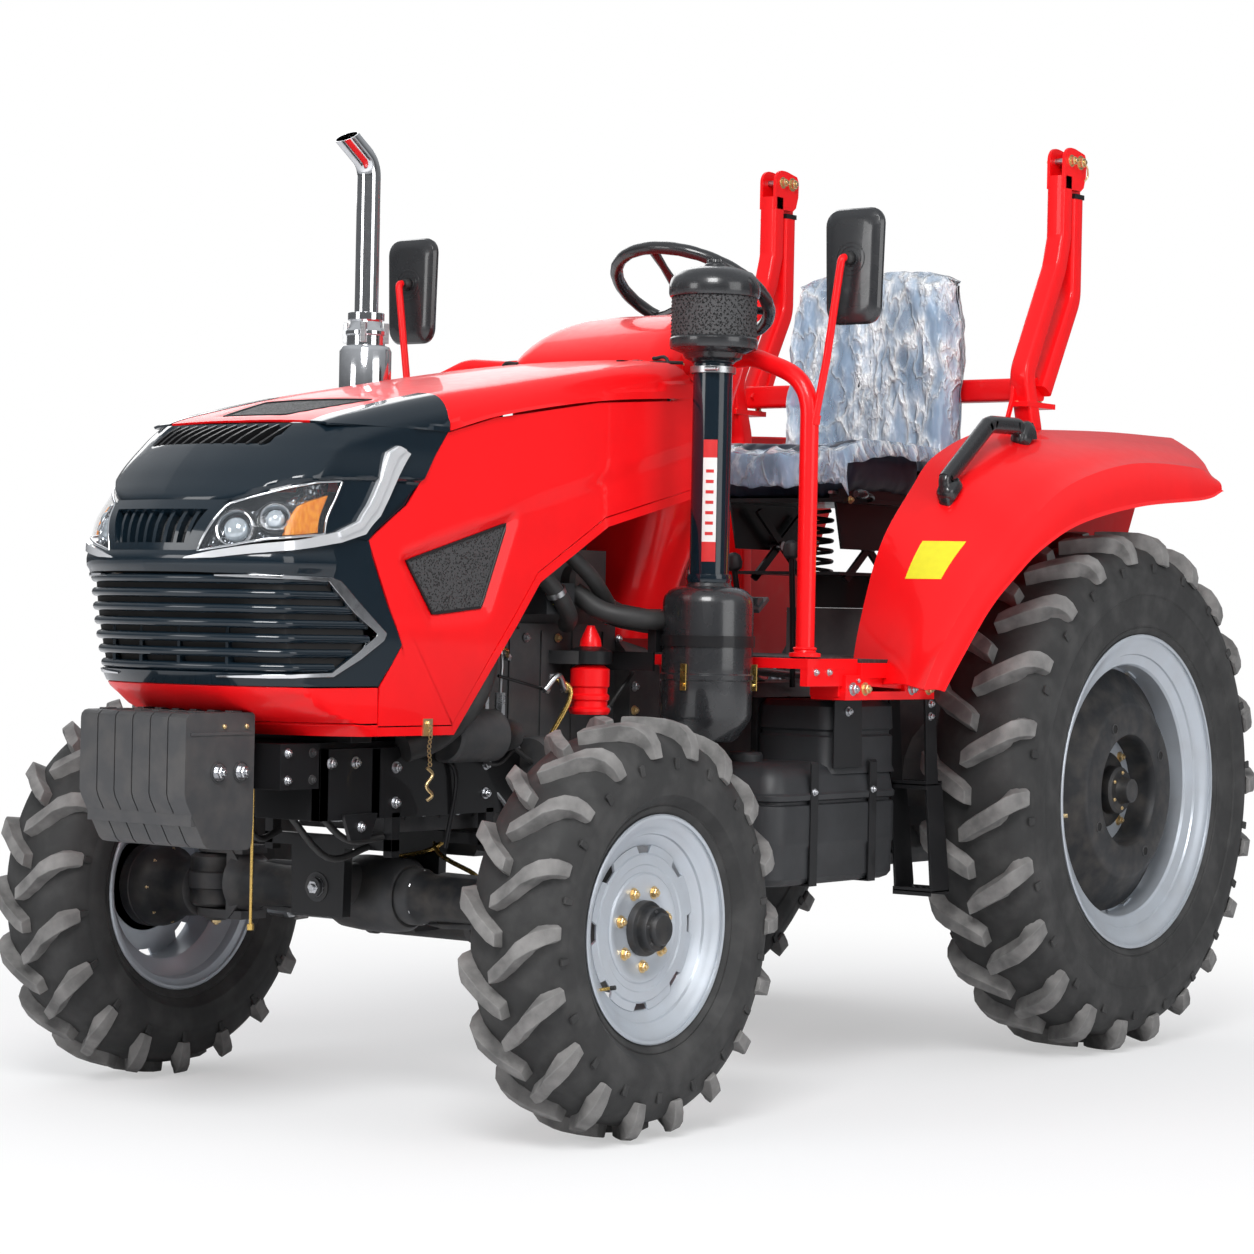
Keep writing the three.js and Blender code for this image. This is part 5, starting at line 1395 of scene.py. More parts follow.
def hood_top(context):
    shape = Shape("red_paint")
    rear = lambda g: -412 if abs(g) <= 190 else min(-328, -412 + (abs(g) - 190) * 84 / 78)
    split = [(-1153, 1366), (-1008, 1404), (-682, 1455), (-300, 1486)]
    rows = []
    fronts = [-185 + 370 * i / 36 for i in range(37)]
    count = 44
    for i in range(count + 1):
        share = -1 + 2 * i / count
        line = []
        for k in range(37):
            t = k / 36
            y = -1153 + t * (rear(share * 268) + 1153)
            limit = girth(y, blend_rows(split, y)[0] + 1.5) - 0.5
            line.append((share * limit, y))
        rows.append(line)
    patch_rows(shape, top_skin, rows, UP, 4.5, top_relief)
    tongue = [[(x, -1470 + 6 * abs(x) / 185 + t * 317 / 30) for t in range(31)] for x in fronts]
    patch_rows(shape, top_skin, tongue, UP, 4.5, top_relief)
    shape.use("mesh_black")
    well = [(a * 0.96, -1332 + (b + 1332) * 0.95) for a, b in TOP_MESH]
    patch(shape, top_skin, [well[0], well[3]], [well[1], well[2]], UP, rows=18, thick=1.5, lift=-3.5,
          columns=16)
    shape.use("satin_black")
    ring = evenly(well + well[:1], 41)[:-1]
    shape.pipe([top_skin(a, b) - Vector((0, 0, 3)) for a, b in ring], 2.4, ring=True)
    shape.use("satin_black")
    for s in (1, -1):
        shape.block((s * 160 - 8, -462, 1550), (s * 160 + 8, -402, 1563))
        shape.turned([(5.6, -8), (9, -8), (9, 8), (5.6, 8)], (s * 160, -402, 1559), LEFT, 20)
    # A dark rubber seal lies under the rear edge and curls over the shoulders.
    edge = []
    for k in range(41):
        g = -250 + 500 * k / 40
        edge.append(top_skin(g, rear(g) - 4) - Vector((0, 0, 3.5)))
    shape.use("black_hose").pipe(edge, 4.0)
    piece("hood_top_panel", shape, "hood", "hood_top", bevel=0.8)


CAP_LOW = [(0, 1207), (105, 1208), (150, 1211), (200, 1228), (245, 1245)]
VENT = [(-152, 1326), (152, 1326), (160, 1362), (-160, 1362)]


def cap_relief(q, z):
    lip = 6.0 * ease(z, 1200, 1236) * (1 - ease(z, 1262, 1330))
    under = -9.0 * (1 - ease(z, blend_rows([(0, 1207), (150, 1211), (245, 1245), (600, 1262)], abs(q))[0],
                          blend_rows([(0, 1217), (150, 1221), (245, 1255), (600, 1272)], abs(q))[0]))
    vent = -15.0 * ease(inside_depth(VENT, q, z), -3, 3)
    return lip + under + vent


def nose_frame(context):
    shape = Shape("gloss_black")
    f = (0, -1, 0.2)
    # The cap bulges over the lamps and runs back to the side panels.
    for s in (1, -1):
        low = [(s * a, b) for a, b in CAP_LOW] + [(s * at_side(-1440, 1256)[0], 1256),
                                                  (s * at_side(-1320, 1256)[0], 1256),
                                                 (s * at_side(-1238, 1254)[0], 1254)]
        high = [(s * a, 1366) for a in (0, 105, 150, 200, 245)] + [(s * at_side(y, 1366)[0], 1366)
                for y in (-1360, -1250, -1155)]
        rows = []
        for k in range(31):
            t = k / 30
            line = [(a[0] + (b[0] - a[0]) * t, a[1] + (b[1] - a[1]) * t) for a,
                    b in zip(matched(low, 7), matched(high, 7))]
            reach = (at_side(-1238 + 83 * t, 1254 + 112 * t)[0] - 245) / (abs(line[-1][0]) - 245)
            rows.append([(q if abs(q) <= 245 else s * (245 + (abs(q) - 245) * reach), z) for q, z in line])
        patch_rows(shape, nose, rows, (s * 0.6, -1, 0.4), 6, cap_relief)
        # The flanks beside the hood's red tongue.
        rows = []
        for k in range(15):
            t = k / 14
            rows.append([(s * (188 + t * (girth(y, 1366) - 188)), y)
                         for y in [-1467 + 312 * i / 26 for i in range(27)]])
        patch_rows(shape, top_skin, rows, UP, 5, None)
        side = lambda y, z: (s * at_side(y, z)[0], z)
        lower = [(0, 1076), (s * 100, 1076), (s * 200, 1074), side(-1470, 1064)]
        upper = [(0, 1116), (s * 100, 1116), (s * 200, 1126), side(-1470, 1150)]
        patch(shape, nose, matched(lower, 8), matched(upper, 8), f, rows=8, thick=8,
              relief=lambda q, z: 7.0 * ease(z, 1074, 1090) * (1 - ease(z, 1104, 1122)))
        patch(shape, nose, matched([side(-1470, 1064), side(-1405, 1014), side(-1340, 966), side(-1340, 964),
                                    side(-1400, 930), side(-1478, 888)], 6),
              matched([side(-1470, 1150), side(-1374, 1143), side(-1290, 972), side(-1276, 944),
                       side(-1305, 905), side(-1340, 864)], 6),
              (s, -0.3, 0), rows=8, thick=6)
        patch(shape, nose, matched([(0, 864), (s * 120, 864), (s * 220, 864), side(-1340, 864)], 8),
              matched([(0, 888), (s * 120, 888), (s * 220, 888), side(-1478, 888)], 8), f, rows=4, thick=8)
        # Between the lamp's outer end and the red side panel.
        patch(shape, nose, matched([side(-1500, 1150), side(-1440, 1150), side(-1375, 1144)], 5),
              matched([side(-1446, 1258), side(-1340, 1258), side(-1240, 1256)], 5), (s, -0.3, 0), rows=10,
              thick=6)
        # Sheets set back behind the grille and the lamps are painted shade.
        shape.use("dark_inside")
        patch(shape, nose, matched([(0, 884), (s * 120, 884), (s * 220, 884), side(-1350, 900)], 6),
              matched([(0, 1080), (s * 120, 1080), (s * 220, 1080), side(-1400, 1060)], 6), f, rows=10,
              thick=4, lift=-22,
              relief=lambda q, z: 12 * ease(abs(q), 150, 270))
        patch(shape, nose, matched([(0, 1106), (s * 120, 1106), (s * 220, 1110), side(-1440, 1140)], 6),
              matched([(0, 1220), (s * 120, 1220), (s * 220, 1244), side(-1440, 1262)], 6), f, rows=8,
              thick=4, lift=-46)
        shape.use("gloss_black")
        # A dark lining closes the joint to the side panel.
        levels = (868, 965, 1062, 1145, 1217, 1362)
        fronts, backs = (-1400, -1330, -1400, -1440, -1440, -1400), (-1290, -1238, -1290, -1335, -1226, -1112)
        for k in range(5):
            patch(shape, nose, [side(fronts[k], levels[k]), side(backs[k], levels[k])],
                  [side(fronts[k + 1], levels[k + 1]), side(backs[k + 1], levels[k + 1])], f, rows=6, thick=3,
                  lift=-9, columns=9)
    # The small upper grille: a thick frame round mesh, with upright ribs.
    for lower, upper in (([(-113, 1113), (113, 1113)], [(-100, 1130), (100, 1130)]),
                         ([(-124, 1194), (124, 1194)], [(-150, 1212), (150, 1212)]),
                         ([(92, 1126), (120, 1196)], [(114, 1113), (150, 1209)]),
                         ([(-92, 1126), (-120, 1196)], [(-114, 1113), (-150, 1209)])):
        patch(shape, nose, lower, upper, f, rows=3, thick=26, lift=1, columns=14)
    for k in range(8):
        x = -87 + 174 * k / 7
        patch(shape, nose, [(x - 4, 1124), (x * 1.12 - 4, 1200)], [(x + 4, 1124), (x * 1.12 + 4, 1200)], f,
              rows=2, thick=16,
              lift=-7, columns=6)
    shape.use("mesh_black")
    patch(shape, nose, [(-106, 1118), (106, 1118)], [(-130, 1204), (130, 1204)], f, rows=8, thick=2, lift=-24,
          columns=16)
    # Slanted slats stand in the cap's vent.
    shape.use("satin_black")
    for k in range(12):
        x = -146 + 292 * k / 11
        ring = []
        for z in (1324, 1338, 1352, 1364):
            spot = nose(x + (z - 1344) * 0.5, z)
            ring.append([spot + Vector((-3, 4, -13)), spot + Vector((3, 4, -13)),
                         spot + Vector((7, -1, -0.5)),
                         spot + Vector((1, -1, -0.5))])
        shape.loft(ring)
    shape.use("mesh_black")
    patch(shape, nose, [(-146, 1330), (146, 1330)], [(-150, 1358), (150, 1358)], (0, -0.5, 1), rows=3,
          thick=1.5, lift=-13, columns=20)
    # Bright trim: a strip under each lamp that turns up into a two-faced blade.
    shape.use("bright_trim")
    for s in (1, -1):
        side = lambda y, z: (s * at_side(y, z)[0], z)
        lower = [(s * 92, 1101), (s * 150, 1103), (s * 215, 1112), side(-1540, 1126), side(-1460, 1138),
                 side(-1392, 1156),
                 side(-1352, 1192), side(-1312, 1256), side(-1270, 1316)]
        upper = [(s * 96, 1104), (s * 150, 1116), (s * 215, 1128), side(-1544, 1144), side(-1470, 1158),
                 side(-1412, 1180),
                 side(-1386, 1212), side(-1356, 1262), side(-1306, 1330)]
        patch(shape, nose, matched(lower, 5), matched(upper, 5), (s, -1, 0), rows=2, thick=16, lift=9)
        ridge = [((a[0] + b[0]) / 2, (a[1] + b[1]) / 2) for a, b in zip(lower, upper)]
        patch(shape, nose, matched([(r[0], r[1]) for r in ridge[4:]], 5),
              matched([(u[0] * 0.9 + r[0] * 0.1, u[1] * 0.9 + r[1] * 0.1) for r,
                       u in zip(ridge[4:], upper[4:])], 5),
              (s, -1, 0), rows=2, thick=10, lift=13)
    piece("nose_frame_shell", shape, "hood", "nose_frame", bevel=1.2)


def chin(context):
    shape = Shape("red_paint")
    ends = lambda z: at_side(-1340, z)[0]
    for low, high, lift in ((792, 861, 0.0), (767, 789, 2.0)):
        rows = []
        for i in range(9):
            z = low + (high - low) * i / 8
            rows.append([(ends(z) * k / 30, z) for k in range(-30, 31)])
        relief = lambda q, z: -7.0 * max(0.0, 1 - hypot((abs(q) - 236) / 30, (z - 836) / 18)) - 1
        patch_rows(shape, nose, rows, (0, -1, -0.2), 5, relief, lift)
    piece("hood_chin_lip", shape, "hood", "hood_chin", bevel=1.0)


def grille(context, bars):
    shape = Shape("gloss_black")
    oval = [(9 * cos(2 * pi * k / 12), 9.5 * sin(2 * pi * k / 12)) for k in range(12)]
    for i in range(bars):
        z = 899 + (1064 - 899) * i / (bars - 1)
        if z <= 965:
            y = -1480 + 135 * (z - 888) / 77
        else:
            y = -1345 - 129 * (z - 965) / 97
        end = at_side(y, z)[0]
        rings = []
        for k in range(-26, 27):
            q = end * k / 26
            spot = nose(q, z)
            n = facing(nose, q, z, (copysign(0.5, q) if q else 0, -1, 0))
            n.z = 0
            n.normalize()
            rings.append([spot - n * (11 - v) + Vector((0, 0, u)) for u, v in oval])
        shape.loft(rings)
    for x in (-150, -50, 50, 150):
        shape.block((x - 4, foremost(960, x) + 20, 892), (x + 4, foremost(960, x) + 40, 1072))
    shape.use("chrome")
    for s in (1, -1):
        side = lambda y, z: (s * at_side(y, z)[0], z)
        outer = [(s * 150, 1072), (s * 220, 1073), side(-1480, 1071), side(-1452, 1064), side(-1392, 1018),
                 side(-1322, 966),
                 side(-1330, 952), side(-1395, 915), side(-1470, 882), (s * 220, 880), (s * 130, 880)]
        inner = [(s * 150, 1069), (s * 220, 1067), side(-1488, 1063), side(-1472, 1050), side(-1414, 1004),
                 side(-1350, 966),
                 side(-1352, 960), side(-1405, 927), side(-1474, 890), (s * 220, 887), (s * 130, 883)]
        patch(shape, nose, matched(inner, 4), matched(outer, 4), (s, -1, 0), rows=2, thick=12, lift=4)
    piece("grille_bars", shape, "hood", "grille", bevel=0.8)


def headlamp(context, name, s):
    side = lambda y, z: at_side(y, z)
    low = [(116, 1115), (180, 1127), (235, 1140), side(-1560, 1147), side(-1500, 1152)]
    high = [(151, 1205), (200, 1224), (240, 1240), side(-1520, 1250), side(-1452, 1255)]
    f = (0.3, -1, 0)
    shape = Shape("clear_lens")
    patch(shape, nose, matched(low, 8), matched(high, 8), f, rows=12, thick=3, lift=-1)
    shape.use("reflector")
    share = lambda t: [(a[0] + (b[0] - a[0]) * t, a[1] + (b[1] - a[1]) * t) for a, b in zip(low, high)]
    patch(shape, nose, matched(share(0.02), 8), matched(share(0.98), 8), f, rows=8, thick=3, lift=-34,
          relief=lambda q, z: 4 * sin(q * 0.16) + 3 * cos(z * 0.2))
    for q, z, r in ((176, 1163, 33), (236, 1188, 25)):
        n = facing(nose, q, z, f)
        at = nose(q, z) - n * 30
        # A ring of painted shade sits round each bulb's collar.
        shape.use("dark_inside").turned([(r + 2, 0), (r + 9, 0), (r + 9, 12), (r + 2, 12)], at, n, 32)
        shape.use("chrome").turned([(r - 3, 0), (r + 3, 0), (r + 5, 15), (r + 3, 18), (r, 17), (r - 3, 5)],
                                   at, n, 32)
        shape.use("lamp_bulb").knob([(r * 0.72, 2), (r * 0.72, 9), (r * 0.6, 16), (r * 0.4, 20),
                                     (r * 0.2, 22)], at, n, 32)
    shape.use("amber")
    patch(shape, nose, matched([side(-1602, 1148), side(-1560, 1150), side(-1512, 1155)], 6),
          matched([side(-1570, 1204), side(-1532, 1214), side(-1486, 1226)], 6), f, rows=6, thick=10, lift=-6)
    shape.use("chrome")
    rim = low + list(reversed(high))
    line = [nose(a, b) for a, b in evenly(rim + rim[:1], 73)[:-1]]
    shape.pipe(line, 2.6, ring=True)
    piece("headlamp_" + name + "_unit", shape.mirrored(s), "hood", "headlamp_" + name, bevel=0.5)


# ---- cowl and steering wheel ----

COWL_RINGS = [(960.3, -400, -240, 150), (1100, -392, -206, 184), (1240, -384, -170, 215),
              (1480, -384, -100, 232),
              (1562, -384, -60, 232), (1600, -356, -42, 224), (1640, -300, -24, 208), (1668, -236, -10, 190),
              (1686, -176, -2, 168), (1696, -110, 0, 140)]


def cowl(context):
    shape = Shape("red_paint")
    rings = []
    for i in range(41):
        z = 961 + (1696 - 961) * (i / 40) ** 0.85
        front, rear, half = blend_rows(COWL_RINGS, z)
        loop = rectangle(2 * half, rear - front, min(62, half * 0.4), 7)
        rings.append([(x, (front + rear) / 2 + y, z) for x, y in loop])
    shape.loft(rings)
    shape.use("black_plastic").sheet(
        [[(x, -26 + 40 * t + 0.0009 * x * x, 1652 + 26 * sin(t * 1.5) - 0.0012 * x * x)
          for x in range(-150, 151, 20)]
         for t in (0, 0.25, 0.5, 0.75, 1)], 26, lambda p: (0, 0.3, -1))
    shape.use("dark_inside").knob([(44, 0), (48, 3), (48, 14), (40, 16)], (0, -16, 1662), (0, 0.55, 0.83), 36)
    shape.use("chrome").turned([(44, 14), (50, 12), (50, 19), (44, 19)], (0, -16, 1662), (0, 0.55, 0.83), 36)
    for x in (-100, 100):
        shape.use("black_plastic").knob([(14, 0), (15, 12), (12, 16)], (x, -12, 1660), (0, 0.55, 0.83), 20)
        shape.use("label_red").knob([(6, 14), (6, 18), (4, 20)], (x, -12, 1660), (0, 0.55, 0.83), 16)
    tilt = radians(28)
    along = Vector((0, sin(tilt), cos(tilt)))
    hub = Vector((0, 20, 1760))
    shape.use("black_plastic").turned([(15, -150), (34, -150), (36, -120), (30, -72), (26, -62), (15, -62)],
                                      hub, along, 28)
    shape.use("satin_black")
    for s in (1, -1):
        for dx in (-13, 13):
            shape.block((s * 160 + dx - 4, -402, 1550), (s * 160 + dx + 4, -354, 1564))
            shape.knob([(8, -4), (8, 4)], (s * 160 + dx, -402, 1559), LEFT, 20)
        shape.use("steel").bar((s * 160 - 17, -402, 1559), (s * 160 + 17, -402, 1559), 5)
        shape.use("satin_black")
        shape.block((s * 120 - 30, -300, 962), (s * 120 + 30, -272, 980))
        shape.bolt((s * 120, -286, 980), UP, 8, 7, True, "zinc")
    # A hose with a steel tip and a strap hang on the cowl's left side.
    shape.use("black_hose").pipe(curve_through([(232, -250, 1330), (250, -262, 1260), (252, -280, 1180),
                                                (244, -300, 1110)]), 8)
    shape.use("steel").knob([(9, 0), (9, 16), (6, 30)], (244, -300, 1112), (0, -0.2, -1), 16)
    shape.use("black_hose")
    for g in (-1, 1):
        shape.pipe(curve_through([(g * 226, -376, 1280), (g * 233, -380, 1420), (g * 233, -382, 1560),
                                  (g * 190, -380, 1572)]), 4)
    piece("dash_cowl_shell", shape, "chassis", "dash_cowl", bevel=1.0)
    wheel = Shape("smooth_plastic")
    rim_line = [hub + Vector((cos(a) * 184, sin(a) * 184 * cos(tilt), -sin(a) * 184 * sin(tilt)))
                for a in [2 * pi * k / 96 for k in range(96)]]
    swell = []
    for k in range(96):
        p, n = rim_line[k], rim_line[(k + 1) % 96]
        run = (n - p).normalized()
        out = (p - hub).normalized()
        up = out.cross(run).normalized()
        r = 14.4 + 0.8 * abs(cos(k * pi / 4))
        swell.append([p + out * r * cos(a) + up * r * sin(a) for a in [2 * pi * j / 14 for j in range(14)]])
    wheel.loft(swell, ring=True)
    wheel.turned([(10, -50), (34, -50), (38, -30), (36, -16), (28, -8), (10, -6)], hub, along, 36)
    wheel.use("gloss_black").knob([(27, -10), (25, -3), (12, 0)], hub, along, 32)
    wheel.use("smooth_plastic")
    for a in (90, 210, 330):
        t = radians(a)
        out = Vector((cos(t), -sin(t) * cos(tilt), sin(t) * sin(tilt)))
        side = along.cross(out).normalized()
        rings = []
        for r, w, h, drop in ((24, 20, 9, -26), (70, 14, 7, -22), (120, 11, 6, -12), (172, 14, 8, -2)):
            c = hub + out * r + along * drop
            rings.append([c + side * w * cos(j * pi / 6) + along * h * sin(j * pi / 6) for j in range(12)])
        wheel.loft(rings)
    wheel.use("steel").bar(hub + along * -132, hub + along * -40, 13)
    piece("steering_wheel_rim", wheel, "steering_wheel", "steering_wheel", bevel=0.6)


# ---- floor, steps, tank and battery box ----

def floor(context):
    shape = Shape("red_paint")
    notch = [(-172, -334), (-172, -222), (172, -222), (172, -334)]
    plan = [(-580, -332), *notch, (580, -332), (580, -140), (450, -140), (450, 240), (-450, 240),
            (-450, -140), (-580, -140)]
    shape.prism(plan, "xy", 905, 927)
    shape.use("floor_mat").prism([(x * 0.975, y * 0.975 if y < 0 else y - 6) for x, y in plan], "xy", 926,
                                 930)
    for s in (1, -1):
        side = Shape("red_paint")
        side.prism([(560, 868), (579.4, 868), (579.4, 926), (560, 926)], "xz", -331, -141)
        side.prism([(-330, 904), (-330, 925), (-142, 925), (160, 878), (160, 855), (-142, 870)], "yz", 572,
                   578.6)
        side.use("floor_mat").prism([(450, -139), (582, -139), (582, 130), (500, 130), (450, 60)], "xy", 918,
                                    926)
        side.use("red_paint").prism([(450, -140), (590, -140), (590, 150), (450, 150)], "xy", 886, 918.4)
        for y0, y1 in ((-196, -100), (40, 158)):
            side.prism([(y0, 838), (y1, 838), (y1, 892), (y0, 892)], "yz", 500, 588)
            side.bolt((588, y0 + 26, 862), LEFT, 11, 10, True, "zinc")
            side.bolt((588, y1 - 22, 862), LEFT, 11, 10, True, "gold_zinc")
            side.bolt((588, (y0 + y1) / 2, 880), LEFT, 5, 4, False, "zinc")
        side.prism([(-200, 838), (160, 838), (160, 856), (-200, 856)], "yz", 500, 590)
        side.prism([(-204, 846), (-140, 846), (-140, 906), (-204, 906)], "yz", 500, 574)
        for y in (-300, -250):
            side.bolt((580, y, 898), LEFT, 6, 5, True, "zinc")
        shape.join(side, Matrix.Diagonal((s, 1, 1, 1)))
        shape.use("satin_black")
        for x, y in ((s * 250, -180), (s * 330, -190)):
            shape.pipe(curve_through([(x, y - 60, 932), (x, y - 30, 990), (x, y, 1030)]),
                       rectangle(16, 9, 3, 2))
            shape.use("black_plastic").prism([(y - 16, 1022), (y + 22, 1050), (y + 18, 1058), (y - 20, 1030)],
                                             "yz", x - 34, x + 34)
            for k in range(5):
                shape.block((x - 30 + k * 13, y - 14, 1038), (x - 24 + k * 13, y + 6, 1056))
            shape.use("satin_black")
        shape.use("red_paint")
    piece("floor_pressed", shape, "chassis", "floor", bevel=1.5)


def steps(context, name, s):
    shape = Shape("satin_black")
    for x in (500, 594):
        shape.prism([(108, 838), (150, 838), (168, 651), (186, 640), (224, 424), (224, 405), (150, 405),
                     (148, 430), (122, 640)],
                    "yz", x, x + 6)
    for z, y0, y1 in ((645, 118, 184), (405, 145, 225)):
        shape.block((500, y0, z), (600, y1, z + 4)).block((500, y0, z - 8), (600, y0 + 4, z + 10))
        shape.block((500, y1 - 4, z - 8), (600, y1, z + 10))
        for i in range(5):
            for k in range(3):
                x, y = 514 + i * 18, y0 + 15 + k * (y1 - y0 - 30) / 2
                shape.turned([(3, 3), (7, 3), (6, 8), (3.5, 8)], (x, y, z), UP, 12)
    for z in (828, 800):
        shape.bolt((600, 130, z), LEFT, 7, 6, True, "zinc")
    piece("step_" + name + "_welded", shape.mirrored(s), "chassis", "step_" + name, bevel=1.0)


def tank_half(low, high, corner):
    """A blow-moulded tank: rounded corners, a ledge with a groove under it, and chamfered shoulders."""
    (x0, y0, z0), (x1, y1, z1) = low, high
    cx, cy = (x0 + x1) / 2, (y0 + y1) / 2
    rings = []
    high_z = z1 - z0
    for share, inset in ((0, 22), (0.02, 10), (0.06, 3), (0.30, 3), (0.33, 0), (0.36, 0), (0.62, 0),
                         (0.655, 1),
                         (0.665, 8), (0.685, 8), (0.70, -1), (0.74, -2), (0.76, 3), (0.88, 8), (0.96, 22),
                         (1, 42)):
        loop = rectangle(x1 - x0 - 2 * inset, y1 - y0 - 2 * inset, max(corner - inset * 0.5, 10), 6)
        rings.append([(cx + x, cy + y, z0 + share * high_z) for x, y in loop])
    return rings


def tank(context):
    shape = Shape("black_plastic")
    shape.loft(tank_half((300, -390, 440), (547, 100, 702), 46))
    rings = []
    for share, inset in ((0, -4), (0.1, 0), (0.5, 0), (0.53, 5), (0.58, 5), (0.61, 0), (0.92, 2), (1, 12)):
        loop = rectangle(206 - 2 * inset, 274 - 2 * inset, 34, 6)
        rings.append([(434 + x, -40 + y, 676 + share * 158) for x, y in loop])
    shape.loft(rings)
    shape.use("satin_black").prism([(330, 690), (345, 690), (345, 837), (330, 837)], "xz", -180, 96)
    shape.prism([(-172, 690), (-60, 690), (-66, 836), (-172, 836)], "yz", 541, 545)
    shape.bolt((545, -120, 812), LEFT, 8, 7, True, "zinc")
    shape.block((168, -330, 560), (316, -310, 640)).block((168, -60, 560), (316, -40, 640))
    for y in (-250, -20):
        shape.prism([(298, 438), (550, 438), (550, 700), (546, 706), (546, 442), (302, 442), (302, 700),
                     (298, 700)], "xz", y - 14, y + 14)
        shape.bolt((549, y, 640), LEFT, 6, 5, True, "zinc")
    shape.use("black_plastic").knob([(34, 0), (38, 4), (38, 20), (34, 26)], (400, -300, 696), UP, 32)
    shape.use("black_hose").pipe(curve_through([(300, -280, 500), (262, -300, 520), (230, -340, 580),
                                                (200, -420, 640)]), 9)
    piece("fuel_tank_moulded", shape, "chassis", "fuel_tank", bevel=1.0)
    box = Shape("black_plastic")
    loop = lambda x, y, w, d, c, z: [(x + a, y + b, z) for a, b in rectangle(w, d, c, 4)]
    box.loft([loop(-425, -135, 222, 382, 14, 470), loop(-425, -135, 230, 390, 14, 476),
              loop(-425, -135, 230, 390, 14, 690)])
    box.loft([loop(-425, -135, 238, 398, 16, 682), loop(-425, -135, 244, 404, 16, 686),
              loop(-425, -135, 244, 404, 16, 700),
              loop(-425, -135, 226, 386, 16, 711)])
    for k in range(7):
        box.block((-544, -300 + k * 52, 500), (-538, -290 + k * 52, 664))
    box.use("satin_black").block((-320, -330, 560), (-168, -310, 640)).block((-320, 30, 560), (-168, 50, 640))
    box.prism([(-548, 700), (-302, 700), (-302, 716), (-548, 716)], "xz", -150, -122)
    box.use("zinc").bar((-552, -136, 520), (-552, -136, 716), 4)
    box.bolt((-552, -136, 716), UP, 8, 7, True, "zinc")
    box.use("black_hose").pipe(curve_through([(-330, -60, 712), (-280, -40, 760), (-200, -60, 740),
                                              (-170, -120, 680)]), 9)
    box.use("label_red").pipe(curve_through([(-330, -200, 712), (-270, -220, 752), (-200, -240, 720),
                                             (-172, -260, 660)]), 8)
    piece("battery_box_moulded", box, "chassis", "battery_box", bevel=1.2)


# ---- fenders, handles, rails and mirrors ----

FENDER = [
    (0, 10, 861, -110, 861, -62, 861), (1, 45, 1000, -55, 935, 5, 930), (2, 125, 1181, 75, 1062, 120, 1040),
    (3, 246, 1311, 208, 1152, 235, 1118), (4, 351, 1396, 330, 1238, 345, 1180),
          (5, 571, 1466, 510, 1330, 520, 1243),
    (6, 851, 1483, 800, 1391, 800, 1293), (7, 1175, 1496, 1120, 1397, 1120, 1322),
          (8, 1500, 1500, 1215, 1376, 1222, 1348)]


def fender_skin(u, v):
    """A place on the fender: u runs from foot to tail, v from the inner edge over the crease to the lip."""
    yi, zi, ys, zs, yl, zl = blend_rows(FENDER, max(0.0, min(8.0, u)))
    inner = Vector((461, yi, zi))
    crown = Vector((591, yi * 0.55 + ys * 0.45, zi * 0.55 + zs * 0.45 + 12))
    crease = Vector((729, ys + (yi - ys) * 0.03, zs + 4))
    lip = Vector((750, yl, zl))
    if v <= 1:
        a = inner.lerp(crown, v)
        b = crown + (crown - crease) * (1 - v) * 0.5
        return a.lerp(b, 0.12 * sin(pi * v))
    if v <= 2:
        t = v - 1
        a = crown.lerp(crease, t)
        return a + Vector((0, 0, 5 * sin(pi * t)))
    t = v - 2
    return crease.lerp(lip, t) + Vector((7 * sin(pi * t), 0, 3 * sin(pi * t)))


def fender_out(u, v):
    """The fender's outward direction at a place."""
    n = (fender_skin(u + 0.05, v) - fender_skin(u - 0.05, v)).cross(fender_skin(u, v + 0.03) - fender_skin(u,
            v - 0.03))
    n = n.normalized() if n.length > 1e-6 else Vector(UP)
    return -n if n.z < -0.05 or (abs(n.z) <= 0.05 and n.y > 0) else n


def fender_level(v, z):
    """How far up the fender's front a line along it reaches a height."""
    low, high = 1.0, 3.5
    for _ in range(20):
        mid = (low + high) / 2
        low, high = (mid, high) if fender_skin(mid, v).z < z else (low, mid)
    return low


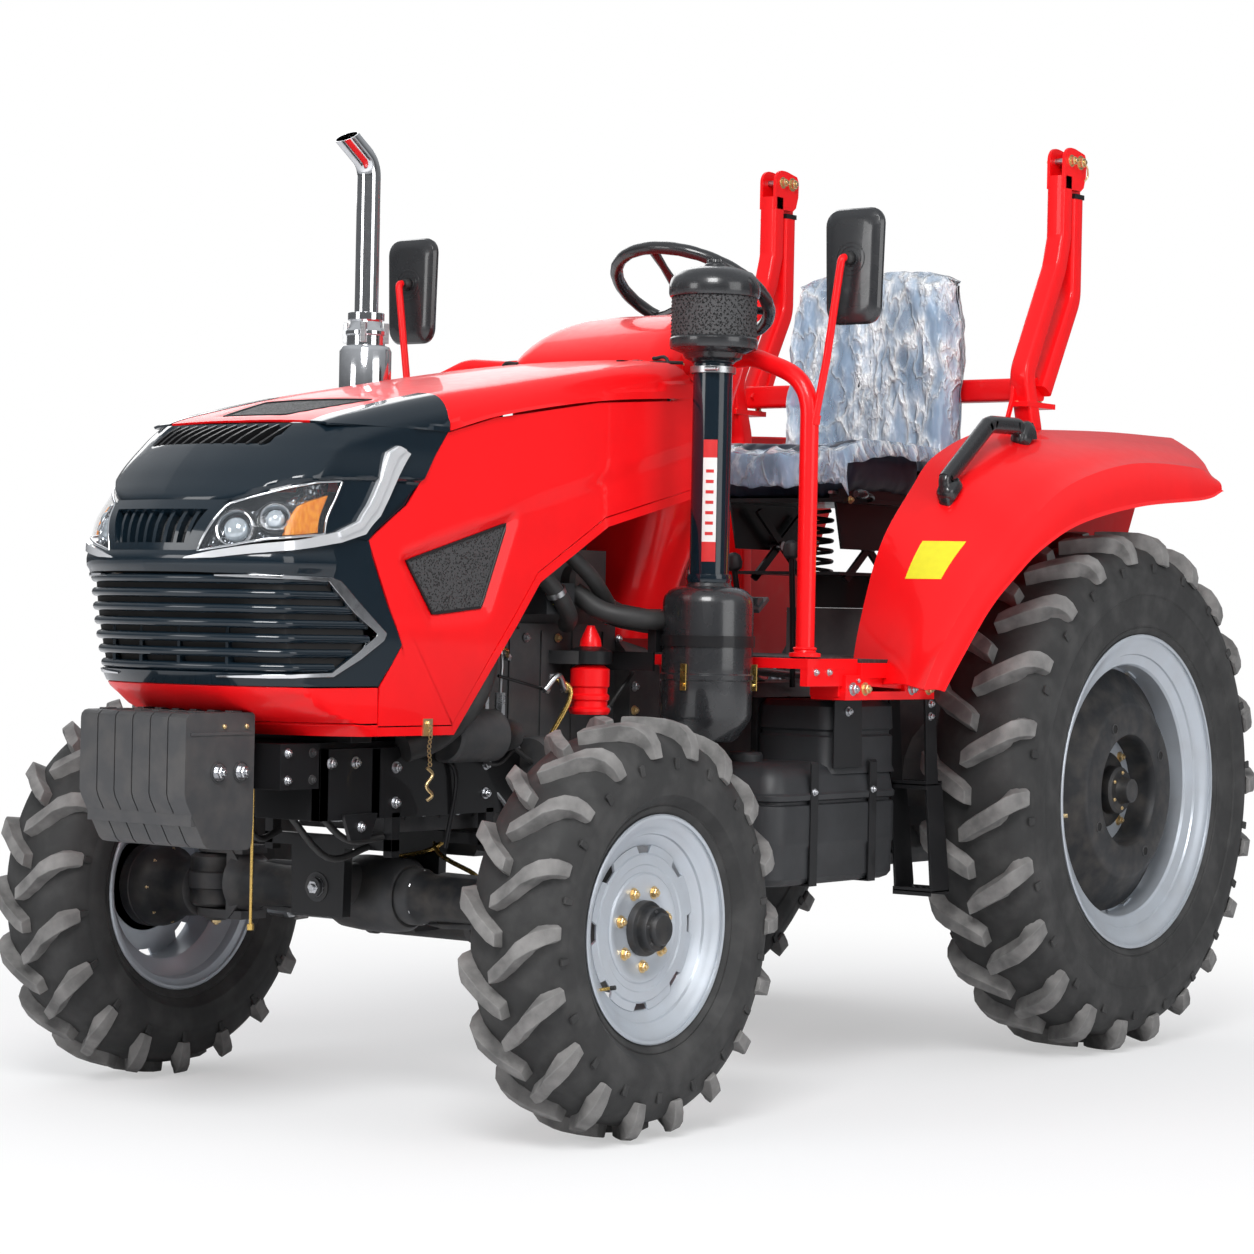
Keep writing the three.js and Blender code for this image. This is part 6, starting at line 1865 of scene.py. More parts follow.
def fender(context, name, s):
    shape = Shape("red_paint")
    grid, pushes = [], {}
    spread = [k / 8 for k in range(8)] + [1 + k / 9 for k in range(9)] + [2 + k / 6 for k in range(7)]
    for i in range(65):
        u = 8 * i / 64
        line = []
        for v in spread:
            spot = fender_skin(u, v)
            n = fender_out(u, v)
            spot = spot + n * (-3.0 * ease(v, 1.55, 1.75) * (1 - ease(v, 1.9, 2.0)))
            pushes[tuple(spot)] = -n
            line.append(spot)
        grid.append(line)
    shape.sheet(grid, 4.5, lambda p: pushes[tuple(p)])
    # The inner wall takes the darker red: painted shade, with a little dust.
    shape.use("red_dusty")
    wall_top = [fender_skin(8 * i / 40, 0) for i in range(41)]
    outline = [(p.y + 3, p.z - 2) for p in wall_top] + [(1500, 1470), (1340, 1380), (1120, 960), (1000, 830),
                                                        (1000, 740), (700, 740), (600, 861)]
    shape.prism(outline, "yz", 461.3, 466)
    shape.use("red_paint")
    for u in (3.2, 5.4):
        a = fender_skin(u, 0.3)
        shape.bolt((466, a.y + 40, a.z - 80), LEFT, 8, 7, True, "zinc")
    # A clipped cable runs under the tail, and a bracket holds the sheet to the post.
    cable = [fender_skin(5.2 + 2.6 * k / 12, 1.25) - Vector((0, 0, 16 + 2 * sin(k * 1.7))) for k in range(13)]
    shape.use("black_hose").pipe(curve_through(cable, 3), 4.5)
    for k in (2, 6, 10):
        shape.use("satin_black").turned([(4, -6), (7, -6), (7, 6), (4, 6)], cable[k],
                                        cable[k + 1] - cable[k - 1], 14)
    # The bracket and its plate take the darker red: painted shade, with a little dust.
    shape.use("red_dusty").prism([(800, 1395), (880, 1395), (870, 1300), (812, 1300)], "yz", 467, 473)
    shape.block((461.5, 802, 1150), (468, 868, 1298))
    for z in (1180, 1262):
        shape.bolt((468, 835, z), LEFT, 9, 8, True, "gold_zinc")
    # A blank yellow label on the front face, level across and leaning with the fender's edges.
    shape.use("yellow_label")
    low_z, high_z, inner_v, outer_v = 1105, 1191, 0.75, 1.42
    grid, pushes = [], {}
    for i in range(7):
        line = []
        for k in range(9):
            v = inner_v + (outer_v - inner_v) * k / 8
            u = fender_level(v, low_z + (high_z - low_z) * i / 6)
            n = fender_out(u, v)
            spot = fender_skin(u, v) + n
            pushes[tuple(spot)] = -n
            line.append(spot)
        grid.append(line)
    shape.sheet(grid, 0.9, lambda p: pushes[tuple(p)])
    piece("fender_" + name + "_pressing", shape.mirrored(s), "chassis", "fender_" + name, bevel=0.8)
    handle = Shape("smooth_plastic")
    line = bent([(555, 268, 1306), (555, 244, 1330), (555, 430, 1470), (555, 560, 1472), (555, 592, 1450)],
                62, 8)
    rings = []
    spots = curve_through(line, 2)
    across = Vector(LEFT)
    for i, p in enumerate(spots):
        t = i / (len(spots) - 1)
        run = (spots[min(i + 1, len(spots) - 1)] - spots[max(i - 1, 0)]).normalized()
        up = across.cross(run).normalized()
        flare = 1 + 0.7 * (ease(0.14 - t, 0, 0.14) + ease(t - 0.86, 0, 0.14))
        rings.append([p + across * x * flare + up * y * flare for x, y in rectangle(28, 40, 11, 3)])
    handle.loft(rings)
    for place, normal in (((555, 268, 1300), Vector((0, -0.72, 0.69))),
                          ((555, 592, 1456), Vector((0, -0.1, 1)))):
        normal.normalize()
        along = normal.cross(Vector(LEFT))
        handle.use("smooth_plastic").loft([[Vector(place) + normal * h + Vector(LEFT) * x + along * y
                                            for x, y in rectangle(30, deep, 9, 3)] for h,
                                           deep in ((-14, 78), (4, 74), (14, 60), (26, 44))])
        for end in (-28, 28):
            handle.use("zinc").bolt(Vector(place) + normal * 6 + along * end, normal, 4, 4, False)
    piece("grab_handle_" + name + "_moulded", handle.mirrored(s), "chassis", "grab_handle_" + name, bevel=1.2)


def handrail(context, name, s):
    shape = Shape("red_paint")
    shape.pipe(bent([(550, -300, 931), (550, -300, 1520), (400, -300, 1575), (230, -300, 1562)], 110, 10),
               circle(20, 24))
    shape.knob([(34, 0), (34, 8), (24, 10), (22, 16)], (550, -300, 930.4), UP, 32)
    shape.turned([(19, -4), (24, -3), (26, 0), (24, 3), (19, 4)], (550, -300, 948), UP, 32)
    shape.pipe(bent([(550, -304, 1404), (566, -302, 1440), (590, -300, 1560), (622, -298, 1779),
                     (622, -272, 1779)], 40, 8), circle(8.5, 14))
    shape.knob([(11, -10), (11, 10)], (566, -302, 1436), (0.2, 0, 1), 18)
    shape.use("gold_zinc").bolt((232, -316, 1561), (0, -1, 0), 7, 6, True).bolt((232, -284, 1561), REAR, 7, 6,
            True)
    shape.use("red_paint").prism([(228, 1536), (262, 1540), (262, 1584), (228, 1584)], "xz", -326, -274)
    piece("handrail_" + name + "_bent", shape.mirrored(s), "chassis", "handrail_" + name, bevel=1.0)
    mirror = Shape("smooth_plastic")
    rings = []
    for y, grow in ((-264, -26), (-262, -14), (-256, -4), (-248, 0), (-240, -1), (-237.5, -4)):
        loop = []
        for x, z in rectangle(148 + 2 * grow, 248 + 2 * grow, 34, 6):
            taper = 1 - 0.10 * (0.5 - z / 248)
            loop.append((622 + x * taper, y, 1764 + z))
        rings.append(loop)
    mirror.loft(rings)
    mirror.use("mirror_glass").loft([[(622 + x * (1 - 0.10 * (0.5 - z / 248)), y, 1764 + z) for x,
                                      z in rectangle(130, 230, 26, 6)]
                                     for y in (-240, -236.6)])
    mirror.use("black_hose").knob([(10, 0), (13, 4), (14, 10), (12, 16), (9, 20), (9, 26)], (622, -262, 1779),
                                  (0, -1, 0), 24)
    for k in range(3):
        mirror.use("smooth_plastic").turned([(16 + k * 9, 0), (18 + k * 9, 0), (17.6 + k * 9, 1.6),
                                             (16.4 + k * 9, 1.6)],
                                            (622, -264, 1779), (0, -1, 0), 32)
    piece("mirror_" + name + "_head", mirror.mirrored(s), "chassis", "mirror_" + name, bevel=0.8)


# ---- seat ----

VOXEL = 8  # the foam's mesh, in millimetres
PRESSURE = 4  # inside the foam while it swells
FRAMES = 20  # that the cloth takes to settle
MOST_SWELL = 1.3  # times the swell setting, the furthest that a point may move

def swollen(name, low, high, swell, hold):
    """A foam pad grown by cloth under pressure from a smaller shape, with a cap on how far it moves."""
    (x0, y0, z0), (x1, y1, z1) = low, high
    cx, cy = (x0 + x1) / 2, (y0 + y1) / 2
    core = Shape()
    rings = []
    for t in [k / 8 for k in range(9)]:
        inset = swell * (1.2 + 2.2 * abs(t - 0.5) ** 3 * 8 * 0.5)
        rings.append([hold(Vector((cx + x, cy + y, z0 + (z1 - z0) * t)), t)
                      for x, y in rectangle(x1 - x0 - 2 * inset, y1 - y0 - 2 * inset, 52, 6)])
    core.loft(rings)
    obj = mesh_object(name, core)
    remesh = obj.modifiers.new("Even mesh", "REMESH")
    remesh.mode = "VOXEL"
    remesh.voxel_size = VOXEL * MM
    settle(obj)
    rest = [v.co.copy() for v in obj.data.vertices]
    cloth = obj.modifiers.new("Foam", "CLOTH")
    cloth.settings.use_pressure = True
    cloth.settings.uniform_pressure_force = PRESSURE
    cloth.settings.effector_weights.gravity = 0
    scene = bpy.context.scene
    for step in range(1, FRAMES + 1):
        scene.frame_set(step)
    settle(obj)
    scene.frame_set(1)
    cap = swell * MOST_SWELL * MM
    for vertex, start in zip(obj.data.vertices, rest):
        moved = vertex.co - start
        if moved.length > cap:
            vertex.co = start + moved * (cap / moved.length)
    return obj


def settle(obj):
    """Makes an object's modifiers part of its mesh."""
    done = bpy.data.meshes.new_from_object(obj.evaluated_get(bpy.context.evaluated_depsgraph_get()))
    obj.modifiers.clear()
    obj.data = done


def channels(obj, lines, axis, across, depth, width):
    """Presses sewn channels into a pad's face."""
    for vertex in obj.data.vertices:
        place = vertex.co[across] / MM
        press = sum(exp(-((place - line) / width) ** 2) for line in lines)
        vertex.co[axis[0]] -= axis[1] * depth * MM * min(press, 1.0)


def finish_pad(obj, replaces):
    obj.data.materials.clear()
    obj.data.materials.append(finish("seat_vinyl"))
    obj.data.polygons.foreach_set("use_smooth", [True] * len(obj.data.polygons))
    fine = obj.modifiers.new("Smooth", "SUBSURF")
    fine.levels = fine.render_levels = 1
    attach(obj, "chassis")
    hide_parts(replaces)


def seat(context):
    swell = context.scene.tractor_seat.swell / MM
    (x0, y0, z0), (x1, y1, z1) = box_mm("seat_cushion")

    def dished(p, t):
        """A pan that rises at both sides and at the front edge rolls down."""
        rise = 16 * (abs(p.x) / 235) ** 2 * t
        roll = -26 * ease(y0 + 110 - p.y, 0, 110) * t
        return p + Vector((0, 0, rise + roll))
    pad = swollen("seat_cushion_pad", (x0, y0, z0), (x1, y1 - 4, z1 - 14), swell, dished)
    channels(pad, [-120, 120], (2, 1), 0, 4, 7)
    channels(pad, [470, 610], (2, 1), 1, 3, 7)
    finish_pad(pad, "seat_cushion")
    (x0, y0, z0), (x1, y1, z1) = box_mm("seat_back")

    def bowed(p, t):
        """A back that leans rearwards, wraps forwards at the sides and narrows to a rounded top."""
        lean = 26 * t - 8
        wrap = -18 * (abs(p.x) / 240) ** 2 * (1 - 0.4 * t)
        narrow = 1 - 0.10 * ease(t, 0.7, 1.0)
        return Vector((p.x * narrow, p.y + lean * 0.6 + wrap,
                       p.z - 22 * (abs(p.x) / 240) ** 4 * ease(t, 0.8, 1)))
    back = swollen("seat_back_pad", (x0, y0 + 22, z0), (x1, y1 - 10, z1), swell, bowed)
    channels(back, [-120, 120], (1, -1), 0, 4, 7)
    channels(back, [1480, 1640], (1, -1), 2, 4, 7)
    finish_pad(back, "seat_back")
    # Clear packing film hangs over the back and over the cushion.
    film("seat_back_film", [(x0 - 8, y0 - 6), (x1 + 8, y1 + 6)], z0 + 40, z1 + 14)
    cushion_film("seat_cushion_film")
    base = Shape("satin_black")
    base.prism([(-190, 1290), (190, 1290), (190, 1300), (-190, 1300)], "xz", 380, 745)
    for s in (1, -1):
        rail = Shape("satin_black")
        rail.prism([(150, 1300), (182, 1300), (182, 1322), (174, 1322), (174, 1308), (158, 1308), (158, 1322),
                    (150, 1322)], "xz", 380, 740)
        rail.use("steel").block((160, 360, 1309), (172, 730, 1316))
        for y in (410, 700):
            rail.bolt((190, y, 1296), LEFT, 7, 6, True, "gold_zinc")
        rail.use("satin_black").prism([(400, 1292), (720, 1292), (700, 1180), (430, 1180)], "yz", 150, 156)
        rail.prism([(470, 1270), (490, 1280), (690, 1120), (670, 1110)], "yz", 120, 128)
        rail.prism([(470, 1112), (490, 1102), (690, 1262), (670, 1272)], "yz", 130, 138)
        rail.use("steel").knob([(12, -14), (12, 20)], (130, 580, 1190), LEFT, 20)
        base.join(rail, Matrix.Diagonal((s, 1, 1, 1)))
    base.use("satin_black").prism([(-110, 1041), (110, 1041), (96, 1120), (-96, 1120)], "xz", 632, 742)
    base.prism([(-150, 1118), (150, 1118), (150, 1126), (-150, 1126)], "xz", 430, 744)
    coil = [Vector((34 * cos(a), 560 + 34 * sin(a), 1126 + 150 * a / (12 * pi))) for a in
            [12 * pi * k / 120 for k in range(121)]]
    base.pipe(coil, circle(5, 8))
    base.use("satin_black").pipe(curve_through([(176, 500, 1296), (214, 470, 1300), (236, 430, 1306),
                                                (240, 396, 1308)]), 5)
    base.use("smooth_plastic").knob([(9, 0), (12, 10), (12, 34), (8, 42)], (240, 400, 1308), (0, -1, 0), 20)
    base.use("black_plastic")
    rings = []
    for y, w, z in ((770, 214, 1345), (812, 214, 1352), (846, 208, 1372)):
        rings.append([(x, y, z + h) for x, h in rectangle(2 * w, 36, 14, 4)])
    base.loft(rings)
    shell = [[(x, 826 + 18 * t - 14 * (x / 220) ** 2, 1356 + 486 * t) for x in range(-220, 221, 44)]
             for t in [k / 8 for k in range(9)]]
    base.sheet(shell, 5, lambda p: REAR)
    piece("seat_base_rails", base, "chassis", "seat_base", bevel=1.0)


def wrinkle(a, b, seed):
    return (sin(a * 0.055 + 3 * sin(b * 0.013 + seed)) + 0.6 * sin(a * 0.13 + b * 0.031 + seed * 2)
            + 0.4 * sin(b * 0.09 + 2.2 * sin(a * 0.03))) / 2


def film_sheet(name, grid, flat):
    shape = Shape("clear_film")
    n, m = len(grid[0]), len(grid)
    shape.add([p for row in grid for p in row],
              [(i * n + j, i * n + j + 1, (i + 1) * n + j + 1, (i + 1) * n + j) for i in range(m - 1)
               for j in range(n - 1)])
    obj = piece(name, shape, "chassis", smooth=180)
    thick = obj.modifiers.new("Thickness", "SOLIDIFY")
    thick.thickness = 0.0006
    return obj


def film(name, span, low, high):
    """Film drawn down over the seat back, front and rear, its folds mostly upright."""
    (x0, y0), (x1, y1) = span
    front = lambda x, t: y0 + 14 + 18 * t - 18 * (abs(x) / 240) ** 2 * (1 - 0.4 * t)
    rear = lambda x, t: y1 + 6 + 16 * t - 16 * (abs(x) / 240) ** 2 * (1 - 0.4 * t)
    grid = []
    for i in range(61):
        x = x0 + (x1 - x0) * i / 60
        wrap = ease(abs(x), 214, 248) ** 2
        row = []
        for k in range(61):
            s = k / 60
            if s < 0.46:
                t, y_at, side = s / 0.46, front, -1
            elif s > 0.54:
                t, y_at, side = (1 - s) / 0.46, rear, 1
            else:
                t, y_at, side = 1.0, None, 0
            narrow = 1 - 0.10 * ease(t, 0.7, 1)
            top = high - 26 * (abs(x) / 248) ** 4
            z = low + (top - low) * t
            fold = 9 * wrinkle(x, z, 1.3 if side < 0 else 4.1)
            if y_at:
                round_in = 26 * ease(t, 0.93, 1.0) ** 2
                y = y_at(x, t) + side * (7 + fold) - side * round_in
                y += (798 + 16 * t - y) * wrap * 0.94
            else:
                u = (s - 0.46) / 0.08
                a, b = front(x, 1) - 7 + 26, rear(x, 1) + 7 - 26
                y = a + (b - a) * u
                z += 5 + 3 * wrinkle(x, y * 2, 2)
            row.append((x * narrow + 4 * wrinkle(z, x, 3), y, z))
        grid.append(row)
    high_m = (high - low) * 2 * MM + 0.12
    return film_sheet(name, grid, ((x1 - x0) * 1.04 * MM, high_m))


def cushion_film(name):
    """Film laid over the cushion, its loose front edge hanging down."""
    grid = []
    for i in range(57):
        x = -246 + 492 * i / 56
        row = []
        for k in range(57):
            t = k / 56
            y = 738 - 424 * min(1.0, t / 0.82)
            lift = 12 * (abs(x) / 235) ** 2
            z = 1428 + lift + 7 * wrinkle(x, y, 2.2) - 26 * ease(440 - y, 0, 120)
            if t > 0.82:
                down = (t - 0.82) / 0.18
                z -= 78 * down
                y -= 6 * sin(down * 3) + 6 * wrinkle(x, z, 0.4)
            if abs(x) > 228:
                z -= 40 * ease(abs(x), 226, 246)
            row.append((x, y, z))
        grid.append(row)
    return film_sheet(name, grid, (0.56, 0.53))


# ---- air cleaner and exhaust ----

def air_cleaner(context):
    at = Vector((395, -440, 0))
    shape = Shape("smooth_plastic")
    up = UP
    shape.knob([(30, 745), (58, 747), (66, 752), (92, 790), (97, 804), (97, 876), (100, 879), (100, 889),
                (97, 892),
                (97, 1040), (94, 1054), (84, 1066), (70, 1073), (50, 1076), (46, 1084)], at, up, 56)
    shape.use("brass")
    for k in range(3):
        a = 2 * pi * (k / 3 + 0.1)
        out = Vector((cos(a), sin(a), 0))
        shape.pipe([at + out * 100 + Vector((0, 0, z)) for z in (856, 872, 900, 912)], rectangle(16, 3, 1, 1))
        shape.bar(at + out * 96 + Vector((0, 0, 868)), at + out * 106 + Vector((0, 0, 868)), 4)
    shape.use("gloss_black").knob([(42, 1078), (42, 1548), (46, 1552), (46, 1566)], at, up, 48)
    shape.turned([(41, 1084), (47, 1084), (49, 1092), (47, 1102), (41, 1102)], at, up, 48)
    shape.use("steel").turned([(45, 1528), (48.5, 1528), (48.5, 1542), (45, 1542)], at, up, 48)
    shape.use("zinc").bar(at + Vector((16, -50, 1535)), at + Vector((40, -44, 1535)), 5)
    shape.bolt(at + Vector((40, -44, 1535)), (1, 0.2, 0), 5, 4, False)
    shape.use("smooth_plastic").knob([(44, 1552), (60, 1560), (66, 1570), (92, 1580), (94, 1586), (94, 1600),
                                      (91, 1604), (88, 1606)], at, up, 56)
    # A band of punched mesh, with real holes' edges standing proud between two rings.
    shape.use("mesh_black").turned([(84, 1600), (90.5, 1602), (90.5, 1690), (84, 1692)], at, up, 72)
    screen = Shape("satin_black")
    for k in range(36):
        a = 2 * pi * k / 36
        for row in range(11):
            z = 1607 + row * 8
            turn = a + (row % 2) * pi / 36
            out = Vector((cos(turn), sin(turn), 0))
            screen.knob([(2.4, 0), (1.6, 2)], at + out * 89.8 + Vector((0, 0, z)), out, 6)
    shape.use("smooth_plastic")
    shape.knob([(86, 1686), (95, 1690), (97, 1696), (97, 1712), (93, 1728), (80, 1742), (56, 1750),
                (40, 1753), (24, 1755),
                (22, 1760), (15, 1764), (14, 1770)], at, up, 56)
    for k in range(5):
        a = 2 * pi * k / 5
        shape.knob([(3, 1756), (4, 1768), (2, 1772)], at + Vector((15 * cos(a), 15 * sin(a), 0)), up, 12)
    # The outlet elbow to the engine, with its clamps, and the bracket that holds the can.
    shape.use("black_hose").pipe(bent([(340, -470, 1000), (270, -492, 1000), (206, -506, 1010),
                                       (140, -520, 1040)], 60, 8), circle(26, 20))
    shape.pipe(curve_through([(330, -470, 1000), (300, -560, 1005), (240, -610, 1020), (190, -640, 1060)]),
               circle(21, 18))
    shape.use("zinc")
    for spot, run in (((318, -477, 1000), (1, -0.3, 0)), ((182, -511, 1020), (1, -0.2, 0.2))):
        shape.turned([(26, -6), (29, -6), (29, 6), (26, 6)], spot, run, 28)
    shape.use("satin_black").block((150, -520, 894), (310, -512, 934))
    shape.turned([(97, -12), (101, -12), (101, 12), (97, 12)], at + Vector((0, 0, 960)), up, 56)
    shape.prism([(296, 934), (318, 934), (318, 984), (296, 984)], "xz", -520, -470)
    # An upright blank label, white between two red ends, wraps the pipe.
    for z0, z1, paint in ((1128, 1170, "label_red"), (1170, 1348, "label_white"), (1348, 1386, "label_red")):
        shape.use(paint)
        rows = [[at + Vector((42.4 * cos(a), 42.4 * sin(a), z)) for z in (z0, (z0 + z1) / 2, z1)]
                for a in [-1.36 + 0.72 * k / 8 for k in range(9)]]
        shape.sheet(rows, 0.8, lambda p: Vector((at.x - p.x, at.y - p.y, 0)).normalized())
    shape.use("label_red")
    for k in range(7):
        z = 1184 + k * 22
        rows = [[at + Vector((42.8 * cos(a), 42.8 * sin(a), zz)) for zz in (z, z + 7)]
                for a in [-1.2 + 0.4 * j / 5 for j in range(6)]]
        shape.sheet(rows, 0.8, lambda p: Vector((at.x - p.x, at.y - p.y, 0)).normalized())
    piece("air_cleaner_screen", screen, "chassis", smooth=20)
    piece("air_cleaner_turned", shape, "chassis", "air_cleaner", bevel=0.5)


def exhaust(context):
    at = Vector((-350, -712, 0))
    up = UP
    shape = Shape("chrome")
    shape.knob([(30, 1158), (50, 1160), (57, 1168), (57, 1474), (59, 1476), (59, 1484), (57, 1486),
                (57, 1578), (52, 1588), (40, 1592)], at, up, 56)
    shape.knob([(42, 1588), (42, 1612), (45, 1614), (45, 1622), (38, 1630), (34, 1648)], at, up, 48)
    shape.turned([(33, 1646), (40, 1646), (40, 1662), (33, 1662)], at, up, 40)
    for k in range(4):
        a = pi / 2 * k + 0.6
        shape.use("steel").prism([(at.x + 41 * cos(a + d), at.y + 41 * sin(a + d)) for d in (-0.2, 0.2)]
                                 + [(at.x + 50 * cos(a + d), at.y + 50 * sin(a + d)) for d in (0.1, -0.1)],
                                 "xy", 1596, 1640)
    shape.use("chrome")
    line = bent([(-350, -712, 1640), (-350, -712, 1990), (-350, -787, 2040)], 56, 12)
    outer, inner = circle(26, 32), circle(23.6, 32)
    across, rings_out, rings_in = Vector(LEFT), [], []
    for i, p in enumerate(line):
        run = (line[min(i + 1, len(line) - 1)] - line[max(i - 1, 0)]).normalized()
        side = (across - run * across.dot(run)).normalized()
        other = run.cross(side)
        slope = 26 if i == len(line) - 1 else 0
        rings_out.append([p + side * u + other * v - run * slope * (v / 26) * 0.5 for u, v in outer])
        rings_in.append([p + side * u + other * v - run * slope * (v / 26) * 0.5 for u, v in inner])
    shape.loft(rings_out + list(reversed(rings_in)), ring=True)
    # A dark disc down the pipe's bore is painted shade.
    shape.use("dark_inside").knob([(23, 0), (23, 4)], (-350, -712, 1900), up, 24)
    shape.use("cast_black").pipe(bent([(-350, -712, 1170), (-350, -712, 1070), (-126, -712, 1070)], 64, 8),
                                 circle(24, 22))
    shape.block((-146, -752, 1040), (-128, -672, 1100))
    for y, z in ((-742, 1050), (-742, 1090), (-682, 1050), (-682, 1090)):
        shape.bolt((-146, y, z), (-1, 0, 0), 7, 6, True, "zinc")
    shape.use("steel").turned([(57, -7), (61, -7), (61, 7), (57, 7)], at + Vector((0, 0, 1210)), up, 48)
    shape.use("satin_black").prism([(-296, 1196), (-150, 1160), (-150, 1184), (-296, 1222)], "xz", -720, -704)
    piece("exhaust_polished", shape, "chassis", "exhaust", bevel=0.6)


# ---- roll-over bar ----

def rops(context):
    section = rectangle(50, 46, 9, 3)
    for name, s in SIDES:
        shape = Shape("red_paint")
        shape.pipe(bent([(430, 850, 712), (430, 828, 1482), (430, 785, 1613), (430, 930, 1882),
                         (430, 952, 1960), (430, 952, 2112)], 70, 8), section)
        shape.block((405, 760, 698), (455, 940, 712))
        shape.prism([(404, 773), (456, 773), (456, 907), (404, 907)], "xy", 1535, 1548)
        for y in (790, 890):
            shape.bolt((418, y, 1548), UP, 8, 7, True, "gold_zinc")
            shape.bolt((430, y, 712), UP, 10, 9, True, "zinc")
        shape.block((450, 800, 1150), (460.6, 870, 1300))
        shape.prism([(755, 1500), (782, 1560), (782, 1640), (775, 1640), (768, 1560), (745, 1506)], "yz", 410,
                    418)
        for x in (405, 447):
            cheek = [(930, 2080), (1012, 2080), (1026, 2090), (1036, 2120), (1037, 2150)]
            cheek += [(1005 + 32 * cos(a), 2150 + 32 * sin(a)) for a in [pi * k / 16 for k in range(1, 5)]]
            cheek += [(984, 2181), (972, 2182)]
            cheek += [(962 + 32 * cos(a), 2150 + 32 * sin(a)) for a in [pi * k / 16 for k in range(8, 17)]]
            shape.prism(cheek, "yz", x, x + 8)
        for y, z, size in ((1005, 2150, 13), (962, 2150, 11)):
            shape.use("steel").bar((396, y, z), (464, y, z), 10 if size == 13 else 8)
            for t in (1, -1):
                x = 430 + t * 25
                shape.bolt((x, y, z), (t, 0, 0), size, 10, True, "gold_zinc")
        shape.use("gold_zinc").pipe(curve_through([(462, 1005, 2150), (470, 1012, 2140), (470, 1018, 2118),
                                                   (465, 1010, 2104)]), 2.2)
        piece("rops_post_" + name + "_welded", shape.mirrored(s), "chassis", "rops_post_" + name, bevel=1.5)
    hoop = Shape("red_paint")
    for s in (1, -1):
        arm = Shape("red_paint")
        arm.pipe(bent([(430, 1005, 2072), (430, 1005, 1815), (430, 872, 1578)], 90, 10),
                 rectangle(50, 46, 9, 3))
        arm.turned([(10.8, -14), (26, -14), (26, 14), (10.8, 14)], (430, 1005, 2150), LEFT, 36)
        arm.prism([(984, 2040), (1028, 2040), (1028, 2138), (1024, 2136), (986, 2136), (982, 2138)], "yz",
                  416, 444)
        arm.use("satin_black").prism([(982, 2060), (1028, 2060), (1028, 2072), (982, 2072)], "yz", 404, 456)
        arm.use("red_paint").prism([(880, 1556), (902, 1556), (960, 1680), (936, 1680)], "yz", 400, 406)
        hoop.join(arm, Matrix.Diagonal((s, 1, 1, 1)))
    hoop.pipe([(-430, 872, 1583), (430, 872, 1583)], [(v, u) for u, v in rectangle(56, 48, 9, 3)])
    for x in (-405, 405):
        hoop.turned([(0.1, -3), (34, -3), (34, 3), (0.1, 3)], (x, 872, 1583), LEFT, 4)
    piece("rops_hoop_welded", hoop, "rops_hoop", "rops_hoop", bevel=1.5)


# ---- hitch ----

def hitch(context):
    for name, s in SIDES:
        dress("lower_link_" + name, "cast_black", 2)
        dress("lift_rod_" + name, "steel", 1)
        extra = Shape("steel")
        extra.turned([(11, -23), (25, -23), (27, -12), (27, 12), (25, 23), (11, 23)], (341, 1708, 480), LEFT,
                     32)
        extra.use("gold_zinc").bar((332, 1560, 520), (318, 1560, 470), 4)
        extra.use("cast_black").turned([(13, -20), (31, -20), (31, 20), (13, 20)], (224, 950, 462), LEFT, 28)
        links = []
        for k in range(18):
            t = k / 17
            links.append(Vector((232 + 50 * t, 1010 + 230 * t, 505 - 26 * sin(pi * t) + 8 * t)))
        for k, (a, b) in enumerate(zip(links, links[1:])):
            extra.use("zinc").turned([(3.4, -1.6), (6.6, -1.6), (6.6, 1.6), (3.4, 1.6)], (a + b) / 2,
                                     LEFT if k % 2 else (0, 0.4, 1), 12)
        piece("lower_link_" + name + "_ends", extra.mirrored(s), "lower_links", bevel=0.8)
    dress("lift_arms", "cast_black", 3)
    dress("top_link", "steel", 1.5)
    link = Shape("cast_black")
    a, b = Vector((0, 1055, 950)), Vector((0, 1510, 1010))
    along = (b - a).normalized()
    link.turned([(15.2, 110), (20, 110), (22, 120), (22, 330), (20, 340), (15.2, 340)], a, along, 28)
    for d in (112, 330):
        link.use("zinc").turned([(15.2, 0), (25, 0), (25, 14), (15.2, 14)],
                                a + along * (d - (14 if d < 200 else -10)), along, 6)
    link.use("zinc").bar(a + along * 225 + Vector((-62, 0, 0)), a + along * 225 + Vector((62, 0, 0)), 6)
    threads = [(15.1 + (0.9 if k % 2 else 0), 30 + k * 4) for k in range(18)]
    link.use("steel").turned(threads + [(14, 98), (14, 30)], a, along, 20)
    piece("top_link_turnbuckle", link, "top_link", bevel=0.5)


# ---- stage ----

class Air(Finish):
    """The world's shader, written the way a finish is."""

    def __init__(self, world):
        world.use_nodes = True
        self.tree = world.node_tree
        self.tree.nodes.clear()


